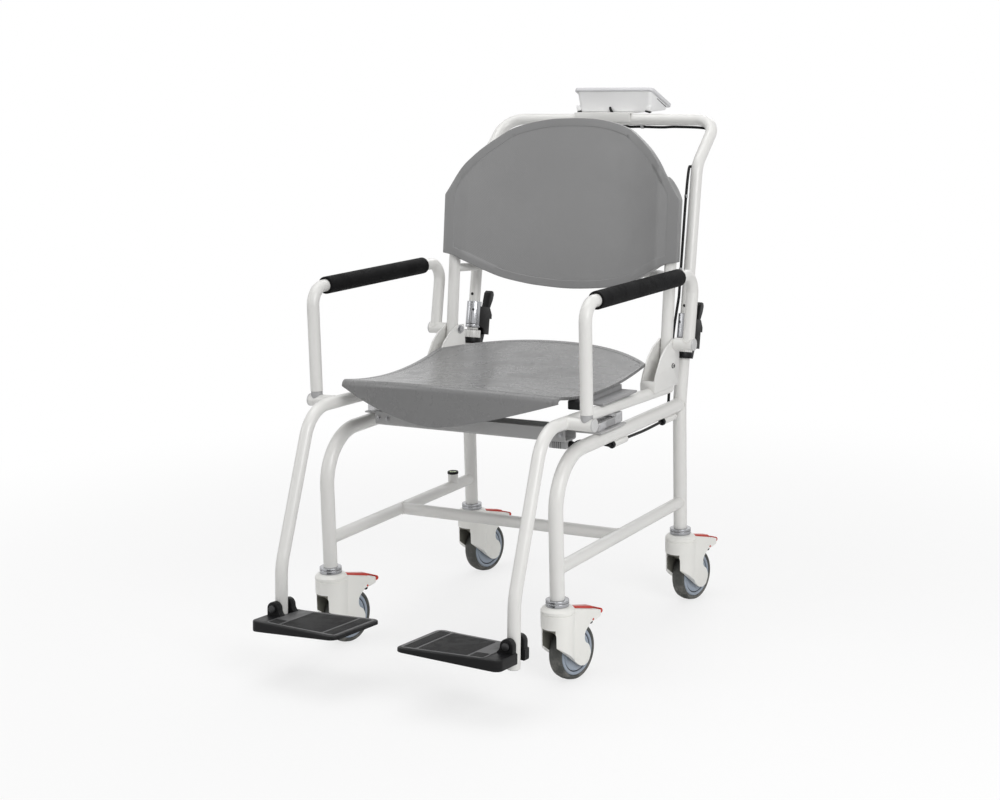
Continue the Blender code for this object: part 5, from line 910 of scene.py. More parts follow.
def caster_pedal_mesh():
    """Brake pedal with a ribbed toe tab."""
    outline = rounded(wheel_shares(PEDAL_OUTLINE_SHARES), 0.0022, True, math.radians(20.0))
    plate = side_slab(outline, PEDAL_WIDTH, 0, 0.0009)
    toe_start = 2 * WHEEL_RADIUS * PEDAL_TIP_SHARE
    toe = [point for point in outline if point[0] > toe_start]
    ribs = block((PEDAL_TIP_WIDTH * 0.8, 0.0012, 0.0014), (0, 0, 0), 0.0004)
    start = Vector((0, 2 * WHEEL_RADIUS * 0.985, 2 * WHEEL_RADIUS * 1.107))
    rake = math.atan2(-0.040, 0.110)
    ribs = moved(ribs, Matrix.Translation(start) @ Matrix.Rotation(rake, 4, "X"))
    row = repeated(ribs, ROW_TREE, 4, (0, 0.0024, 0.0024 * math.tan(rake)))
    return joined([plate, side_slab(toe, PEDAL_TIP_WIDTH, 0, 0.0009), row])


def brake_pad():
    """Black pad under the pedal that comes down on the tread, wider where it is clear of the cheeks."""
    stem = rounded(wheel_shares(((0.64, 0.99), (0.665, 0.953), (0.735, 0.923), (0.765, 1.02), (0.70, 1.03))),
                   0.001, True)
    wedge = rounded(wheel_shares(((0.660, 0.950), (0.700, 0.916), (0.735, 0.894), (0.775, 0.905),
                                  (0.798, 0.954))),
                    0.0012, True)
    return joined([side_slab(stem, PEDAL_WIDTH + 0.0006), side_slab(wedge, 0.030, 0, 0.0006)])


def pedal_rivet():
    """Ends of the pin on which the pedal tips."""
    y, z = wheel_shares((PEDAL_PIN_SHARE,))[0]
    return disc(PEDAL_PIN_RADIUS, CHEEK_WIDTH + PIN_PROUD, (0, y, z), "X", 0.0002, 24)


def pedal_stops():
    """Red heads on the outer faces of the cheeks, behind the pedal's pin."""
    y, z = wheel_shares((PEDAL_STOP_SHARE,))[0]
    reach = CHEEK_WIDTH / 2 + PIN_PROUD / 2
    return joined([disc(PEDAL_STOP_RADIUS, PEDAL_STOP_THICKNESS, (sign * reach, y, z), "X", 0.0005, 24)
                   for sign in (-1, 1)])


def casters():
    hood = caster_hood()
    tyre = caster_tyre()
    hubs = joined([hub_side(1), hub_side(-1)])
    rings = joined([hub_groove_shade(1), hub_groove_shade(-1)])
    pedal = caster_pedal_mesh()
    pad = brake_pad()
    shade_sheet = wheel_room_shade_sheet(hood)
    axle = disc(0.0040, CHEEK_WIDTH + PIN_PROUD, (0, CASTER_TRAIL, WHEEL_RADIUS), "X", 0.0002)
    rivet = pedal_rivet()
    foot = CAP_TOP
    corners = [(0, LEG_FOOT_HEIGHT - 0.0012), (LEG_RADIUS + 0.0012, LEG_FOOT_HEIGHT),
               (COLLAR_RADIUS, LEG_FOOT_HEIGHT), (COLLAR_RADIUS, foot + 0.0075),
               (COLLAR_RADIUS - 0.0008, foot + 0.007),
               (COLLAR_RADIUS, foot + 0.0065), (COLLAR_RADIUS, foot + GAP), (0, foot + GAP)]
    collar = turned(rounded(corners, 0.0008, False, math.radians(30.0)))
    # A dark band set in the collar's groove: painted shade of the groove.
    inner = COLLAR_RADIUS - COLLAR_GROOVE_DEPTH
    outer = COLLAR_RADIUS - COLLAR_GROOVE_INSET
    groove = turned([(inner, foot + COLLAR_GROOVE_TOP), (outer, foot + COLLAR_GROOVE_TOP),
                     (outer, foot + COLLAR_GROOVE_FOOT), (inner, foot + COLLAR_GROOVE_FOOT)])
    hub_centre = Matrix.Translation((0, CASTER_TRAIL, WHEEL_RADIUS))
    places = (("front_left", -1, 0), ("front_right", 1, 0), ("rear_left", -1, WHEELBASE),
              ("rear_right", 1, WHEELBASE))
    for side, x_sign, y in places:
        under_leg = Matrix.Translation((x_sign * SIDE_X, y, 0))
        stand = under_leg @ Matrix.Rotation(-CASTER_TURN, 4, "Z")
        dress("caster_hood_" + side, moved(hood, stand), "caster_" + side, CASTER_NYLON,
              ("caster_housing_" + side,))
        dress("tyre_" + side, moved(tyre, stand @ hub_centre), "wheel_" + side, TYRE_RUBBER,
              ("caster_wheel_" + side,))
        dress("hub_cover_" + side, moved(hubs, stand @ hub_centre), "wheel_" + side, HUB_PLASTIC)
        # painted shade in the hub covers' grooves
        dress("hub_groove_" + side, moved(rings, stand @ hub_centre), "wheel_" + side, GROOVE_PAINTED_SHADE)
        dress("brake_pedal_" + side, moved(pedal, stand), "pedal_" + side, PEDAL_NYLON,
              ("caster_pedal_" + side,))
        dress("brake_pad_" + side, moved(pad, stand), "pedal_" + side, RUBBER)
        # painted shade on the hood's faces round the wheel
        dress("wheel_room_shade_sheet_" + side, moved(shade_sheet, stand), "caster_" + side, ROOM_PAINTED_SHADE)
        dress("caster_axle_" + side, moved(axle, stand), "caster_" + side, CASTER_NYLON)
        dress("pedal_rivet_" + side, moved(rivet, stand), "caster_" + side, CASTER_NYLON)
        dress("pedal_stops_" + side, moved(pedal_stops(), stand), "caster_" + side, PEDAL_NYLON)
        # painted shade in the collar's groove
        dress("collar_groove_shade_" + side, moved(groove, under_leg), "root", DARK_STEEL)
        dress("caster_collar_" + side, moved(collar, under_leg), "root", CHROME)


# Main frame

X_AXIS = Vector((1, 0, 0))
Y_AXIS = Vector((0, 1, 0))
Z_AXIS = Vector((0, 0, 1))


def main_frame():
    for side, x_sign in SIDES:
        x = x_sign * SIDE_X
        leg = bar(rounded([(x, 0, LEG_FOOT_HEIGHT), (x, 0, UPPER_RAIL_HEIGHT),
                           (x, WHEELBASE - LEG_RADIUS / 2, UPPER_RAIL_HEIGHT)], FRONT_BEND), LEG_RADIUS)
        post = bar(rounded([(x, WHEELBASE, LEG_FOOT_HEIGHT), (x, WHEELBASE, UPPER_RAIL_HEIGHT),
                            (x, post_y(HINGE_HEIGHT), HINGE_HEIGHT)], POST_BEND), LEG_RADIUS)
        dress("front_leg_tube_" + side, leg, "root", POWDER_COAT, ("front_leg_" + side,))
        dress("rear_post_tube_" + side, post, "root", POWDER_COAT, ("rear_post_" + side,))
        beads = [weld((x, 0, LOWER_RAIL_HEIGHT), Z_AXIS, Y_AXIS, LEG_RADIUS, TUBE_RADIUS),
                 weld((x, WHEELBASE, LOWER_RAIL_HEIGHT), Z_AXIS, -Y_AXIS, LEG_RADIUS, TUBE_RADIUS),
                 weld((x, WHEELBASE, UPPER_RAIL_HEIGHT), Z_AXIS, -Y_AXIS, LEG_RADIUS, LEG_RADIUS * 0.98),
                 weld((x, CROSS_TUBE_Y, LOWER_RAIL_HEIGHT), Y_AXIS, -x_sign * X_AXIS, TUBE_RADIUS,
                      TUBE_RADIUS * 0.98)]
        dress("frame_welds_" + side, joined(beads), "root", WELD_COAT)
    rails = [bar([(x_sign * SIDE_X, LEG_RADIUS / 2, LOWER_RAIL_HEIGHT),
                  (x_sign * SIDE_X, WHEELBASE - LEG_RADIUS / 2, LOWER_RAIL_HEIGHT)], TUBE_RADIUS)
             for side, x_sign in SIDES]
    half = SIDE_X - TUBE_RADIUS / 2
    rails.append(bar([(-half, CROSS_TUBE_Y, LOWER_RAIL_HEIGHT), (half, CROSS_TUBE_Y, LOWER_RAIL_HEIGHT)],
                     TUBE_RADIUS))
    dress("lower_rails", joined(rails), "root", POWDER_COAT, ("lower_frame",))


def hex_bolt(radius, height, matrix):
    """A hexagon head on its washer, standing on the matrix's XY plane."""
    head = turned(rounded([(0, height), (radius * 0.82, height), (radius, height * 0.8), (radius, 0), (0, 0)],
                          0.0002), "Z", 6, (0, 0, 0.0012), 20.0)
    washer = disc(radius * 1.35, 0.0012, (0, 0, 0.0006), "Z", 0.0003)
    return moved(joined([head, washer]), matrix)


def cable_guides():
    """Two guide tubes under the right rail, each with a rubber grommet at its front end."""
    half = GUIDE_LENGTH / 2
    outer = [(GUIDE_BORE_RADIUS, half), (GUIDE_RADIUS, half), (GUIDE_RADIUS, -half),
             (GUIDE_BORE_RADIUS, -half)]
    tube = turned(rounded(outer, 0.0006, True, math.radians(30.0)), "Y", 40)
    lip = GROMMET_LENGTH
    ring = turned(rounded([(GUIDE_BORE_RADIUS - 0.001, -half + 0.001),
                           (GUIDE_RADIUS + 0.0006, -half + 0.0004),
                           (GUIDE_RADIUS + 0.0006, -half - lip * 0.5), (GUIDE_RADIUS - 0.001, -half - lip),
                           (GUIDE_BORE_RADIUS - 0.001, -half - lip)], 0.0008, True, math.radians(30.0)),
                  "Y", 40)
    places = [Matrix.Translation((SIDE_X, y, GUIDE_HEIGHT)) for y in (FRONT_GUIDE_Y, REAR_GUIDE_Y)]
    dress("cable_guides", joined([moved(tube, place) for place in places]), "root", POWDER_COAT)
    dress("cable_grommets", joined([moved(ring, place) for place in places]), "root", RUBBER)


CHANNEL_Y = 0.128
CHANNEL_DEPTH = 0.042
CHANNEL_HEIGHT = 0.025
CHANNEL_BOTTOM = 0.393
CONNECTOR_X = 0.175
CONNECTOR_LENGTH = 0.034
CONNECTOR_SIZE = 0.013
CONNECTOR_HEIGHT = CHANNEL_BOTTOM - GAP - CONNECTOR_SIZE / 2
CHANNEL_INSET = 0.037
LOAD_PLATE_REAR = 0.246
LOAD_PLATE_WIDTH = 0.060
RAIL_TOP = UPPER_RAIL_HEIGHT + LEG_RADIUS
LOAD_CELL_Y = 0.196


def cross_channel():
    """Folded channel with rounded folds, the dark plates on the rails and their bolts."""
    low = CHANNEL_BOTTOM
    high = CHANNEL_BOTTOM + CHANNEL_HEIGHT
    front = CHANNEL_Y - CHANNEL_DEPTH / 2
    rear = CHANNEL_Y + CHANNEL_DEPTH / 2
    outline = [(front, low), (rear, low), (rear, high), (rear - WALL, high), (rear - WALL, low + WALL),
               (front + WALL, low + WALL), (front + WALL, high), (front, high)]
    radii = [0.0045, 0.0045, 0.0008, 0.0008, 0.0015, 0.0015, 0.0008, 0.0008]
    width = TRACK - 2 * CHANNEL_INSET
    channel = side_slab(rounded(outline, radii, True, math.radians(15.0)), width)
    dress("folded_channel", channel, "root", CHANNEL_PAINT, ("cross_channel",))
    plates = []
    bolts = []
    start = rear - WALL / 2
    length = LOAD_PLATE_REAR - start
    reach = SIDE_X + LEG_RADIUS - LOAD_PLATE_WIDTH / 2
    for x_sign in (-1, 1):
        plates.append(block((LOAD_PLATE_WIDTH, length, WALL),
                            (x_sign * reach, start + length / 2, RAIL_TOP + GAP + WALL / 2), 0.0006))
        for share in (0.16, 0.34):
            bolts.append(hex_bolt(0.0050, 0.0035, Matrix.Translation(
                (x_sign * (reach - LOAD_PLATE_WIDTH * 0.36), start + length * share, RAIL_TOP + GAP + WALL))))
        turn = Matrix.Rotation(math.pi / 2, 4, "X")
        for inset in (0.008, 0.026):
            spot = (x_sign * (width / 2 - inset), front - GAP, low + CHANNEL_HEIGHT * 0.52)
            bolts.append(hex_bolt(0.0034, 0.0022, Matrix.Translation(spot) @ turn))
    dress("load_plates", joined(plates), "root", CHANNEL_PAINT)
    dress("load_plate_bolts", joined(bolts), "root", STEEL)


def load_cells():
    for side, x_sign in SIDES:
        dress("load_beam_" + side, refined("load_cell_" + side, 0.0005), "root", ALUMINIUM,
              ("load_cell_" + side,))
        x = x_sign * (SIDE_X - TUBE_RADIUS / 2)
        seal = block((0.0262, 0.034, 0.0116), (x, LOAD_CELL_Y, RAIL_TOP + GAP * 2 + WALL + 0.0085), 0.0012)
        dress("load_beam_seal_" + side, seal, "root", MOUNT_GREY)


def junction():
    """Plug under the channel, with its collar nut and moulded ribs."""
    body = block((CONNECTOR_LENGTH, CONNECTOR_SIZE * 2, CONNECTOR_SIZE),
                 (CONNECTOR_X, CHANNEL_Y, CONNECTOR_HEIGHT), 0.0018)
    rib = block((0.0012, CONNECTOR_SIZE * 2 + 0.0006, CONNECTOR_SIZE * 0.96),
                (CONNECTOR_X - CONNECTOR_LENGTH * 0.25, CHANNEL_Y, CONNECTOR_HEIGHT - 0.0002), 0.0005)
    row = repeated(rib, ROW_TREE, 5, (CONNECTOR_LENGTH * 0.11, 0, 0))
    dress("junction_plug", body, "root", PAD_GREY, ("junction_connector",))
    nut = disc(CONNECTOR_SIZE * 0.46, 0.008, (CONNECTOR_X + CONNECTOR_LENGTH / 2 + 0.003, CHANNEL_Y,
                                              CONNECTOR_HEIGHT), "X",
               0.0010)
    dress("junction_ribs", joined([nut, row]), "root", HINGE_PLASTIC)


def level():
    """White stub on the left rail with the level's vial in a black ring."""
    base = LOWER_RAIL_HEIGHT
    top = LOWER_RAIL_HEIGHT + TUBE_RADIUS + 0.019
    centre = (-SIDE_X, 0.432, 0)
    stub = turned(rounded([(0, top - 0.0045), (0.0100, top - 0.0045), (0.0100, base), (0, base)], 0.0006),
                  "Z", 48, centre)
    ring = turned(rounded([(0.0078, top), (0.0108, top - 0.0002), (0.0110, top - 0.0052),
                           (0.0078, top - 0.0052)],
                          0.0007, True, math.radians(30.0)), "Z", 48, centre)
    vial = turned(rounded([(0, top - 0.0006), (0.0060, top - 0.0008), (0.0080, top - 0.0018),
                           (0.0080, top - 0.0050), (0, top - 0.0050)], 0.0010), "Z", 48, centre)
    bubble = turned([(0, top - 0.0002), (0.0014, top - 0.0003), (0.0022, top - 0.0008), (0, top - 0.0010)],
                    "Z", 24, (centre[0] + 0.0008, centre[1] + 0.0005, 0))
    mark = turned([(0.0031, top - 0.0004), (0.0034, top - 0.0004), (0.0034, top - 0.0009),
                   (0.0031, top - 0.0009)],
                  "Z", 40, centre)
    dress("level_stub", stub, "root", POWDER_COAT, ("level_holder",))
    dress("level_ring", joined([ring, mark]), "root", HINGE_PLASTIC)
    dress("level_vial", vial, "root", LEVEL_FLUID)
    dress("level_bubble", bubble, "root", ICON_INK)


# Weighed frame

def hanger_path(x):
    return rounded([(x, SEAT_TUBE_END, seat_tube_z(SEAT_TUBE_END)),
                    (x, -HANGER_TOP_REACH, seat_tube_z(-HANGER_TOP_REACH)),
                    (x, -HANGER_KNEE_REACH, HANGER_KNEE_HEIGHT), (x, -HANGER_FOOT_REACH, HANGER_FOOT_HEIGHT)],
                   [0, HANGER_BEND, HANGER_KNEE_BEND, 0])


def hangers():
    for side, x_sign in SIDES:
        x = x_sign * SIDE_X
        outer = x_sign * (SIDE_X + STUB_LENGTH)
        stub = bar([(x + x_sign * TUBE_RADIUS / 2, ARM_FRONT_Y, STUB_HEIGHT),
                    (outer - x_sign * 0.004, ARM_FRONT_Y, STUB_HEIGHT)], TUBE_RADIUS)
        dress("hanger_tube_" + side, joined([bar(hanger_path(x), TUBE_RADIUS), stub]), "root", POWDER_COAT,
              ("hanger_" + side,))
        bead = weld((x, ARM_FRONT_Y, STUB_HEIGHT), Y_AXIS, x_sign * X_AXIS, TUBE_RADIUS, TUBE_RADIUS * 0.98)
        dress("stub_weld_" + side, bead, "root", WELD_COAT)
        cap = disc(TUBE_RADIUS + 0.0002, 0.0044, (outer - x_sign * 0.0022, ARM_FRONT_Y, STUB_HEIGHT), "X",
                   0.0014)
        dress("stub_cap_" + side, cap, "root", CAP_GREY)
        foot = Matrix.Translation((x, -HANGER_FOOT_REACH,
                                   HANGER_FOOT_HEIGHT)) @ Matrix.Rotation(-FOOT_PITCH, 4, "X")
        plug = moved(disc(TUBE_RADIUS - 0.0004, 0.0036, (0, 0, 0.0010), "Z", 0.0012), foot)
        dress("hanger_plug_" + side, plug, "root", HINGE_PLASTIC)
        dress("rest_pad_" + side, refined("bumper_" + side, 0.0008), "root", PAD_GREY, ("bumper_" + side,))


def brackets():
    for side, x_sign in SIDES:
        dress("arm_bracket_" + side, refined("armrest_bracket_" + side, 0.0006), "root", POWDER_COAT,
              ("armrest_bracket_" + side,))
        height = ARM_PIVOT_HEIGHT - 0.040
        heads = []
        for sign in (-1, 1):
            turn = Matrix.Rotation(sign * math.pi / 2, 4, "Y")
            spot = (x_sign * SIDE_X + sign * (TUBE_RADIUS + GAP + WALL), back_y(height), height)
            heads.append(hex_bolt(0.0036, 0.0026, Matrix.Translation(spot) @ turn))
        dress("arm_bracket_bolts_" + side, joined(heads), "root", DARK_STEEL)


def armrests():
    for side, x_sign in SIDES:
        x = x_sign * ARM_X
        body = "armrest_" + side
        foot = STUB_HEIGHT + TUBE_RADIUS + BUMPER_HEIGHT + GAP
        path = rounded([(x, ARM_FRONT_Y, foot), (x, ARM_FRONT_Y, ARM_FRONT_HEIGHT),
                        (x, ARM_REAR_Y, ARM_REAR_HEIGHT), (x, ARM_PIVOT_Y, ARM_PIVOT_HEIGHT)], ARM_BEND)
        inner = x_sign * (SIDE_X + TUBE_RADIUS + 2 * GAP + WALL)
        barrel = bar([(inner, ARM_PIVOT_Y, ARM_PIVOT_HEIGHT),
                      (x_sign * (ARM_CAP_X - 0.003), ARM_PIVOT_Y, ARM_PIVOT_HEIGHT)], TUBE_RADIUS)
        dress("armrest_tube_" + side, joined([bar(path, TUBE_RADIUS), barrel]), body, POWDER_COAT,
              ("armrest_" + side,))
        rise = Vector((0, ARM_REAR_Y - ARM_PIVOT_Y, ARM_REAR_HEIGHT - ARM_PIVOT_HEIGHT)).normalized()
        dress("armrest_weld_" + side,
              weld((x, ARM_PIVOT_Y, ARM_PIVOT_HEIGHT), X_AXIS, rise, TUBE_RADIUS, TUBE_RADIUS * 0.98), body,
              WELD_COAT)
        cap = disc(TUBE_RADIUS + 0.0002, 0.0034,
                   (x_sign * (ARM_CAP_X - 0.0017), ARM_PIVOT_Y, ARM_PIVOT_HEIGHT), "X", 0.0012)
        dress("armrest_cap_" + side, cap, body, CAP_GREY)
        nut_face = x_sign * (SIDE_X - TUBE_RADIUS - GAP - WALL)
        turn = Matrix.Rotation(-x_sign * math.pi / 2, 4, "Y")
        nut = hex_bolt(0.0065, 0.0048, Matrix.Translation((nut_face, ARM_PIVOT_Y, ARM_PIVOT_HEIGHT)) @ turn)
        dress("armrest_nut_" + side, nut, body, STEEL)
        dress("grip_" + side, grip_mesh(x), body, GRIP_FOAM, ("armrest_grip_" + side,))


def grip_mesh(x):
    """Foam sleeve with soft ends and a slight swell along its length."""
    slope = math.atan((ARM_FRONT_HEIGHT - ARM_REAR_HEIGHT) / (ARM_REAR_Y - ARM_FRONT_Y))
    half = (GRIP_END - GRIP_START) / 2
    middle = (GRIP_END + GRIP_START) / 2
    height = ARM_FRONT_HEIGHT - math.tan(slope) * (middle - ARM_FRONT_Y)
    corners = [(TUBE_RADIUS + GAP, half), (GRIP_RADIUS, half), (GRIP_RADIUS, -half),
               (TUBE_RADIUS + GAP, -half)]
    profile = rounded(corners, [0.001, 0.0028, 0.0028, 0.001], True, math.radians(15.0))
    place = Matrix.Translation((x, middle, height)) @ Matrix.Rotation(-slope, 4, "X")
    return moved(turned(profile, "Y", 48), place)


BACK_CROSS_SHARES = ((1.0, 0.0), (0.88, 0.52), (0.77, 0.76), (0.45, 0.95), (0.0, 1.0))


def smooth_route(points, spacing):
    """Points along a smooth curve through a route's own points."""
    route = [Vector(point) for point in points]
    route = [route[0] * 2 - route[1]] + route + [route[-1] * 2 - route[-2]]
    path = []
    for index in range(1, len(route) - 2):
        before, start, end, after = route[index - 1:index + 3]
        steps = max(1, round((end - start).length / spacing))
        for number in range(steps):
            t = number / steps
            path.append(0.5 * ((2 * start) + (end - before) * t
                               + (2 * before - 5 * start + 4 * end - after) * t * t
                               + (3 * start - before - 3 * end + after) * t ** 3))
    path.append(route[-2])
    return path


def back_tube_path(x, foot=BACK_TUBE_FOOT, top=BACK_TUBE_TOP):
    return [Vector((x, back_y(foot), foot)), Vector((x, back_y(top), top))]


def backrest_frame():
    tubes = [bar(back_tube_path(x_sign * SIDE_X), TUBE_RADIUS) for x_sign in (-1, 1)]
    half = [(SIDE_X * across, back_y(BACK_CROSS_HEIGHT) + BACK_CROSS_BOW * bow, BACK_CROSS_HEIGHT)
            for across, bow in BACK_CROSS_SHARES]
    route = half + [(-x, y, z) for x, y, z in half[-2::-1]]
    tubes.append(bar(smooth_route(route, 0.008), BACK_CROSS_RADIUS, 24))
    dress("backrest_tubes", joined(tubes), "root", POWDER_COAT, ("backrest_frame",))


def between(table, value):
    """A share read from a table, smoothly between its rows."""
    for index in range(len(table) - 1):
        if value <= table[index + 1][0]:
            low, high = table[index], table[index + 1]
            t = (value - low[0]) / (high[0] - low[0])
            span = high[0] - low[0]
            slopes = []
            for spot in (index, index + 1):
                first = table[max(spot - 1, 0)]
                last = table[min(spot + 1, len(table) - 1)]
                slopes.append(0.0 if spot == 0 else (last[1] - first[1]) / (last[0] - first[0]))
            return ((2 * t ** 3 - 3 * t ** 2 + 1) * low[1] + (t ** 3 - 2 * t ** 2 + t) * span * slopes[0]
                    + (3 * t ** 2 - 2 * t ** 3) * high[1] + (t ** 3 - t ** 2) * span * slopes[1])
    return table[-1][1]


BACK_TOP_SHARES = (
    (0.0, 0.0), (0.12, 0.004), (0.22, 0.017), (0.36, 0.059), (0.50, 0.131), (0.60, 0.237), (0.72, 0.390),
    (0.80, 0.525), (0.87, 0.665), (0.92, 0.790), (0.96, 0.900), (1.0, 1.0))
BACK_FOOT_SHARES = (
    (0.0, 0.0), (0.26, 0.060), (0.40, 0.145), (0.55, 0.290), (0.68, 0.505), (0.79, 0.725), (0.90, 0.925),
    (1.0, 1.0))


def net(rows, dotted):
    """An open surface over rows of points, and how far each point lies inside the dotted field."""
    across = len(rows[0])
    spots = [point for row in rows for point in row]
    faces = [(first, first + 1, first + 1 + across, first + across)
             for row in range(len(rows) - 1) for first in range(row * across, (row + 1) * across - 1)]
    mesh = bpy.data.meshes.new("net")
    mesh.from_pydata(spots, [], faces)
    field = mesh.attributes.new("dotted", "FLOAT", "POINT")
    field.data.foreach_set("value", [share for row in dotted for share in row])
    return mesh


def line_distances(border):
    """How far the lines of a net lie from its edge: close together where the border steps down."""
    return [0.0, border * 0.25, border * 0.6, border - 0.00025, border + 0.00025, border + 0.004]


def lines_across(half_width, border, middle_count):
    """Where the lines of a net cross its width, for -1 to 1."""
    near = [1 - distance / half_width for distance in line_distances(border)]
    last = near[-1]
    middle = [last * (1 - 2 * number / middle_count) for number in range(1, middle_count)]
    return [-share for share in near] + middle[::-1] + near[::-1]


def border_drop(distance, border):
    """Share of the step that a point has taken, by how far inside the border's line it lies."""
    return min(1.0, max(0.0, (distance - border + 0.00025) / 0.0005))


def walled(mesh, thickness, edge, rim=None, rim_reach=0.02):
    """A surface given its wall, thicker towards its border when rim is given, with rounded rims."""
    item = linked("walled", mesh)
    solidify = item.modifiers.new("wall", "SOLIDIFY")
    solidify.thickness = rim or thickness
    solidify.offset = -1.0
    solidify.use_even_offset = True
    if rim:
        work = bmesh.new()
        work.from_mesh(mesh)
        border = [vertex.co.copy() for vertex in work.verts if vertex.is_boundary]
        work.free()
        group = item.vertex_groups.new(name="rim")
        for vertex in mesh.vertices:
            near = min((vertex.co - spot).length for spot in border)
            t = min(1.0, near / rim_reach)
            group.add([vertex.index], 1 - t * t * (3 - 2 * t), "REPLACE")
        solidify.vertex_group = "rim"
        solidify.thickness_vertex_group = thickness / rim
    bevel = item.modifiers.new("edge", "BEVEL")
    bevel.width = edge
    bevel.segments = 3
    bevel.limit_method = "ANGLE"
    bevel.angle_limit = math.radians(50.0)
    return evaluated(item, 40.0)


def back_edges(u):
    top = BACK_TOP - (BACK_TOP - BACK_SHOULDER) * between(BACK_TOP_SHARES, min(1.0, abs(u)))
    foot = BACK_CENTRE_FOOT + (BACK_CORNER_FOOT - BACK_CENTRE_FOOT) * between(BACK_FOOT_SHARES,
                                                                              min(1.0, abs(u)))
    return foot, top


def back_net():
    """Concave face of the backrest: its border, then one small step down to the dotted field."""
    rows = []
    dotted = []
    columns = lines_across(BACK_HALF_WIDTH, BACK_SIDE_BORDER, 56)
    near = line_distances(BACK_BORDER)
    middle_rows = 34
    stretches = []
    for u in columns:
        step = 0.01
        slopes = [(after - before) / (2 * step * BACK_HALF_WIDTH)
                  for before, after in zip(back_edges(abs(u) - step), back_edges(abs(u) + step))]
        stretches.append([math.hypot(1.0, slope) for slope in slopes])
    codes = [("foot", distance) for distance in near]
    codes += [("middle", number / middle_rows) for number in range(1, middle_rows)]
    codes += [("top", distance) for distance in near[::-1]]
    for kind, value in codes:
        row = []
        shares = []
        for u, (foot_stretch, top_stretch) in zip(columns, stretches):
            foot, top = back_edges(u)
            low = foot + near[-1] * foot_stretch
            high = top - near[-1] * top_stretch
            if kind == "foot":
                height = foot + value * foot_stretch
                inside = value
            elif kind == "top":
                height = top - value * top_stretch
                inside = value
            else:
                height = low + (high - low) * value
                inside = near[-1]
            aside = BACK_HALF_WIDTH * (1 - abs(u))
            share = min(border_drop(inside, BACK_BORDER), border_drop(aside, BACK_SIDE_BORDER))
            hollow = BACK_HOLLOW * (1 - min(1.0, abs(u) / 0.84) ** 2.2)
            row.append(Vector((u * BACK_HALF_WIDTH,
                               back_y(height) + hollow - BACK_SETBACK + share * BORDER_STEP, height)))
            shares.append(share)
        rows.append(row)
        dotted.append(shares)
    return net(rows, dotted)


def backrest_shell():
    """Concave back panel with a thicker rim, and sleeves over the tubes that end with the panel's top."""
    panel = walled(back_net(), BACK_RIM * 0.45, 0.0016, BACK_RIM, 0.014)
    sleeves = []
    reach = 0.025
    for x_sign in (-1, 1):
        foot, top = back_tube_path(x_sign * SIDE_X, BACK_SLEEVE_FOOT, BACK_SHOULDER + 0.040)
        length = (top - foot).length
        corners = [(TUBE_RADIUS, 0), (BACK_SLEEVE_RADIUS, 0), (BACK_SLEEVE_RADIUS, length), (0, length)]
        profile = rounded(corners, [0.0005, 0.0012, 0.001, 0], True, math.radians(15.0))
        stand = Matrix.Translation(foot) @ Matrix.Rotation(-math.atan(BACK_LEAN_SHARE), 4, "X")
        sleeve = moved(turned(profile + [(0, length - 0.045), (TUBE_RADIUS, length - 0.045)], "Z", 48), stand)
        xs = [SIDE_X - reach + 2 * reach * number / 12 for number in range(13)]
        over = [(x_sign * x, back_edges(x / BACK_HALF_WIDTH)[1] - 0.0085) for x in xs]
        over += [(x_sign * xs[-1], BACK_TOP), (x_sign * xs[0], BACK_TOP)]
        cutter = moved(slab(over, 0.2), Matrix.Translation((0, top.y, 0)) @ Matrix.Rotation(math.pi / 2, 4,
                                                                                            "X"))
        sleeves.append(shaped(sleeve, (cutter,), (), 0.0010, 40.0, 2))
    dress("back_shell", joined([panel] + sleeves), "root", SHELL_PLASTIC, ("backrest_shell",))


def seat_point(u, code, value):
    """A place on the seat's surface, and how far it lies from the front or rear edge."""
    edge = abs(u)
    front = SEAT_FRONT + SEAT_FRONT_BOW * edge ** 2
    rear = SEAT_REAR - SEAT_REAR_BOW * edge ** 2.58
    crest = SEAT_CORNER_HEIGHT + SEAT_FRONT_CROWN * (1 - edge ** 2)
    back = SEAT_CORNER_HEIGHT + SEAT_REAR_RISE + SEAT_REAR_CROWN * (1 - edge ** 2)
    lip_top = crest - SEAT_ROLL
    lip_foot = lip_top - (SEAT_LIP - SEAT_ROLL) * (1 - edge ** 1.4952)
    start = front + SEAT_ROLL
    x = u * SEAT_HALF_WIDTH
    if code == "lip":
        inside = value * (lip_top - lip_foot)
        return Vector((x, front, lip_foot + inside)), inside
    if code == "roll":
        turn = value * math.pi / 2
        return Vector((x, front + SEAT_ROLL * (1 - math.cos(turn)),
                       lip_top + SEAT_ROLL * math.sin(turn))), 0.02
    if code == "rear":
        t = 1 - value / (rear - start)
        inside = value
    else:
        t = value * (1 - line_distances(SEAT_BORDER)[-1] / (rear - start))
        inside = 0.02
    dish = SEAT_DISH * (1 - SEAT_EDGE_HOLD * edge ** 2) * 4 * t * (1 - t)
    height = crest + (back - crest) * t ** 1.4354 - dish
    return Vector((x + u * SEAT_REAR_FLARE * t ** 2.74, start + (rear - start) * t, height)), inside


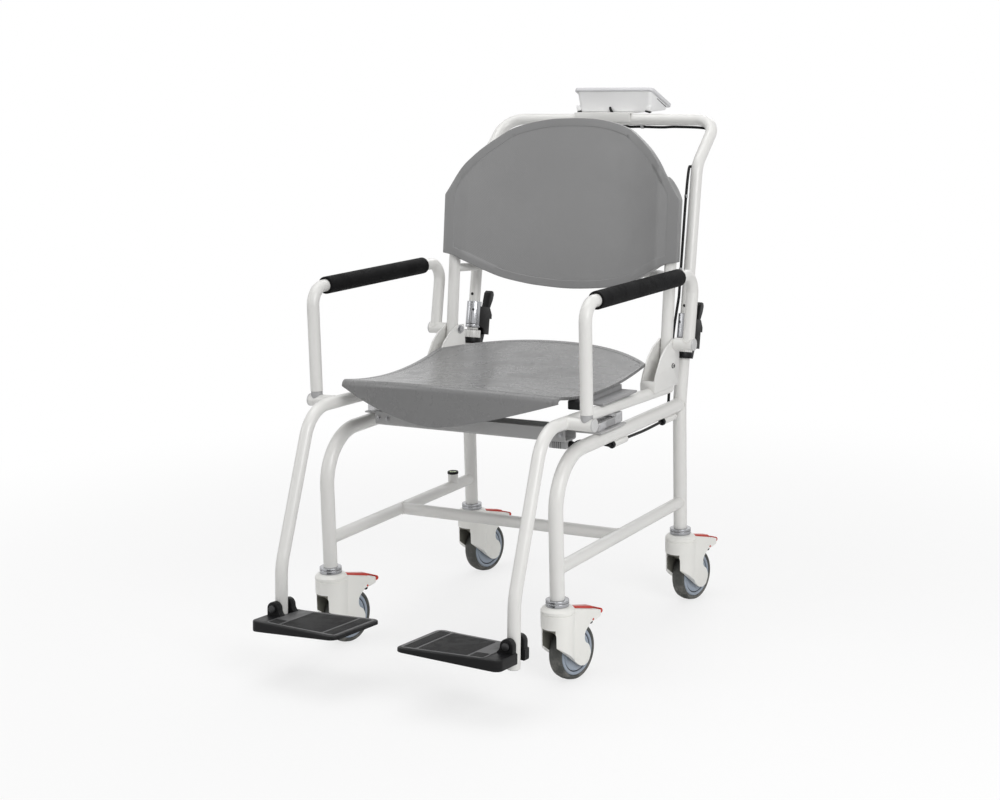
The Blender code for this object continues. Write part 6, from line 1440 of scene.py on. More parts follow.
def seat_net():
    """Seat surface: a front lip, the roll over its crest and the dished top, and a stepped border."""
    codes = [("lip", number / 10) for number in range(10)]
    codes += [("roll", number / 8) for number in range(9)]
    codes += [("top", (number / 40) ** 1.1) for number in range(1, 40)]
    codes += [("rear", distance) for distance in line_distances(SEAT_BORDER)[::-1]]
    columns = lines_across(SEAT_HALF_WIDTH, SEAT_BORDER, 60)
    rows = []
    dotted = []
    for code, value in codes:
        row = []
        shares = []
        for u in columns:
            point, inside = seat_point(u, code, value)
            aside = SEAT_HALF_WIDTH * (1 - abs(u))
            share = border_drop(aside, SEAT_BORDER)
            if code == "rear":
                share = min(share, border_drop(inside, SEAT_BORDER))
            if code == "lip":
                point.y += BORDER_STEP * share
            elif code == "roll":
                turn = value * math.pi / 2
                point += Vector((0, math.cos(turn), -math.sin(turn))) * BORDER_STEP * share
            else:
                point.z -= BORDER_STEP * share
            row.append(point)
            shares.append(share)
        rows.append(row)
        dotted.append(shares)
    return net(rows, dotted)


SEAT_RAIL_FRONT = 0.157
SEAT_RAIL_REAR = 0.291
SEAT_MOUNT_Y = 0.108
SEAT_MOUNT_SIZE = 0.020
SEAT_MOUNT_WIDTH = 0.030
SEAT_RAIL_THICKNESS = 0.0040
SEAT_RAIL_UPRIGHT_WIDTH = 0.009
SEAT_RAIL_LAP = 0.001               # between the rail's top and its upright's
SEAT_MOUNT_INNER = 0.205
SEAT_MOUNT_OUTER = 0.244
SEAT_MOUNT_TOP = 0.4700
SEAT_RAIL_TOP = 0.4648


def seat():
    """Dished seat shell, held at its side edges by blocks and rails that stand on the seat tubes."""
    shell = walled(seat_net(), SEAT_THICKNESS, 0.0018)
    dress("seat_pan", shell, "root", SEAT_PLASTIC, ("seat_shell",))
    blocks = []
    rails = []
    length = SEAT_RAIL_REAR - SEAT_RAIL_FRONT
    rail_y = SEAT_RAIL_FRONT + length / 2
    middle = (SEAT_MOUNT_INNER + SEAT_MOUNT_OUTER) / 2
    for x_sign in (-1, 1):
        foot = seat_tube_z(SEAT_MOUNT_Y - SEAT_MOUNT_SIZE / 2) + TUBE_RADIUS + GAP
        x = x_sign * (SEAT_MOUNT_INNER + SEAT_MOUNT_WIDTH / 2)
        blocks.append(block((SEAT_MOUNT_WIDTH, SEAT_MOUNT_SIZE, SEAT_MOUNT_TOP - foot),
                            (x, SEAT_MOUNT_Y, (SEAT_MOUNT_TOP + foot) / 2), 0.0020))
        foot = seat_tube_z(SEAT_RAIL_FRONT) + TUBE_RADIUS + GAP
        rails.append(block((SEAT_MOUNT_OUTER - SEAT_MOUNT_INNER, length, SEAT_RAIL_THICKNESS),
                           (x_sign * middle, rail_y, foot + SEAT_RAIL_THICKNESS / 2), 0.0010))
        x = x_sign * (SEAT_MOUNT_INNER + SEAT_RAIL_UPRIGHT_WIDTH / 2)
        rails.append(block((SEAT_RAIL_UPRIGHT_WIDTH, length, SEAT_RAIL_TOP - foot - SEAT_RAIL_LAP),
                           (x, rail_y, (SEAT_RAIL_TOP + foot + SEAT_RAIL_LAP) / 2), 0.0010))
    dress("seat_front_mounts", joined(blocks), "root", RUBBER)
    dress("seat_side_rails", joined(rails), "root", MOUNT_GREY)


# Footplates, made for the right side

FOOTPLATE_WIDTH = 0.187
FOOTPLATE_INNER_EDGE = 0.058
FOOTPLATE_FRONT = 0.090
FOOTPLATE_REAR = 0.053
FOOTPLATE_OUTER_REAR = 0.037
FOOTPLATE_OUTER_FRONT = 0.072
FOOTPLATE_INNER_THICKNESS = 0.006
FOOTPLATE_OUTER_THICKNESS = 0.019
FOOTPLATE_DROP = 0.0118
FOOTPLATE_CORNER = 0.014
EAR_RADIUS = 0.012
EAR_THICKNESS = 0.013
NOTCH_REACH = TUBE_RADIUS + 0.0016


def plate_between(inner_share, outer_share, front_share, rear_share, corner):
    """Outline of a strip of the footplate's top, in shares of its width and of its depth at each edge."""
    inner = FOOTPLATE_INNER_EDGE - SIDE_X
    points = []
    for across, along in ((inner_share, front_share), (outer_share, front_share), (outer_share, rear_share),
                          (inner_share, rear_share)):
        front = -FOOTPLATE_FRONT + (FOOTPLATE_FRONT - FOOTPLATE_OUTER_FRONT) * across
        rear = FOOTPLATE_REAR + (FOOTPLATE_OUTER_REAR - FOOTPLATE_REAR) * min(1.0, across * 1.6)
        points.append((inner + FOOTPLATE_WIDTH * across, front + (rear - front) * along))
    return rounded(points, corner, True, math.radians(15.0))


def footplates():
    inner = FOOTPLATE_INNER_EDGE - SIDE_X
    outer = inner + FOOTPLATE_WIDTH
    near = (inner + outer) / 2 + FOOTPLATE_CORNER
    outline = rounded([(inner, -FOOTPLATE_FRONT), (outer, -FOOTPLATE_OUTER_FRONT),
                       (outer, FOOTPLATE_OUTER_REAR),
                       (near, FOOTPLATE_OUTER_REAR), (inner, FOOTPLATE_REAR)], FOOTPLATE_CORNER, True)
    thick = FOOTPLATE_OUTER_THICKNESS
    plate = moved(slab(outline, thick, 0.0022, 3), Matrix.Translation((0, 0, -FOOTPLATE_DROP - thick / 2)))
    slope = math.atan((thick - FOOTPLATE_INNER_THICKNESS) / FOOTPLATE_WIDTH)
    length = 3 * FOOTPLATE_WIDTH
    under = block((length, length, length), (0, 0, -length / 2), 0.0001,
                  Matrix.Translation((outer, 0, -FOOTPLATE_DROP - thick)) @ Matrix.Rotation(slope, 4, "Y"))
    ears = []
    for sign in (-1, 1):
        y = sign * (NOTCH_REACH + EAR_THICKNESS / 2)
        crown = [(EAR_RADIUS * math.cos(turn), EAR_RADIUS * math.sin(turn))
                 for turn in [math.pi * number / 18 for number in range(19)]]
        hump = crown + [(-EAR_RADIUS - 0.0006, -0.0040), (-EAR_RADIUS - 0.0028, -0.0080),
                        (-EAR_RADIUS - 0.0075, -FOOTPLATE_DROP),
                        (-EAR_RADIUS - 0.0075, -FOOTPLATE_DROP - 0.003),
                        (EAR_RADIUS, -FOOTPLATE_DROP - 0.003)]
        ears.append(moved(slab(hump, EAR_THICKNESS, 0.0012), Matrix.Translation((0, y, 0))
                          @ Matrix.Rotation(math.pi / 2, 4, "X")))
    notch = block((NOTCH_REACH * 2 + FOOTPLATE_CORNER, NOTCH_REACH * 2, length),
                  (FOOTPLATE_CORNER / 2, 0, 0), 0.0001)
    body = shaped(plate, (under, notch), ears, 0.0008, 40.0, 2)
    top = -FOOTPLATE_DROP
    far = 0.815
    frames = []
    inlays = []
    for inner_share, outer_share, front_share, rear_share in ((0.06, 0.17, 0.09, 0.91),
                                                              (0.20, 0.665, 0.09, 0.91),
                                                              (0.695, far, 0.09, 0.30)):
        strip = slab(plate_between(inner_share, outer_share, front_share, rear_share, 0.003), 0.0010, 0.0003)
        inlays.append(moved(strip, Matrix.Translation((0, 0, top + 0.0001))))
    rim = shaped(slab(plate_between(0.025, far + 0.02, 0.045, 0.955, 0.010), 0.0010, 0.0003),
                 [slab(plate_between(*shares, 0.003), 0.01) for shares in
                  ((0.055, 0.175, 0.085, 0.915), (0.195, 0.67, 0.085, 0.915),
                   (0.69, far + 0.005, 0.085, 0.305))])
    frames.append(moved(rim, Matrix.Translation((0, 0, top + 0.0003))))
    for side, x_sign in SIDES:
        stand = (Matrix.Translation((x_sign * SIDE_X, FOOT_HINGE_Y, FOOTPLATE_HINGE_HEIGHT))
                 @ Matrix.Rotation(-FOOT_PITCH, 4, "X"))
        body_name = "footplate_" + side
        dress("footplate_body_" + side, moved(for_side(body, x_sign), stand), body_name, FOOT_PLASTIC,
              ("footplate_" + side,))
        dress("footplate_frame_" + side, moved(for_side(joined(frames), x_sign), stand), body_name, FOOT_LINE)
        dress("footplate_inlays_" + side, moved(for_side(joined(inlays), x_sign), stand), body_name,
              FOOT_RUBBER)
        dress("footplate_pin_" + side, refined("footplate_bolt_" + side, 0.0006), "root", DARK_STEEL,
              ("footplate_bolt_" + side,))


# Push handle and its fold hinges

def hinge_matrix(x_sign):
    return (Matrix.Translation((x_sign * SIDE_X, post_y(HINGE_HEIGHT), HINGE_HEIGHT))
            @ Matrix.Rotation(-POST_LEAN, 4, "X"))


def handle_path():
    knee = (SIDE_X, post_y(HANDLE_KNEE_HEIGHT), HANDLE_KNEE_HEIGHT)
    corner = (SIDE_X, HANDLE_Y, HANDLE_HEIGHT)
    foot = (SIDE_X, post_y(HINGE_HEIGHT + GAP), HINGE_HEIGHT + GAP)
    right = [foot, knee, corner]
    left = [(-x, y, z) for x, y, z in right]
    return rounded(left + right[::-1], [0, HANDLE_KNEE_BEND, HANDLE_CORNER_BEND, HANDLE_CORNER_BEND,
                                        HANDLE_KNEE_BEND, 0])


def push_handle():
    dress("handle_bow", bar(handle_path(), TUBE_RADIUS), "push_handle", POWDER_COAT, ("handle_tube",))
    collar = turned(rounded([(LEG_RADIUS, -0.0005), (0.0165, -0.0005), (0.0165, -0.0163),
                             (LEG_RADIUS, -0.0163)],
                            0.0010, True, math.radians(30.0)))
    top = SLEEVE_FOOT + SLEEVE_LENGTH
    sleeve = turned(rounded([(TUBE_RADIUS, top + 0.0001), (SLEEVE_RADIUS, top + 0.0001),
                             (SLEEVE_RADIUS + 0.0002, 0.012),
                             (SLEEVE_RADIUS - 0.0004, 0.011), (SLEEVE_RADIUS + 0.0002, 0.010),
                             (SLEEVE_RADIUS + 0.0002, SLEEVE_FOOT), (TUBE_RADIUS, SLEEVE_FOOT)], 0.0009, True,
                            math.radians(30.0)))
    for side, x_sign in SIDES:
        stand = hinge_matrix(x_sign)
        dress("hinge_clamp_" + side, refined("hinge_base_" + side, 0.0007), "root", HINGE_PLASTIC,
              ("hinge_base_" + side,))
        dress("post_collar_" + side, moved(collar, stand), "root", POWDER_COAT)
        dress("latch_housing_" + side, refined("release_housing_" + side, 0.0008), "push_handle",
              HINGE_PLASTIC, ("release_housing_" + side,))
        dress("hinge_sleeve_" + side, moved(sleeve, stand), "push_handle", CHROME)
        aside = math.radians(26.0) * -x_sign
        place = (stand @ Matrix.Rotation(aside, 4, "Z") @ Matrix.Translation((0, -SLEEVE_RADIUS * 0.97,
                                                                              0.040))
                 @ Matrix.Rotation(math.pi / 2, 4, "X"))
        head = moved(disc(0.0026, 0.0014, (0, 0, 0.0004), "Z", 0.0005, 24), place)
        dress("sleeve_screw_" + side, head, "push_handle", DARK_STEEL)
        # A dark disc where the snap button's hole is: painted shade of the hole.
        hole = stand @ Matrix.Translation((0, -TUBE_RADIUS * 0.985, 0.071)) @ Matrix.Rotation(math.pi / 2,
                                                                                              4, "X")
        dress("snap_hole_shade_" + side, moved(disc(0.0030, 0.0014, (0, 0, 0), "Z", 0.0006, 24), hole),
              "push_handle", GROOVE_PAINTED_SHADE)
        dress("latch_lever_" + side, refined("release_lever_" + side, 0.0012), "release_lever_" + side,
              HINGE_PLASTIC, ("release_lever_" + side,))


# Indicator, in its lid's own frame: +Y runs down the slope to the reader

def lid_matrix():
    return (Matrix.Translation((INDICATOR_X, LID_FRONT_Y, LID_FRONT_HEIGHT))
            @ Matrix.Rotation(-LID_SLOPE, 4, "X"))


def plate_outline(width, depth, corner, centre=(0, 0)):
    x, y = centre
    half = width / 2
    return rounded([(x - half, y - depth / 2), (x + half, y - depth / 2), (x + half, y + depth / 2),
                    (x - half, y + depth / 2)], corner, True, math.radians(10.0))


def key_places():
    middle = LID_DEPTH / 2 + KEY_OFFSET
    first = READER_OFFSET + KEY_PITCH * (KEY_COUNT - 1) / 2
    return [(first - KEY_PITCH * number, middle) for number in range(KEY_COUNT)]


WINDOW_CENTRE = (READER_OFFSET, LID_DEPTH / 2 - WINDOW_OFFSET)
PANEL_CENTRE = (0.0, LID_DEPTH / 2 + 0.0005)
PANEL_WIDTH = 0.1600
PANEL_DEPTH = 0.0892
SEGMENT_LENGTH = 0.0098
SEGMENT_WIDTH = 0.0016
DIGIT_PITCH = 0.0150
DIGIT_SEGMENTS = {"0": "abcdef", "1": "bc", "2": "abged", "3": "abgcd", "4": "fgbc", "5": "afgcd",
                  "6": "afgedc", "7": "abc", "8": "abcdefg", "9": "abcdfg"}


def segment(centre, upright, height):
    half = SEGMENT_LENGTH / 2 - SEGMENT_WIDTH * 0.12
    narrow = SEGMENT_WIDTH / 2
    outline = [(-half, 0), (-half + narrow, narrow), (half - narrow, narrow), (half, 0),
               (half - narrow, -narrow), (-half + narrow, -narrow)]
    if upright:
        outline = [(y, x) for x, y in outline]
    mesh = slab([(centre[0] + x, centre[1] + y) for x, y in outline], 0.0002)
    return moved(mesh, Matrix.Translation((0, 0, height)))


def digit_meshes(text, right_edge, middle, height):
    """Segments of a number read from behind the chair, where the reader's right is at smaller x."""
    step = SEGMENT_LENGTH / 2
    spots = {"a": (0, -2, False), "g": (0, 0, False), "d": (0, 2, False), "f": (1, -1, True),
             "b": (-1, -1, True), "e": (1, 1, True), "c": (-1, 1, True)}
    meshes = []
    x = right_edge + step
    for character in reversed(text):
        if character == ".":
            dot = slab(plate_outline(SEGMENT_WIDTH * 1.2, SEGMENT_WIDTH * 1.2, 0.0002,
                                     (x - DIGIT_PITCH * 0.66, middle + 2 * step)), 0.0002)
            meshes.append(moved(dot, Matrix.Translation((0, 0, height))))
            continue
        for label in DIGIT_SEGMENTS[character]:
            across, along, upright = spots[label]
            meshes.append(segment((x + across * step, middle + along * step), upright, height))
        x += DIGIT_PITCH
    return meshes


def triangle(centre, size, height, toward=1):
    """A small triangle that points to the reader's left when toward is 1."""
    x, y = centre
    outline = [(x + toward * size, y), (x - toward * size * 0.6, y - size * 0.8),
               (x - toward * size * 0.6, y + size * 0.8)]
    return moved(slab(outline, 0.0002), Matrix.Translation((0, 0, height)))


def indicator_tub():
    """Tub under the lid: upright front with round corners, a little wider at its top than at its foot."""
    stand = lid_matrix()
    under = -LID_THICKNESS - GAP
    front = stand @ Vector((0, BODY_FRONT_INSET, under))
    rear = stand @ Vector((0, LID_DEPTH - BODY_REAR_INSET, under))
    foot_height = HANDLE_HEIGHT + TUBE_RADIUS + 2 * GAP + 0.0025
    middles = ((BODY_FOOT_FRONT + BODY_FOOT_REAR) / 2, (front.y + rear.y) / 2)
    low = plate_outline(BODY_FOOT_WIDTH, BODY_FOOT_REAR - BODY_FOOT_FRONT, 0.0080, (INDICATOR_X, middles[0]))
    high = plate_outline(BODY_TOP_WIDTH, rear.y - front.y, 0.0080, (INDICATOR_X, middles[1]))
    rings = []
    for inset, rise in ((0.0022, 0.0), (0.0008, 0.0006), (0.0, 0.0022)):
        ring = plate_outline(BODY_FOOT_WIDTH - 2 * inset, BODY_FOOT_REAR - BODY_FOOT_FRONT - 2 * inset,
                             0.0080 - inset, (INDICATOR_X, middles[0]))
        rings.append([Vector((point.x, point.y, foot_height + rise)) for point in ring])
    levels = 8
    for level in range(1, levels + 1):
        share = level / levels
        ring = []
        for first, last in zip(low, high):
            along = (last.y - front.y) / (rear.y - front.y)
            top = front.z + (rear.z - front.z) * along
            ring.append(Vector((first.x + (last.x - first.x) * share, first.y + (last.y - first.y) * share,
                                foot_height + 0.0022 + (top - foot_height - 0.0022) * share)))
        rings.append(ring)
    count = len(low)
    spots = [point for ring in rings for point in ring]
    faces = [(level * count + number, level * count + (number + 1) % count,
              (level + 1) * count + (number + 1) % count, (level + 1) * count + number)
             for level in range(len(rings) - 1) for number in range(count)]
    faces.append(tuple(range(count))[::-1])
    mesh = bpy.data.meshes.new("tub")
    mesh.from_pydata(spots, [], faces)
    item = linked("tub", mesh)
    wall = item.modifiers.new("wall", "SOLIDIFY")
    wall.thickness = BODY_WALL * 0.8
    wall.offset = -1.0
    return evaluated(item)


def indicator():
    stand = lid_matrix()
    body = "push_handle"
    lid = slab(plate_outline(LID_WIDTH, LID_DEPTH, LID_CORNER, (0, LID_DEPTH / 2)), LID_THICKNESS, 0.0016, 3)
    lid = moved(lid, Matrix.Translation((0, 0, -LID_THICKNESS / 2)))
    pocket = moved(slab(plate_outline(WINDOW_WIDTH + 2 * GAP, WINDOW_DEPTH + 2 * GAP, 0.001, WINDOW_CENTRE),
                        0.0046),
                   Matrix.Identity(4))
    holes = [moved(slab(plate_outline(0.0166, 0.0138, 0.0024, spot), 0.03), Matrix.Identity(4))
             for spot in key_places()]
    lid = shaped(lid, [pocket] + holes, (), 0.0004, 50.0, 2)
    dress("indicator_cover", moved(lid, stand), body, INDICATOR_PLASTIC, ("indicator_lid",))
    film_holes = [slab(plate_outline(WINDOW_WIDTH, WINDOW_DEPTH, 0.001, WINDOW_CENTRE), 0.01)]
    film_holes += [slab(plate_outline(0.0166, 0.0138, 0.0024, spot), 0.01) for spot in key_places()]
    film = shaped(slab(plate_outline(PANEL_WIDTH, PANEL_DEPTH, 0.0105, PANEL_CENTRE), 0.0006, 0.0002),
                  film_holes)
    dress("indicator_film", moved(film, stand @ Matrix.Translation((0, 0, 0.0001))), body, PANEL_FILM)
    bezel = shaped(slab(plate_outline(WINDOW_WIDTH + 0.007, WINDOW_DEPTH + 0.007, 0.003, WINDOW_CENTRE),
                        0.0008,
                        0.0002), (slab(plate_outline(WINDOW_WIDTH - 0.001, WINDOW_DEPTH - 0.001, 0.001,
                                                     WINDOW_CENTRE), 0.01),))
    dress("display_bezel", moved(bezel, stand @ Matrix.Translation((0, 0, 0.0002))), body, BEZEL_FILM)
    window = moved(slab(plate_outline(WINDOW_WIDTH, WINDOW_DEPTH, 0.001, WINDOW_CENTRE), 0.0020, 0.0003),
                   stand @ Matrix.Translation((0, 0, -0.0011)))
    dress("display_pane", window, body, DISPLAY_GLASS, ("display_window",))
    figures = digit_meshes("0.0", READER_OFFSET - WINDOW_WIDTH / 2 + 0.006, WINDOW_CENTRE[1], 0.00002)
    figures.append(triangle((READER_OFFSET + WINDOW_WIDTH / 2 - 0.005, WINDOW_CENTRE[1] - 0.008), 0.0022,
                            0.00002))
    dress("display_figures", moved(joined(figures), stand), body, SEGMENT_INK)
    for number, spot in enumerate(key_places(), 1):
        name = "key_" + str(number)
        cap = moved(slab(plate_outline(0.0158, 0.0130, 0.0022, spot), 0.0060, 0.0006),
                    stand @ Matrix.Translation((0, 0, KEY_STAND - 0.0030)))
        dress("key_cap_" + str(number), cap, name, KEY_RUBBER, (name,))
        icon = triangle((spot[0], spot[1] + 0.0112), 0.0011, 0.0004, 1 if number < 3 else -1)
        dress("key_mark_" + str(number), moved(icon, stand), body, ICON_INK)
    lamp = moved(disc(0.0016, 0.0012, (0.0625, 0.0305, 0.0003), "Z", 0.0005, 24), stand)
    dress("indicator_lamp", lamp, body, LAMP_GREEN)
    dress("indicator_tub", indicator_tub(), body, TUB_PLASTIC, ("indicator_base",))
    # The slit is a thin black block: painted shade inside the slit.
    inset, back, drop = SLIT_PLACE
    slit = block(SLIT_SIZE, (BODY_TOP_WIDTH / 2 - inset, back, -LID_THICKNESS - drop), 0.0002)
    dress("indicator_slit_shade", moved(slit, stand), body, GROOVE_PAINTED_SHADE)
    feet = []
    bosses = []
    for x, width, tilt in INDICATOR_FEET:
        turn = (Matrix.Translation((x, INDICATOR_FOOT_Y, INDICATOR_FOOT_HEIGHT))
                @ Matrix.Rotation(math.radians(tilt), 4, "Y"))
        feet.append(block((width, 0.0090, 0.0034), (0, 0, -0.0004), 0.0010, turn))
        bosses.append(block((width, 0.0100, 0.0120), (0, 0.0005, 0.0070), 0.0030, turn))
    dress("indicator_bosses", joined(bosses), body, TUB_PLASTIC)
    dress("indicator_feet", joined(feet), body, RUBBER)
    dress("indicator_plate", refined("indicator_saddle", 0.0007), body, POWDER_COAT, ("indicator_saddle",))
    board = refined("circuit_board", 0.0002)
    dress("board", board, body, BOARD_GREEN, ("circuit_board",))
    dress("battery_box", refined("battery_pack", 0.0012), body, HINGE_PLASTIC, ("battery_pack",))


# Cable: near the frame's own route, in three stretches

POST_INSIDE = 0.0180
POST_AHEAD = 0.0120
HANDLE_INSIDE = 0.0140
HANDLE_AHEAD = 0.0080
CABLE_STEP = 0.020
CABLE_SAG = 0.0015
CABLE_DIAMETER = 2 * CABLE_RADIUS


def cable_at_post(height, inside, ahead):
    return (SIDE_X - inside, post_y(height) - ahead, height)


def lower_cable_route():
    start_x = CONNECTOR_X + CONNECTOR_LENGTH / 2 + GAP
    half = GUIDE_LENGTH / 2 + GROMMET_LENGTH
    free = (FRONT_GUIDE_Y + REAR_GUIDE_Y) / 2
    return [(start_x, CHANNEL_Y, CONNECTOR_HEIGHT), (start_x + CABLE_DIAMETER, CHANNEL_Y, CONNECTOR_HEIGHT),
            (SIDE_X - 0.030, CHANNEL_Y + CONNECTOR_LENGTH * 0.7, CONNECTOR_HEIGHT + 0.002),
            (SIDE_X - 0.019, FRONT_GUIDE_Y - half - 0.026, GUIDE_HEIGHT + 0.008),
            (SIDE_X - 0.004, FRONT_GUIDE_Y - half - 0.009, GUIDE_HEIGHT + 0.001),
            (SIDE_X, FRONT_GUIDE_Y - half, GUIDE_HEIGHT), (SIDE_X, FRONT_GUIDE_Y + half, GUIDE_HEIGHT),
            (SIDE_X, free, GUIDE_HEIGHT - CABLE_SAG), (SIDE_X, REAR_GUIDE_Y - half, GUIDE_HEIGHT),
            (SIDE_X, REAR_GUIDE_Y, GUIDE_HEIGHT),
            (SIDE_X, REAR_GUIDE_Y + GUIDE_LENGTH / 2 + CABLE_SAG * 2, GUIDE_HEIGHT),
            (SIDE_X - POST_INSIDE, REAR_GUIDE_Y + GUIDE_LENGTH / 2 + CABLE_STEP * 0.7,
             GUIDE_HEIGHT + CABLE_DIAMETER),
            cable_at_post(UPPER_RAIL_HEIGHT + CABLE_STEP / 2, POST_INSIDE, POST_AHEAD),
            cable_at_post(CABLE_HINGE_FOOT, POST_INSIDE, POST_AHEAD)]


def bend_cable_route():
    middle = (CABLE_HINGE_FOOT + CABLE_HINGE_HEAD) / 2
    return [cable_at_post(CABLE_HINGE_FOOT, POST_INSIDE, POST_AHEAD),
            cable_at_post(middle, POST_INSIDE, POST_AHEAD),
            cable_at_post(CABLE_HINGE_HEAD, HANDLE_INSIDE, HANDLE_AHEAD)]


def upper_cable_route():
    """Up beside the right handle tube, behind its corner, along under the top tube and up through it."""
    straight = cable_at_post(HANDLE_KNEE_HEIGHT - HANDLE_KNEE_BEND / 2, HANDLE_INSIDE, HANDLE_AHEAD)
    under = HANDLE_HEIGHT - TUBE_RADIUS - CABLE_RADIUS - GAP
    return [cable_at_post(CABLE_HINGE_HEAD, HANDLE_INSIDE, HANDLE_AHEAD), straight,
            (SIDE_X - HANDLE_INSIDE, post_y(HANDLE_KNEE_HEIGHT) + 0.012, HANDLE_KNEE_HEIGHT - 0.002),
            (SIDE_X - 0.0040, post_y(HANDLE_KNEE_HEIGHT) + 0.0565, HANDLE_KNEE_HEIGHT + 0.0284),
            (SIDE_X - 0.0060, post_y(HANDLE_KNEE_HEIGHT) + 0.0840, HANDLE_KNEE_HEIGHT + 0.0500),
            (SIDE_X - 0.0240, HANDLE_Y + 0.0030, under - 0.0030),
            (SIDE_X - 2 * HANDLE_CORNER_BEND, HANDLE_Y, under), (SIDE_X / 2, HANDLE_Y, under - 0.0010),
            (0.070, HANDLE_Y, under), (0.044, HANDLE_Y, under), (0.031, HANDLE_Y, under + 0.005),
            (0.020, HANDLE_Y + 0.001, HANDLE_HEIGHT), (0.009, HANDLE_Y + 0.003, HANDLE_HEIGHT + TUBE_RADIUS),
            (0.004, BODY_FOOT_FRONT - 0.0038, HANDLE_HEIGHT + 0.0170),
            (0.001, BODY_FOOT_FRONT - 0.0018, HANDLE_HEIGHT + 0.0215),
            (0.0, BODY_FOOT_FRONT + 0.004, HANDLE_HEIGHT + 0.0235)]


def cable_mesh(route, step):
    return bar(smooth_route(route, step), CABLE_RADIUS, 16)


def clip(place, along, across):
    """A small light saddle over the cable, its two feet on the tube: across points away from the tube."""
    third = along.cross(across)
    axes = Matrix((third, along, across)).transposed().to_4x4()
    stand = Matrix.Translation(place) @ axes
    reach = CABLE_RADIUS + 0.0012
    arch = [(reach * math.cos(turn), reach * math.sin(turn))
            for turn in [math.pi * n / 10 for n in range(11)]]
    inner = [(x * CABLE_RADIUS / reach, y * CABLE_RADIUS / reach) for x, y in arch[::-1]]
    outline = [(reach, -CABLE_RADIUS)] + arch + [(-reach, -CABLE_RADIUS),
                                                 (-CABLE_RADIUS, -CABLE_RADIUS)] + inner
    outline.append((CABLE_RADIUS, -CABLE_RADIUS))
    return moved(slab(outline, 0.0060, 0.0003), stand @ Matrix.Rotation(math.pi / 2, 4, "X"))


def cable():
    dress("cable_under_seat", cable_mesh(lower_cable_route(), 0.004), "root", CABLE_JACKET,
          ("cable_lower",))
    dress("cable_on_handle", cable_mesh(upper_cable_route(), 0.004), "push_handle", CABLE_JACKET,
          ("cable_upper",))
    flex = dress("cable_over_hinge", cable_mesh(bend_cable_route(), 0.003), None, CABLE_JACKET,
                 ("cable_bend",))
    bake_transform(flex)
    lean = Vector((0, POST_LEAN_SHARE, 1)).normalized()
    inward = Vector((-HANDLE_INSIDE, -HANDLE_AHEAD, 0)).normalized()
    inward = (inward - lean * inward.dot(lean)).normalized()
    clips = [clip(cable_at_post(height, HANDLE_INSIDE, HANDLE_AHEAD), lean,
                  inward) for height in (0.640, 0.775)]
    under = HANDLE_HEIGHT - TUBE_RADIUS - CABLE_RADIUS - GAP
    clips += [clip((x, HANDLE_Y, under), X_AXIS, -Z_AXIS) for x in (0.0741,)]
    dress("cable_clips", joined(clips), "push_handle", PAD_GREY)


# The room, the lamps and the camera

FLOOR_GLOW = 0.72


def backdrop():
    mesh = bpy.data.meshes.new("floor")
    work = bmesh.new()
    bmesh.ops.create_circle(work, cap_ends=True, segments=96, radius=6.0)
    work.to_mesh(mesh)
    work.free()
    floor = linked("floor", mesh)
    material = bpy.data.materials.new("floor_white")
    material.use_nodes = True
    tree = material.node_tree
    shader = tree.nodes["Principled BSDF"]
    shader.inputs["Roughness"].default_value = 0.7
    shader.inputs["Specular IOR Level"].default_value = 0.1
    shader.inputs["Base Color"].default_value = (0.93, 0.93, 0.93, 1.0)
    vector = tree.nodes.new("ShaderNodeTexCoord").outputs["Object"]
    distance = tree.nodes.new("ShaderNodeVectorMath")
    distance.operation = "LENGTH"
    tree.links.new(vector, distance.inputs[0])
    far = ramp(tree, distance.outputs["Value"], 0.7, 2.0, FLOOR_GLOW, 1.0)
    glow = tree.nodes.new("ShaderNodeEmission")
    glow.inputs["Color"].default_value = (1.0, 1.0, 1.0, 1.0)
    seen = tree.nodes.new("ShaderNodeLightPath").outputs["Is Camera Ray"]
    both = tree.nodes.new("ShaderNodeMixShader")
    tree.links.new(maths(tree, "MULTIPLY", far, seen), both.inputs["Fac"])
    tree.links.new(shader.outputs["BSDF"], both.inputs[1])
    tree.links.new(glow.outputs["Emission"], both.inputs[2])
    tree.links.new(both.outputs["Shader"], tree.nodes["Material Output"].inputs["Surface"])
    floor.data.materials.append(material)


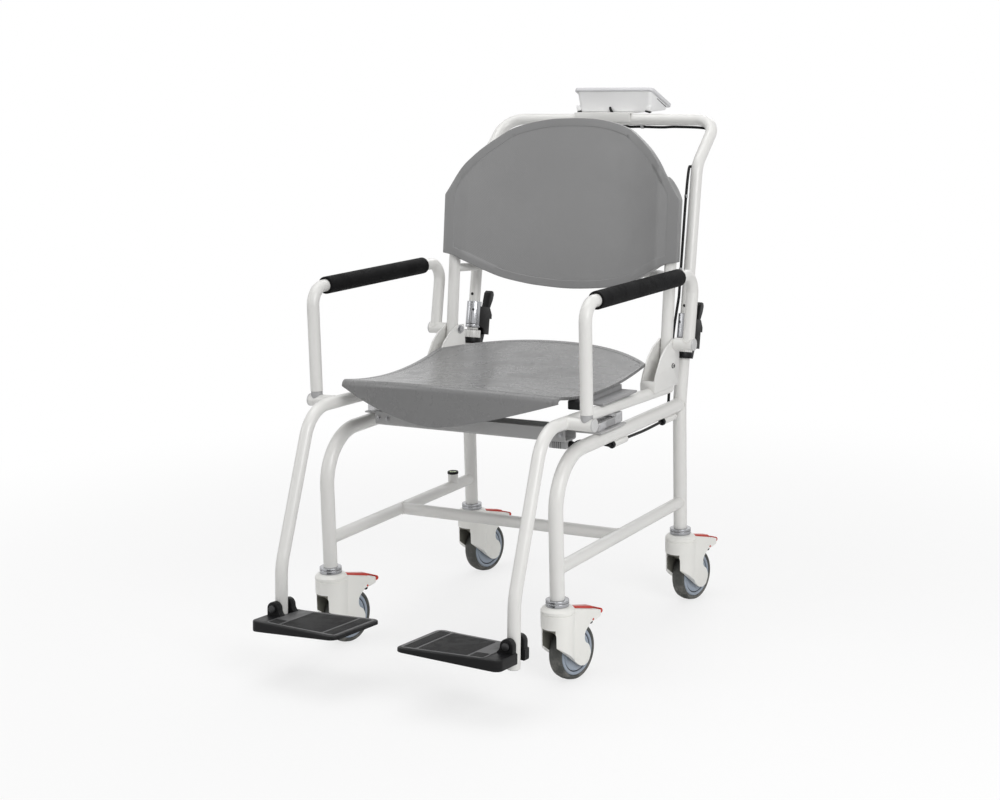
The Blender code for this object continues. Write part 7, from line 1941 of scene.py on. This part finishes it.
def world():
    scene = bpy.context.scene
    scene.world = bpy.data.worlds.new("white_room")
    scene.world.use_nodes = True
    tree = scene.world.node_tree
    background = tree.nodes["Background"]
    path = tree.nodes.new("ShaderNodeLightPath")
    seen = maths(tree, "MAXIMUM", path.outputs["Is Camera Ray"], path.outputs["Is Glossy Ray"])
    seen = maths(tree, "MAXIMUM", seen, path.outputs["Is Transmission Ray"])
    background.inputs["Color"].default_value = (1.0, 1.0, 1.0, 1.0)
    tree.links.new(ramp(tree, seen, 0.0, 1.0, WORLD_LIGHT, 1.0), background.inputs["Strength"])


WORLD_LIGHT = 0.36
LAMPS = (                           # name, place, size, power
    ("key_lamp", (2.5, -1.5, 1.9), 1.7, 46.0), ("top_lamp", (-0.3, -0.2, 2.9), 2.0, 26.0),
    ("left_lamp", (-2.3, -1.6, 1.5), 1.4, 10.0), ("rear_lamp", (-0.4, 2.6, 2.4), 1.4, 12.0))


def lamps():
    aim = Vector((0, 0, 0.5))
    for name, place, size, power in LAMPS:
        light = bpy.data.lights.new(name, "AREA")
        light.size = size
        light.energy = power
        lamp = linked(name, light)
        lamp.location = place
        lamp.rotation_euler = (aim - Vector(place)).to_track_quat("-Z", "Y").to_euler()


CAMERA_PLACE = (1.65190, -2.64976, 1.09136)
CAMERA_TURN = math.radians(29.881)
CAMERA_RISE = math.radians(11.257)
CAMERA_ROLL = math.radians(-1.408)
CAMERA_LENS = 67.07


def camera():
    back = Vector((math.sin(CAMERA_TURN) * math.cos(CAMERA_RISE),
                   -math.cos(CAMERA_TURN) * math.cos(CAMERA_RISE), math.sin(CAMERA_RISE)))
    right = Vector((math.cos(CAMERA_TURN), math.sin(CAMERA_TURN), 0))
    up = back.cross(right)
    tilted = right * math.cos(CAMERA_ROLL) + up * math.sin(CAMERA_ROLL)
    upright = up * math.cos(CAMERA_ROLL) - right * math.sin(CAMERA_ROLL)
    data = bpy.data.cameras.new("camera")
    data.lens = CAMERA_LENS
    item = linked("camera", data)
    turn = Matrix((tilted, upright, back)).transposed().to_4x4()
    item.matrix_world = TO_FRAME @ Matrix.Translation(CAMERA_PLACE) @ turn
    bpy.context.scene.camera = item


bpy.context.scene.view_settings.view_transform = "Standard"
camera()
backdrop()
world()
lamps()
casters()
main_frame()
cable_guides()
cross_channel()
load_cells()
junction()
level()
hangers()
brackets()
armrests()
backrest_frame()
backrest_shell()
seat()
footplates()
push_handle()
indicator()
cable()
